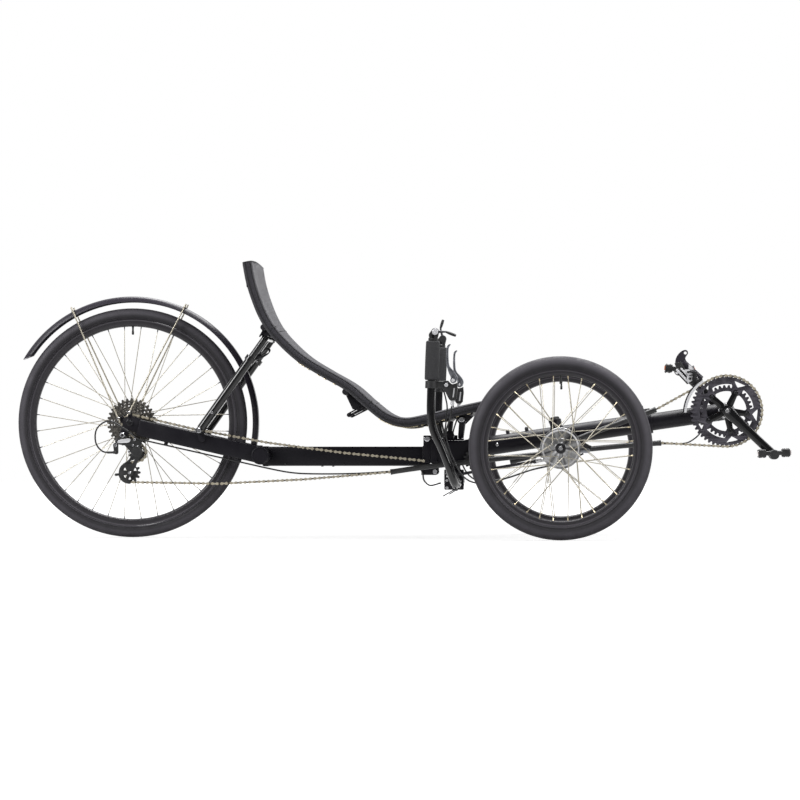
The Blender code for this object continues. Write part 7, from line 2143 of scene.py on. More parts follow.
def seat_frame():
    """Side rails, cross tubes, and the lugs of the pivot, the struts and the knee."""
    shells, plugs = [], []
    for sign in (-1, 1):
        path, ahead, _ = rail_line(8, sign * SEAT_HALF)
        shells.append(tube(path, RAIL_RADIUS, 24))
        for end, way in ((path[0], -ahead[0]), (path[-1], ahead[-1])):
            plugs.append(lathe(
                [(0.0092, -0.001), (0.0094, 0.0008), (0.0082, 0.0022), (0.005, 0.0026)],
                end, way, 24,
            ))
    crosses = (
        (-0.8407, 0.722, 0.003, -0.006), (-0.785, 0.574, 0.018, -0.004), (-0.572, 0.4095, 0.01, -0.014),
        (-0.305, 0.337, -0.002, -0.0095), (-0.245, 0.3512, -0.001, -0.0095),
    )
    for x, z, back, drop in crosses:
        half = np.array([
            (x, -SEAT_HALF, z),
            (x - back * 0.75, -SEAT_HALF + 0.018, z + drop * 0.75),
            (x - back, -SEAT_HALF + 0.035, z + drop),
        ])
        shells.append(tube(smooth(both_halves(half), 7), 0.0085, 22, (0, 0, 1)))
    opening = unit(row(-0.366, -0.456)) * 0.01
    head = row(STRUT_HEAD[0], STRUT_HEAD[2])
    for sign in (-1, 1):
        shells.append(plate([
            capsule((SEAT_PIVOT[0], SEAT_PIVOT[2]), (-0.244, 0.341), 0.0125, 0.0075, 14),
            circle(SEAT_PIVOT[0], SEAT_PIVOT[2], 0.0086, 28),
        ], sign * 0.074, sign * 0.08, 0.0008))
        away = unit(row(-0.803, 0.57) - head)
        side = row(-away[1], away[0])
        mouth = unit(opening)
        square = row(-mouth[1], mouth[0])
        bend = np.linspace(0, math.pi, 13)[:, None]
        notch = head + 0.0056 * (np.cos(bend) * square - np.sin(bend) * mouth)
        hook = np.concatenate([
            [head + mouth * 0.0082 + square * 0.0056],
            notch,
            [head + mouth * 0.0082 - square * 0.0056],
            [head + mouth * 0.003 - square * 0.0096],
            [head + away * 0.024 - side * 0.008],
            [head + away * 0.0305],
            [head + away * 0.024 + side * 0.008],
            [head + mouth * 0.003 + square * 0.0096],
        ])
        shells.append(plate([hook], sign * 0.1118, sign * 0.1158, 0.0004))
        shells.append(plate(
            [capsule((-0.816, 0.547), (-0.803, 0.565), 0.002, 0.0044)],
            sign * 0.1185, sign * 0.122, 0.0006,
        ))
        cover = capsule((-0.801, 0.559), (-0.788, 0.557), 0.01, 0.011, 14)
        shells.append(plate([cover], sign * 0.1175, sign * 0.1195, 0.0006))
        bracket = np.array([(-0.59, 0.396), (-0.547, 0.379), (-0.548, 0.348), (-0.568, 0.35)])
        shells.append(plate([bracket], sign * 0.06, sign * 0.066, 0.0008))
        shells.append(plate(
            [
                capsule((-0.535, 0.357), (-0.578, 0.3345), 0.0066, 0.0058, 14),
                capsule((-0.55, 0.3492), (-0.57, 0.3387), 0.0022, 0.0022, 10),
            ],
            sign * 0.059, sign * 0.067, 0.001,
        ))
    piece("seat_tubes", shells, "seat", "Powder coat", "seat_frame")
    for sign in (-1, 1):
        plugs.append(rod_y(-0.542, 0.354, sign * 0.058, sign * 0.068, 0.003))
    piece("seat_plugs", plugs, "seat", "Moulded plastic")


COVER_WALL = 0.0026
COVER_DIP = 0.0085
WRAP_RADIUS = RAIL_RADIUS + 0.0006 + COVER_WALL / 2
TOP_FADE = 0.045
TOP_BOW = 0.0052


def cover_curve(count=61):
    """The cover's cross section: an arc round each rail, then a dip of (1 - share^2) to a power."""
    round_rail = arc(SEAT_HALF, 0, WRAP_RADIUS, -86, 90, 23)
    share = np.linspace(1, 0, count)[1:, None]
    flat = np.concatenate([share * SEAT_HALF, WRAP_RADIUS - COVER_DIP * (1 - share ** 2) ** 1.7], 1)
    half = np.concatenate([round_rail, flat])
    return np.concatenate([half[:-1] * row(-1, 1), half[::-1]])


def top_arch(curve, gone):
    """How far the dip is taken out near the top, and how far that edge bows up; both fade as exp(-s^2)."""
    near_top = np.exp(-(np.asarray(gone, float)[:, None] / TOP_FADE) ** 2)
    inside = np.abs(curve[:, 0]) < SEAT_HALF
    level = np.where(inside, WRAP_RADIUS - curve[:, 1], 0) * near_top
    bow = np.where(inside, 1 - (curve[:, 0] / SEAT_HALF) ** 2, 0) * near_top * TOP_BOW
    return level, bow


def seat_cover():
    """The sling: its cross section carried along the rails, with a soft ripple along the laced edges."""
    path, ahead, above = rail_line(16)
    path = path + ahead * (np.linspace(-1, 1, len(path)) ** 9)[:, None] * 0.004
    curve = cover_curve()
    gone, cross = gone_along(path), gone_along(curve)
    normal = unit(np.stack([-np.gradient(curve[:, 1]), np.gradient(curve[:, 0])], 1))
    share = np.abs(curve[:, 0]) / SEAT_HALF
    slack = np.clip(1 - share, 0, 1) * np.clip(share, 0, 1) * 4
    rise = 0.0009 * np.sin(gone[:, None] * 61 + curve[:, 0] * 9) * slack
    rise += 0.0006 * np.sin(gone[:, None] * 23 + 1.3 - np.abs(curve[:, 0]) * 30) * slack
    shells, layers = [], []
    level, bow = top_arch(curve, gone)
    for way in (-1, 1):
        offset = rise + way * COVER_WALL / 2
        flat = curve[:, None] + normal[:, None] * offset.T[..., None]
        height = flat[..., 1].T + level
        points = path[:, None] + above[:, None] * height[..., None] + Y_AXIS * flat[..., 0].T[..., None]
        points = points - ahead[:, None] * bow[..., None]
        layers.append(points)
    loop = np.concatenate([layers[0], layers[1][:, ::-1]], 1)
    rows = np.broadcast_to(gone[:, None], (len(gone), len(cross)))
    columns = np.broadcast_to(cross, (len(gone), len(cross)))
    uv = np.stack([np.concatenate([columns, columns[:, ::-1]], 1), np.concatenate([rows, rows], 1)], -1)
    shells.append(grid(loop))
    made = piece("seat_sling", shells, "seat", "Seat mesh", "seat_cover", angle=60, uv=uv.reshape(-1, 2))


def seat_trim():
    """Bound edges round the sling, its seams, the laces and rings under it, and the back strap's loop."""
    curve = cover_curve()
    bindings = []
    for end, spot in ((0, -0.002), (-1, 0.002)):
        path, ahead, above = rail_line(16)
        level, bow = top_arch(curve, [0.0 if end == 0 else 1.0])
        line = path[end] + above[end] * (curve[:, 1:] + level.T) + Y_AXIS * curve[:, :1]
        line = line + ahead[end] * (spot * 1.5 - bow.T)
        bindings.append(tube(line, 0.0021, 10, (1, 0, 0.3)))
    path, ahead, above = rail_line(10)
    side = RAIL_RADIUS + COVER_WALL + 0.001
    seams = [(-curve[0, 0], curve[0, 1], 0.0019), (0.156, 0.0113, 0.0008)]
    for degrees, thick in ((40, 0.0012), (-22, 0.0011)):
        angle = math.radians(degrees)
        seams.append((SEAT_HALF + side * math.cos(angle), side * math.sin(angle), thick))
    for sign in (-1, 1):
        for across, height, thick in seams:
            line = path + above * (height - 0.0002) + Y_AXIS * (sign * across)
            bindings.append(tube(line, thick, 8))
    strap = row(-0.8455, -SEAT_HALF + 0.004, 0.686)
    bindings.append(block(
        strap - row(-0.0012, 0, 0.0085),
        strap + row(-0.0012, 0, 0.0085),
        0.02, 0.0034, 0.001, 0.0006, (1, 0, 0),
    ))
    seam_path, _, seam_above = rail_line(1)
    for number in CROSS_SEAMS:
        line = seam_path[number] + seam_above[number] * (curve[:, 1:] + 0.0014)
        bindings.append(tube(line + Y_AXIS * curve[:, :1] * 1.004, 0.0011, 8, (1, 0, 0.3)))
    piece("seat_binding", bindings, "seat", "Piping")
    rings = []
    path, ahead, above = rail_line(16)
    marks = spread(np.concatenate([path, ahead, above], 1), spacing=0.043)[1:-1]
    shown = (marks[:, 0] > -0.7) & ((marks[:, 0] < -0.59) | (marks[:, 0] > -0.48))
    place, way, face = marks[:, :3], unit(marks[:, 3:6]), unit(marks[:, 6:9])
    sides = np.where(np.arange(len(place)) % 2 == 0, 1, -1)
    for sign in (-1, 1):
        eye = place - face * 0.0142 + Y_AXIS * sign * (SEAT_HALF - 0.002)
        ring = lathe(washer(0.0021, 0.0046, 0.0008), (0, 0, 0), (0, 0, 1), 14, ring=True)
        frames = np.stack([way, np.broadcast_to(Y_AXIS, way.shape), face], -1)
        rings.append(stamp(ring, eye[shown], frames[shown]))
    cross = place - face * 0.0118 + Y_AXIS * (sides * (SEAT_HALF - 0.009))[:, None]
    piece("seat_lace", [tube(smooth(cross, 10), 0.0014, 8, (0, 0, 1))], "seat", "Piping")
    piece("seat_eyelets", rings, "seat", "Brass")


def seat_mount():
    """Front seat support on the head block: two stays, the pivot tube, and the post in its clamp."""
    shells = [
        box((-0.329, -0.02, 0.2655), (-0.2665, 0.02, 0.2704), 0.0024, 0.0012),
        lathe([
            (0.0142, 0), (0.015, 0.0008), (0.015, 0.018), (0.0146, 0.0186), (0.0146, 0.0198),
            (0.015, 0.0204), (0.015, 0.0236), (0.0142, 0.0244),
        ], (-0.309, 0, 0.267), (0, 0, 1), 48),
        box((-0.296, -0.006, 0.27), (-0.2841, 0.006, 0.2799), 0.003, 0.0012),
        rod((-0.305, 0, 0.27), (-0.305, 0, 0.3185), 0.006, 0.0006, 24),
        rod_y(SEAT_PIVOT[0], SEAT_PIVOT[2], -0.086, 0.086, 0.008, 0.0008, 32),
    ]
    metal = []
    for sign in (-1, 1):
        foot, top = row(-0.275, sign * 0.011, 0.2735), row(SEAT_PIVOT[0], sign * 0.056, SEAT_PIVOT[2])
        shells.append(rod(foot, top, 0.0077, 0.0008, 28))
        metal.append(bolt((SEAT_PIVOT[0], sign * 0.0855, SEAT_PIVOT[2]), (0, sign, 0), 0.0072, 0.0034))
        metal.append(bolt((-0.296, sign * 0.0058, 0.275), (0, sign, 0), 0.0034, 0.0026))
    ridge = []
    teeth = FULL_TURN * np.arange(28) / 28
    starts = np.stack([-0.309 + 0.0149 * np.cos(teeth), 0.0149 * np.sin(teeth), np.full(28, 0.269)], 1)
    ridge.append(rods(starts, starts + row(0, 0, 0.015), 0.0009, 6))
    for x in (-0.325, -0.271):
        for sign in (-1, 1):
            metal.append(bolt((x, sign * 0.015, 0.2702), (0, 0, 1), 0.0034, 0.0024))
    piece("seat_support", shells, "front_frame", "Powder coat", "seat_mount")
    piece("post_collar_knurl", ridge, "front_frame", "Powder coat")
    piece("seat_support_bolts", metal, "front_frame", "Chrome")


STRUT_AXIS = unit(STRUT_HEAD - STRUT_FOOT)
STRUT_LENGTH = float(np.linalg.norm(STRUT_HEAD - STRUT_FOOT))


def strut_point(reach, y):
    """A point on a strut, at a distance from its foot."""
    return STRUT_FOOT + STRUT_AXIS * reach + Y_AXIS * y


def struts():
    """Lower tubes with foot eyes and clamps, upper tubes with their bar and pins, and the clamp lever."""
    split = 0.245
    for name, sign in SIDES:
        y = sign * STRUT_Y
        lower = [(0.0108, 0), (0.0115, 0.0008), (0.0115, 0.238), (0.0101, 0.239), (0.0101, 0.1)]
        collar = [(0.0116, 0), (0.014, 0), (0.0145, 0.0006), (0.0145, 0.0134), (0.014, 0.014), (0.01, 0.014)]
        ear = strut_point(split - 0.007, y - sign * 0.015)
        shells = [
            lathe(lower, strut_point(0.006, y), STRUT_AXIS, 40),
            rod_y(STRUT_FOOT[0], STRUT_FOOT[2], y - 0.0122, y + 0.0122, 0.0095, 0.0008, 32),
            lathe(collar, strut_point(split - 0.014, y), STRUT_AXIS, 40, ring=True),
            block(
                ear - STRUT_AXIS * 0.0058, ear + STRUT_AXIS * 0.0058, 0.0116, 0.0116, 0.003, 0.0012,
                (0, 1, 0),
            ),
        ]
        piece("%s_strut_tube" % name, shells, "strut_lower", "Gloss paint", "strut_lower_" + name)
        piece("%s_strut_bolts" % name, [
            bolt(ear - Y_AXIS * sign * 0.0056, (0, -sign, 0), 0.004, 0.0024),
            bolt(strut_point(0.06, y + sign * 0.0112), (0, sign, 0), 0.0036, 0.0016),
        ], "strut_lower", "Chrome")
    shells, marks = [], []
    for sign in (-1, 1):
        y = sign * STRUT_Y
        shells.append(rod(strut_point(0.115, y), strut_point(STRUT_LENGTH + 0.004, y), 0.0093, 0.001, 32))
        pin_from, pin_to = sorted((y, y + sign * 0.0153))
        shells.append(rod_y(STRUT_HEAD[0], STRUT_HEAD[2], pin_from, pin_to, 0.004))
        for n in range(4):
            marks.append(lathe(
                [(0.00935, 0), (0.0095, 0.0003), (0.0095, 0.0007), (0.00935, 0.001)],
                strut_point(0.256 + 0.012 * n, y),
                STRUT_AXIS, 32,
            ))
    bar = strut_point(STRUT_LENGTH - 0.004, 0)
    shells.append(rod_y(bar[0], bar[2], -STRUT_Y, STRUT_Y, 0.007, 0.0006, 28))
    piece("strut_fork", shells, "strut_upper", "Gloss paint", "strut_upper")
    piece("strut_rings", marks, "strut_upper", "Moulded plastic")
    x, y, z = -0.8395, -0.0827, 0.492
    outline = smooth([
        (x - 0.006, z - 0.0045), (x + 0.004, z - 0.0085), (x + 0.022, z - 0.0045), (x + 0.04, z + 0.0055),
        (x + 0.048, z + 0.0145), (x + 0.0485, z + 0.0215), (x + 0.042, z + 0.0245), (x + 0.033, z + 0.0215),
        (x + 0.022, z + 0.012), (x + 0.01, z + 0.0065), (x - 0.002, z + 0.005), (x - 0.006, z - 0.0045),
    ], 5)[:-1]
    piece("strut_lever_arm", [
        plate([
            outline,
            capsule((x + 0.0275, z + 0.007), (x + 0.04, z + 0.0155), 0.0036, 0.0042),
        ], y + 0.0026, y + 0.007, 0.0008),
        rod_y(x, z, y + 0.002, y + 0.0078, 0.005),
    ], "strut_clamp_lever", "Dark steel", "strut_clamp_lever")


def guide_way(x):
    """Where the rear gear cable passes its guides below the chainstay."""
    drop = 0.0225 / math.cos(STAY_SLOPE) + 0.008
    return (x, -STAY_Y, CROSS_TUBE[2] + (STAY_START - x) * math.tan(STAY_SLOPE) - drop)


def cables():
    """Brake cables to both drums, and gear cables to both derailleurs."""
    for name, sign in SIDES:
        route = np.array([
            (-0.2908, BAR_Y, 0.356), (-0.2935, BAR_Y, 0.33), (-0.306, BAR_Y, 0.285), (-0.299, BAR_Y, 0.245),
            (-0.282, BAR_Y, 0.205), (-0.26, BAR_Y, 0.168), (-0.22, 0.278, 0.15), (-0.15, 0.292, 0.162),
            (-0.08, 0.306, 0.185), (-0.02, 0.314, 0.199), (0.03, HALF_TRACK - 0.048, FRONT_RADIUS - 0.028),
            (0.06, HALF_TRACK - 0.04, FRONT_RADIUS - 0.014),
        ]) * row(1, sign, 1)
        cable("%s_brake_line" % name, route, BRAKE_HOUSING, "handlebar", "brake_cable_" + name)
    rear = [
        (-0.386, -0.04, 0.19), (-0.44, -0.04, 0.183), (-0.56, -0.04, 0.175), (-0.68, -0.04, 0.174),
        (-0.74, -0.06, 0.178), *[guide_way(x) for x in (-0.8, -0.84, -0.9, -0.98, -1.06, -1.1, -1.13)],
        (-1.152, -0.09, REAR_RADIUS - 0.045), (-1.174, -0.099, REAR_RADIUS - 0.026),
        (-1.225, -0.099, REAR_RADIUS + 0.004), (-1.26, -0.098, REAR_RADIUS - 0.016),
        (-1.264, -0.097, REAR_RADIUS - 0.054), (-1.245, -0.095, REAR_RADIUS - 0.079),
        (-1.215, -0.093, REAR_RADIUS - 0.081),
    ]
    cable("rear_gear_line", rear, BRAKE_HOUSING, "rear_frame", "rear_shift_cable")
    for name, sign in SIDES:
        route = np.array([
            (-0.32, 0.258, 0.406), (-0.3125, 0.256, 0.395), (-0.307, 0.256, 0.375), (-0.3034, 0.256, 0.35),
            (-0.308, 0.257, 0.3), (-0.313, 0.257, 0.27), (-0.304, 0.256, 0.24), (-0.292, 0.254, 0.205),
            (-0.282, 0.25, 0.178), (-0.274, 0.23, 0.161), (-0.272, 0.17, 0.155), (-0.272, 0.09, 0.155),
        ]) * row(1, sign, 1)
        cable("%s_shifter_line" % name, route, GEAR_HOUSING, "handlebar")
    front = [
        (0.27, -0.042, 0.256), (0.335, -0.04, 0.257), (0.362, -0.032, 0.268), (0.3815, -0.02, 0.2859),
        (0.392, -0.01, 0.306), (0.398, -0.004, 0.324),
    ]
    cable("front_gear_line", front, GEAR_HOUSING, "boom")
    lead = [
        (-0.332, 0.035, 0.148), (-0.36, 0.015, 0.142), (-0.375, -0.02, 0.156), (-0.378, -0.038, 0.176),
        (-0.385, -0.04, 0.1885),
    ]
    path = smooth(lead, 8)
    bend = ("front_frame", "handlebar", tuple(path[-1] + ORIGIN), tuple(path[0] + ORIGIN))
    made = piece("gear_line_lead", [tube(path, BRAKE_HOUSING / 2, 14)], bend, "Cable housing")


def cable_ties():
    """Plastic ties and their cut tails on the bar."""
    shells, tails = [], []
    for sign in (-1, 1):
        centre = row(-0.2835, sign * 0.235, 0.149)
        shells.append(lathe(washer(0.0112, 0.012, 0.0014), centre, (0, 1, 0), 32, ring=True))
        tails.append(block(
            centre + row(0.004, 0, -0.013),
            centre + row(-0.032, 0, -0.034),
            0.003, 0.0046, 0.001, 0.0006, (0, 1, 0),
        ))
    piece("bar_ties", shells, "handlebar", "Moulded plastic")
    piece("bar_tie_tails", tails, "handlebar", "Dark steel")


# Studio: where the floor and the room change, the lamps' places, aims and sizes, and the camera
FLOOR_DROP = -0.0005
FLOOR_FADE = (1.6, 4.0)
FLOOR_BEHIND = (-2.0, -0.4)
WORLD_BEHIND = (-0.15, 0.25)
SOFTBOXES = (
    ("key_softbox", (-3.6, -2.6, 2.6), (-0.3, 0.0, 0.35), (1.6, 2.4)),
    ("top_softbox", (0.4, 0.6, 3.4), (0.0, 0.0, 0.3), (3.2, 2.2)),
    ("side_softbox", (3.2, -2.2, 2.2), (0.2, 0.0, 0.35), (1.2, 2.2)),
)
CAMERA_PLACE = (0.45957, -9.5, 0.22)
LENS_SHIFT = (-0.2125, 0.07125)
SENSOR_WIDTH = 36


def ray_kinds(tree):
    """Sockets that are one for rays from the camera, and one for those that mirrors and glass send on."""
    rays = add(tree, "ShaderNodeLightPath").outputs
    return rays["Is Camera Ray"], maths(tree, "MAXIMUM", rays["Is Glossy Ray"], rays["Is Transmission Ray"])


def studio_floor(facts):
    """A white floor that glows to the camera, and to mirrors only behind the trike."""
    half = facts.floor_size / 2
    mesh = bpy.data.meshes.new("floor")
    mesh.from_pydata([
        (-half, -half, 0), (half, -half, 0), (half, half, 0), (-half, half, 0),
    ], [], [(0, 1, 2, 3)])
    floor = bpy.data.objects.new("floor", mesh)
    floor.location.z = FLOOR_DROP
    paint = bpy.data.materials.new("Studio floor")
    paint.use_nodes = True
    tree = paint.node_tree
    shader = tree.nodes["Principled BSDF"]
    shader.inputs["Base Color"].default_value = (*facts.floor_colour, 1)
    shader.inputs["Roughness"].default_value = 0.95
    shader.inputs["Specular IOR Level"].default_value = 0.0
    shader.inputs["Emission Color"].default_value = (1, 1, 1, 1)
    place = add(tree, "ShaderNodeTexCoord").outputs["Object"]
    distance = vector_maths(tree, "LENGTH", place, output="Value")
    reach = carried(tree, distance, *FLOOR_FADE, facts.floor_glow, 1.0, "SMOOTHSTEP")
    depth = add(tree, "ShaderNodeSeparateXYZ", {0: place}).outputs["Y"]
    behind = carried(tree, depth, *FLOOR_BEHIND, facts.front_glow, 1.0, "SMOOTHSTEP")
    from_camera, sent_on = ray_kinds(tree)
    in_mirrors = maths(tree, "MULTIPLY", behind, sent_on)
    seen = maths(tree, "MAXIMUM", from_camera, in_mirrors)
    tree.links.new(maths(tree, "MULTIPLY", reach, seen), shader.inputs["Emission Strength"])
    mesh.materials.append(paint)
    bpy.context.scene.collection.objects.link(floor)
    return floor


def studio_world(facts):
    """Plain light all round; the camera sees white, and mirrors see white behind and a dark room in front."""
    world = bpy.context.scene.world or bpy.data.worlds.new("Studio")
    bpy.context.scene.world = world
    world.use_nodes = True
    tree = world.node_tree
    tree.nodes.clear()
    place = add(tree, "ShaderNodeTexCoord").outputs["Generated"]
    depth = add(tree, "ShaderNodeSeparateXYZ", {0: place}).outputs["Y"]
    behind = carried(tree, depth, *WORLD_BEHIND, facts.front_glow, 1.0, "SMOOTHSTEP")
    from_camera, sent_on = ray_kinds(tree)
    seen = maths(tree, "MAXIMUM", from_camera, sent_on)
    strength = maths(tree, "MAXIMUM", behind, from_camera)
    light = add(tree, "ShaderNodeBackground", {"Color": (1, 1, 1, 1), "Strength": facts.world_strength})
    shown = add(tree, "ShaderNodeBackground", {"Color": (1, 1, 1, 1), "Strength": strength})
    mixed = add(tree, "ShaderNodeMixShader", {0: seen, 1: light.outputs[0], 2: shown.outputs[0]})
    out = add(tree, "ShaderNodeOutputWorld")
    tree.links.new(mixed.outputs[0], out.inputs["Surface"])


def stage():
    """Floor, world, camera, and lamps that light the trike alone, so that the floor has soft shadows only."""
    scene = bpy.context.scene
    facts = scene.trike_studio
    floor = studio_floor(facts)
    studio_world(facts)
    spared = bpy.data.collections.new("Spared by the lamps")
    spared.objects.link(floor)
    spared.collection_objects[0].light_linking.link_state = "EXCLUDE"
    powers = (facts.key_power, facts.top_power, facts.side_power)
    for (name, place, target, size), power in zip(SOFTBOXES, powers):
        lamp = bpy.data.lights.new(name, "AREA")
        lamp.shape = "RECTANGLE"
        lamp.size, lamp.size_y = size
        lamp.energy = power
        holder = bpy.data.objects.new(name, lamp)
        holder.location = place
        away = Vector(place) - Vector(target)
        holder.rotation_euler = away.to_track_quat("Z", "Y").to_euler()
        holder.light_linking.receiver_collection = spared
        scene.collection.objects.link(holder)

    lens = bpy.data.cameras.new("camera")
    lens.sensor_width = SENSOR_WIDTH
    lens.lens = facts.lens
    lens.shift_x, lens.shift_y = LENS_SHIFT
    camera = bpy.data.objects.new("camera", lens)
    camera.location = CAMERA_PLACE
    camera.rotation_euler = (math.pi / 2, 0, 0)
    scene.collection.objects.link(camera)
    scene.camera = camera
    scene.view_settings.view_transform = "Standard"


class TrikeColours(bpy.types.PropertyGroup):
    """Colours that the trike is made with."""

    frame_colour: FloatVectorProperty(
        name="Frame", description="Powder coat of the frame", subtype="COLOR", size=3, min=0, max=1,
        default=(0.0062, 0.0055, 0.0088),
    )
    gloss_colour: FloatVectorProperty(
        name="Bar and fender",
        description="Gloss paint of the handlebar and the fender",
        subtype="COLOR", size=3, min=0, max=1, default=(0.003, 0.0029, 0.0036),
    )
    tyre_colour: FloatVectorProperty(
        name="Tyres", description="Rubber of the tyres", subtype="COLOR", size=3, min=0, max=1,
        default=(0.064, 0.06, 0.07),
    )
    silver_colour: FloatVectorProperty(
        name="Aluminium", description="Bare aluminium parts", subtype="COLOR", size=3, min=0, max=1,
        default=(0.56, 0.56, 0.575),
    )
    chain_colour: FloatVectorProperty(
        name="Chain", description="Plates of the chain", subtype="COLOR", size=3, min=0, max=1,
        default=(0.58, 0.53, 0.42),
    )
    seat_colour: FloatVectorProperty(
        name="Seat", description="Yarn of the seat's mesh", subtype="COLOR", size=3, min=0, max=1,
        default=(0.0235, 0.022, 0.03),
    )
    fleck_colour: FloatVectorProperty(
        name="Seat flecks",
        description="Paler threads in the seat's mesh",
        subtype="COLOR", size=3, min=0, max=1, default=(0.084, 0.079, 0.1),
    )


class TrikeSizes(bpy.types.PropertyGroup):
    """Small sizes that have no CAD node."""

    spoke_diameter: FloatProperty(
        name="Spokes", description="Diameter of the spokes", default=0.0021, min=0.0012, max=0.003,
        unit="LENGTH", precision=4,
    )


class TrikeStudio(bpy.types.PropertyGroup):
    """The floor, the light and the camera."""

    floor_size: FloatProperty(
        name="Floor", description="Width of the floor", default=40.0, min=4.0, max=100.0, unit="LENGTH",
    )
    floor_colour: FloatVectorProperty(
        name="Floor colour", description="Colour of the floor", subtype="COLOR", size=3, min=0, max=1,
        default=(0.88, 0.88, 0.88),
    )
    floor_glow: FloatProperty(
        name="Floor glow",
        description="Light of the floor that only the camera and mirrors see",
        default=0.68, min=0.0, max=1.0,
    )
    front_glow: FloatProperty(
        name="Front glow",
        description="Light of the room in front, as polished metal mirrors it",
        default=0.12, min=0.0, max=1.0,
    )
    world_strength: FloatProperty(
        name="Surroundings",
        description="Strength of the light from all round",
        default=0.5, min=0.0, max=4.0,
    )
    key_power: FloatProperty(
        name="Key lamp", description="Power of the lamp in front", default=150.0, min=0.0, max=2000.0,
        unit="POWER",
    )
    top_power: FloatProperty(
        name="Top lamp", description="Power of the lamp above", default=240.0, min=0.0, max=2000.0,
        unit="POWER",
    )
    side_power: FloatProperty(
        name="Side lamp",
        description="Power of the lamp beside the cranks",
        default=80.0, min=0.0, max=2000.0, unit="POWER",
    )
    lens: FloatProperty(
        name="Lens", description="Focal length of the camera", default=155.74, min=20.0, max=400.0,
    )


def made_or_raise(build):
    """Run a builder, and raise an error if it leaves no new object."""
    before = len(bpy.data.objects)
    build()
    if len(bpy.data.objects) <= before:
        raise RuntimeError("%s made nothing" % build.__name__)
    return {"FINISHED"}


class MakeFrontWheels(bpy.types.Operator):
    """Build both front wheels."""

    bl_idname = "trike.front_wheels"
    bl_label = "Front wheels"

    def execute(self, context):
        return made_or_raise(front_wheels)


class MakeRearWheel(bpy.types.Operator):
    """Build the rear wheel."""

    bl_idname = "trike.rear_wheel"
    bl_label = "Rear wheel"

    def execute(self, context):
        return made_or_raise(rear_wheel)


class MakeRearAxle(bpy.types.Operator):
    """Build the rear axle and its nuts."""

    bl_idname = "trike.rear_axle"
    bl_label = "Rear axle"

    def execute(self, context):
        return made_or_raise(rear_axle)


class MakeFrontFrame(bpy.types.Operator):
    """Build the head block, the main tube and the boom's clamp."""

    bl_idname = "trike.front_frame"
    bl_label = "Front frame"

    def execute(self, context):
        return made_or_raise(front_frame)


class MakeFoldJoint(bpy.types.Operator):
    """Build the hinge pin and the latch bolt."""

    bl_idname = "trike.fold_joint"
    bl_label = "Fold joint"

    def execute(self, context):
        return made_or_raise(fold_joint)


class MakeRearBeam(bpy.types.Operator):
    """Build the rear beam and the cross tube."""

    bl_idname = "trike.rear_beam"
    bl_label = "Rear beam"

    def execute(self, context):
        return made_or_raise(rear_beam)


class MakeChainstays(bpy.types.Operator):
    """Build both chainstays and their dropouts."""

    bl_idname = "trike.chainstays"
    bl_label = "Chainstays"

    def execute(self, context):
        return made_or_raise(chainstays)


class MakeCrossBeams(bpy.types.Operator):
    """Build the beams out to the kingpins."""

    bl_idname = "trike.cross_beams"
    bl_label = "Cross beams"

    def execute(self, context):
        return made_or_raise(cross_beams)


class MakeKnuckles(bpy.types.Operator):
    """Build the kingpins, steering arms and stub axles."""

    bl_idname = "trike.knuckles"
    bl_label = "Knuckles"

    def execute(self, context):
        return made_or_raise(knuckles)


class MakeBrakeArms(bpy.types.Operator):
    """Build the small levers behind the drums."""

    bl_idname = "trike.brake_arms"
    bl_label = "Brake arms"

    def execute(self, context):
        return made_or_raise(brake_arms)


class MakeHandlebar(bpy.types.Operator):
    """Build the U bar, its stem and perches."""

    bl_idname = "trike.handlebar"
    bl_label = "Handlebar"

    def execute(self, context):
        return made_or_raise(handlebar)


class MakeGrips(bpy.types.Operator):
    """Build the foam grips."""

    bl_idname = "trike.grips"
    bl_label = "Grips"

    def execute(self, context):
        return made_or_raise(grips)


class MakeBrakeLevers(bpy.types.Operator):
    """Build the brake lever blades."""

    bl_idname = "trike.brake_levers"
    bl_label = "Brake levers"

    def execute(self, context):
        return made_or_raise(brake_levers)


class MakeShiftLevers(bpy.types.Operator):
    """Build the shifter levers."""

    bl_idname = "trike.shift_levers"
    bl_label = "Shift levers"

    def execute(self, context):
        return made_or_raise(shift_levers)


class MakeTieRods(bpy.types.Operator):
    """Build the tie rods and their joints."""

    bl_idname = "trike.tie_rods"
    bl_label = "Tie rods"

    def execute(self, context):
        return made_or_raise(tie_rods)


class MakeChain(bpy.types.Operator):
    """Build the chain link by link."""

    bl_idname = "trike.chain"
    bl_label = "Chain"

    def execute(self, context):
        return made_or_raise(chain)


class MakeChainTubes(bpy.types.Operator):
    """Build the tubes that the chain runs through."""

    bl_idname = "trike.chain_tubes"
    bl_label = "Chain tubes"

    def execute(self, context):
        return made_or_raise(chain_tubes)


class MakePulleys(bpy.types.Operator):
    """Build the idler and the derailleur's pulleys."""

    bl_idname = "trike.pulleys"
    bl_label = "Pulleys"

    def execute(self, context):
        return made_or_raise(pulleys)


class MakeCassette(bpy.types.Operator):
    """Build the eight cogs and their lock ring."""

    bl_idname = "trike.cassette"
    bl_label = "Cassette"

    def execute(self, context):
        return made_or_raise(cassette)


class MakeRearDerailleur(bpy.types.Operator):
    """Build the rear derailleur and its cage."""

    bl_idname = "trike.rear_derailleur"
    bl_label = "Rear derailleur"

    def execute(self, context):
        return made_or_raise(rear_derailleur)


class MakeFender(bpy.types.Operator):
    """Build the rear fender."""

    bl_idname = "trike.fender"
    bl_label = "Fender"

    def execute(self, context):
        return made_or_raise(fender)


class MakeFenderWires(bpy.types.Operator):
    """Build the fender's wire stays and clips."""

    bl_idname = "trike.fender_wires"
    bl_label = "Fender wires"

    def execute(self, context):
        return made_or_raise(fender_wires)


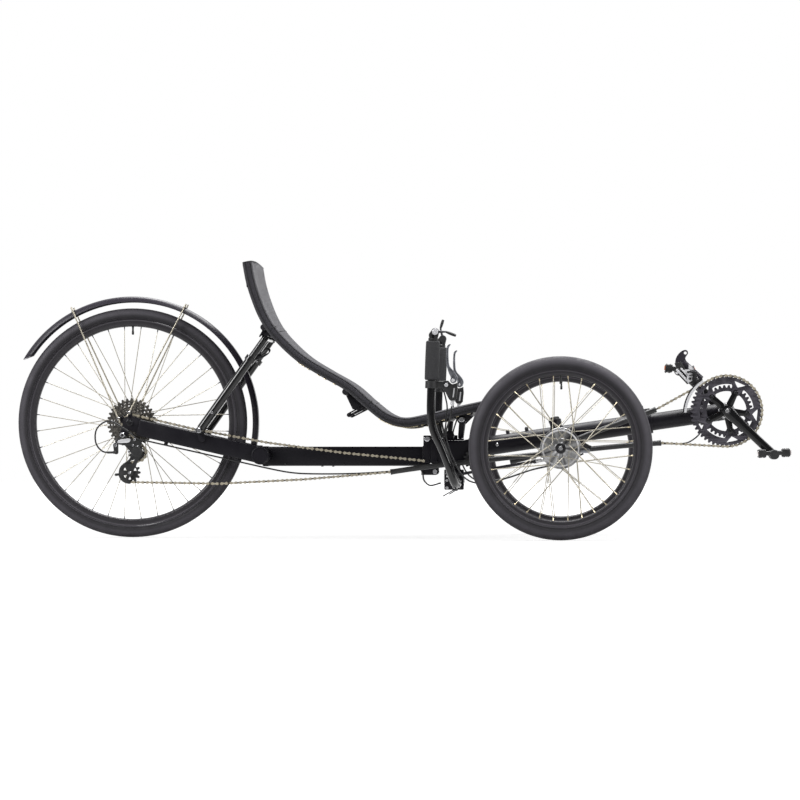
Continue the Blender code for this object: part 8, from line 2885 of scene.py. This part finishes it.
class MakeBoom(bpy.types.Operator):
    """Build the sliding boom and the bracket shell."""

    bl_idname = "trike.boom"
    bl_label = "Boom"

    def execute(self, context):
        return made_or_raise(boom)


class MakeDerailleurPost(bpy.types.Operator):
    """Build the post that carries the front derailleur."""

    bl_idname = "trike.derailleur_post"
    bl_label = "Derailleur post"

    def execute(self, context):
        return made_or_raise(derailleur_post)


class MakeFrontDerailleur(bpy.types.Operator):
    """Build the chain guide over the rings."""

    bl_idname = "trike.front_derailleur"
    bl_label = "Front derailleur"

    def execute(self, context):
        return made_or_raise(front_derailleur)


class MakeChainrings(bpy.types.Operator):
    """Build both chainrings and their bolts."""

    bl_idname = "trike.chainrings"
    bl_label = "Chainrings"

    def execute(self, context):
        return made_or_raise(chainrings)


class MakeCrankset(bpy.types.Operator):
    """Build the cranks, the spider and the pedal axles."""

    bl_idname = "trike.crankset"
    bl_label = "Crankset"

    def execute(self, context):
        return made_or_raise(crankset)


class MakePedals(bpy.types.Operator):
    """Build both pedals."""

    bl_idname = "trike.pedals"
    bl_label = "Pedals"

    def execute(self, context):
        return made_or_raise(pedals)


class MakeSeatFrame(bpy.types.Operator):
    """Build the seat's rails and cross tubes."""

    bl_idname = "trike.seat_frame"
    bl_label = "Seat frame"

    def execute(self, context):
        return made_or_raise(seat_frame)


class MakeSeatCover(bpy.types.Operator):
    """Build the mesh sling."""

    bl_idname = "trike.seat_cover"
    bl_label = "Seat cover"

    def execute(self, context):
        return made_or_raise(seat_cover)


class MakeSeatTrim(bpy.types.Operator):
    """Build the sling's bound edges, laces and eyelets."""

    bl_idname = "trike.seat_trim"
    bl_label = "Seat trim"

    def execute(self, context):
        return made_or_raise(seat_trim)


class MakeSeatMount(bpy.types.Operator):
    """Build the seat's front support."""

    bl_idname = "trike.seat_mount"
    bl_label = "Seat mount"

    def execute(self, context):
        return made_or_raise(seat_mount)


class MakeStruts(bpy.types.Operator):
    """Build the telescopic struts and their lever."""

    bl_idname = "trike.struts"
    bl_label = "Struts"

    def execute(self, context):
        return made_or_raise(struts)


class MakeCables(bpy.types.Operator):
    """Build the brake and gear cables."""

    bl_idname = "trike.cables"
    bl_label = "Cables"

    def execute(self, context):
        return made_or_raise(cables)


class MakeCableTies(bpy.types.Operator):
    """Build the plastic ties on the bar."""

    bl_idname = "trike.cable_ties"
    bl_label = "Cable ties"

    def execute(self, context):
        return made_or_raise(cable_ties)


class MakeStage(bpy.types.Operator):
    """Build the floor, the lamps, the world and the camera."""

    bl_idname = "trike.stage"
    bl_label = "Studio"

    def execute(self, context):
        return made_or_raise(stage)


OPERATORS = (
    MakeFrontWheels, MakeRearWheel, MakeRearAxle, MakeFrontFrame, MakeFoldJoint, MakeRearBeam,
    MakeChainstays, MakeCrossBeams, MakeKnuckles, MakeBrakeArms, MakeHandlebar, MakeGrips, MakeBrakeLevers,
    MakeShiftLevers, MakeTieRods, MakeChain, MakeChainTubes, MakePulleys, MakeCassette, MakeRearDerailleur,
    MakeFender, MakeFenderWires, MakeBoom, MakeDerailleurPost, MakeFrontDerailleur, MakeChainrings,
    MakeCrankset, MakePedals, MakeSeatFrame, MakeSeatCover, MakeSeatTrim, MakeSeatMount, MakeStruts,
    MakeCables, MakeCableTies, MakeStage,
)


class TrikePanel(bpy.types.Panel):
    """The trike's builders, colours and studio."""

    bl_idname = "VIEW3D_PT_trike"
    bl_label = "Recumbent trike"
    bl_space_type = "VIEW_3D"
    bl_region_type = "UI"
    bl_category = "Trike"

    def draw(self, context):
        column = self.layout.column(align=True)
        for operator in OPERATORS:
            column.operator(operator.bl_idname)
        for group in (context.scene.trike_colours, context.scene.trike_sizes, context.scene.trike_studio):
            column.separator()
            for name in group.__annotations__:
                column.prop(group, name)


CLASSES = (TrikeColours, TrikeSizes, TrikeStudio, *OPERATORS, TrikePanel)


def register():
    """Register the add-on's classes and its settings."""
    for made in CLASSES:
        bpy.utils.register_class(made)
    bpy.types.Scene.trike_colours = PointerProperty(type=TrikeColours)
    bpy.types.Scene.trike_sizes = PointerProperty(type=TrikeSizes)
    bpy.types.Scene.trike_studio = PointerProperty(type=TrikeStudio)


def unregister():
    """Take the settings and classes away again."""
    del bpy.types.Scene.trike_studio
    del bpy.types.Scene.trike_sizes
    del bpy.types.Scene.trike_colours
    for made in reversed(CLASSES):
        bpy.utils.unregister_class(made)


def main():
    """Build every piece and the studio."""
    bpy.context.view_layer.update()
    register()
    for operator in OPERATORS:
        getattr(bpy.ops.trike, operator.bl_idname.partition(".")[2])()
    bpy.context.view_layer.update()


if __name__ == "__main__":
    main()
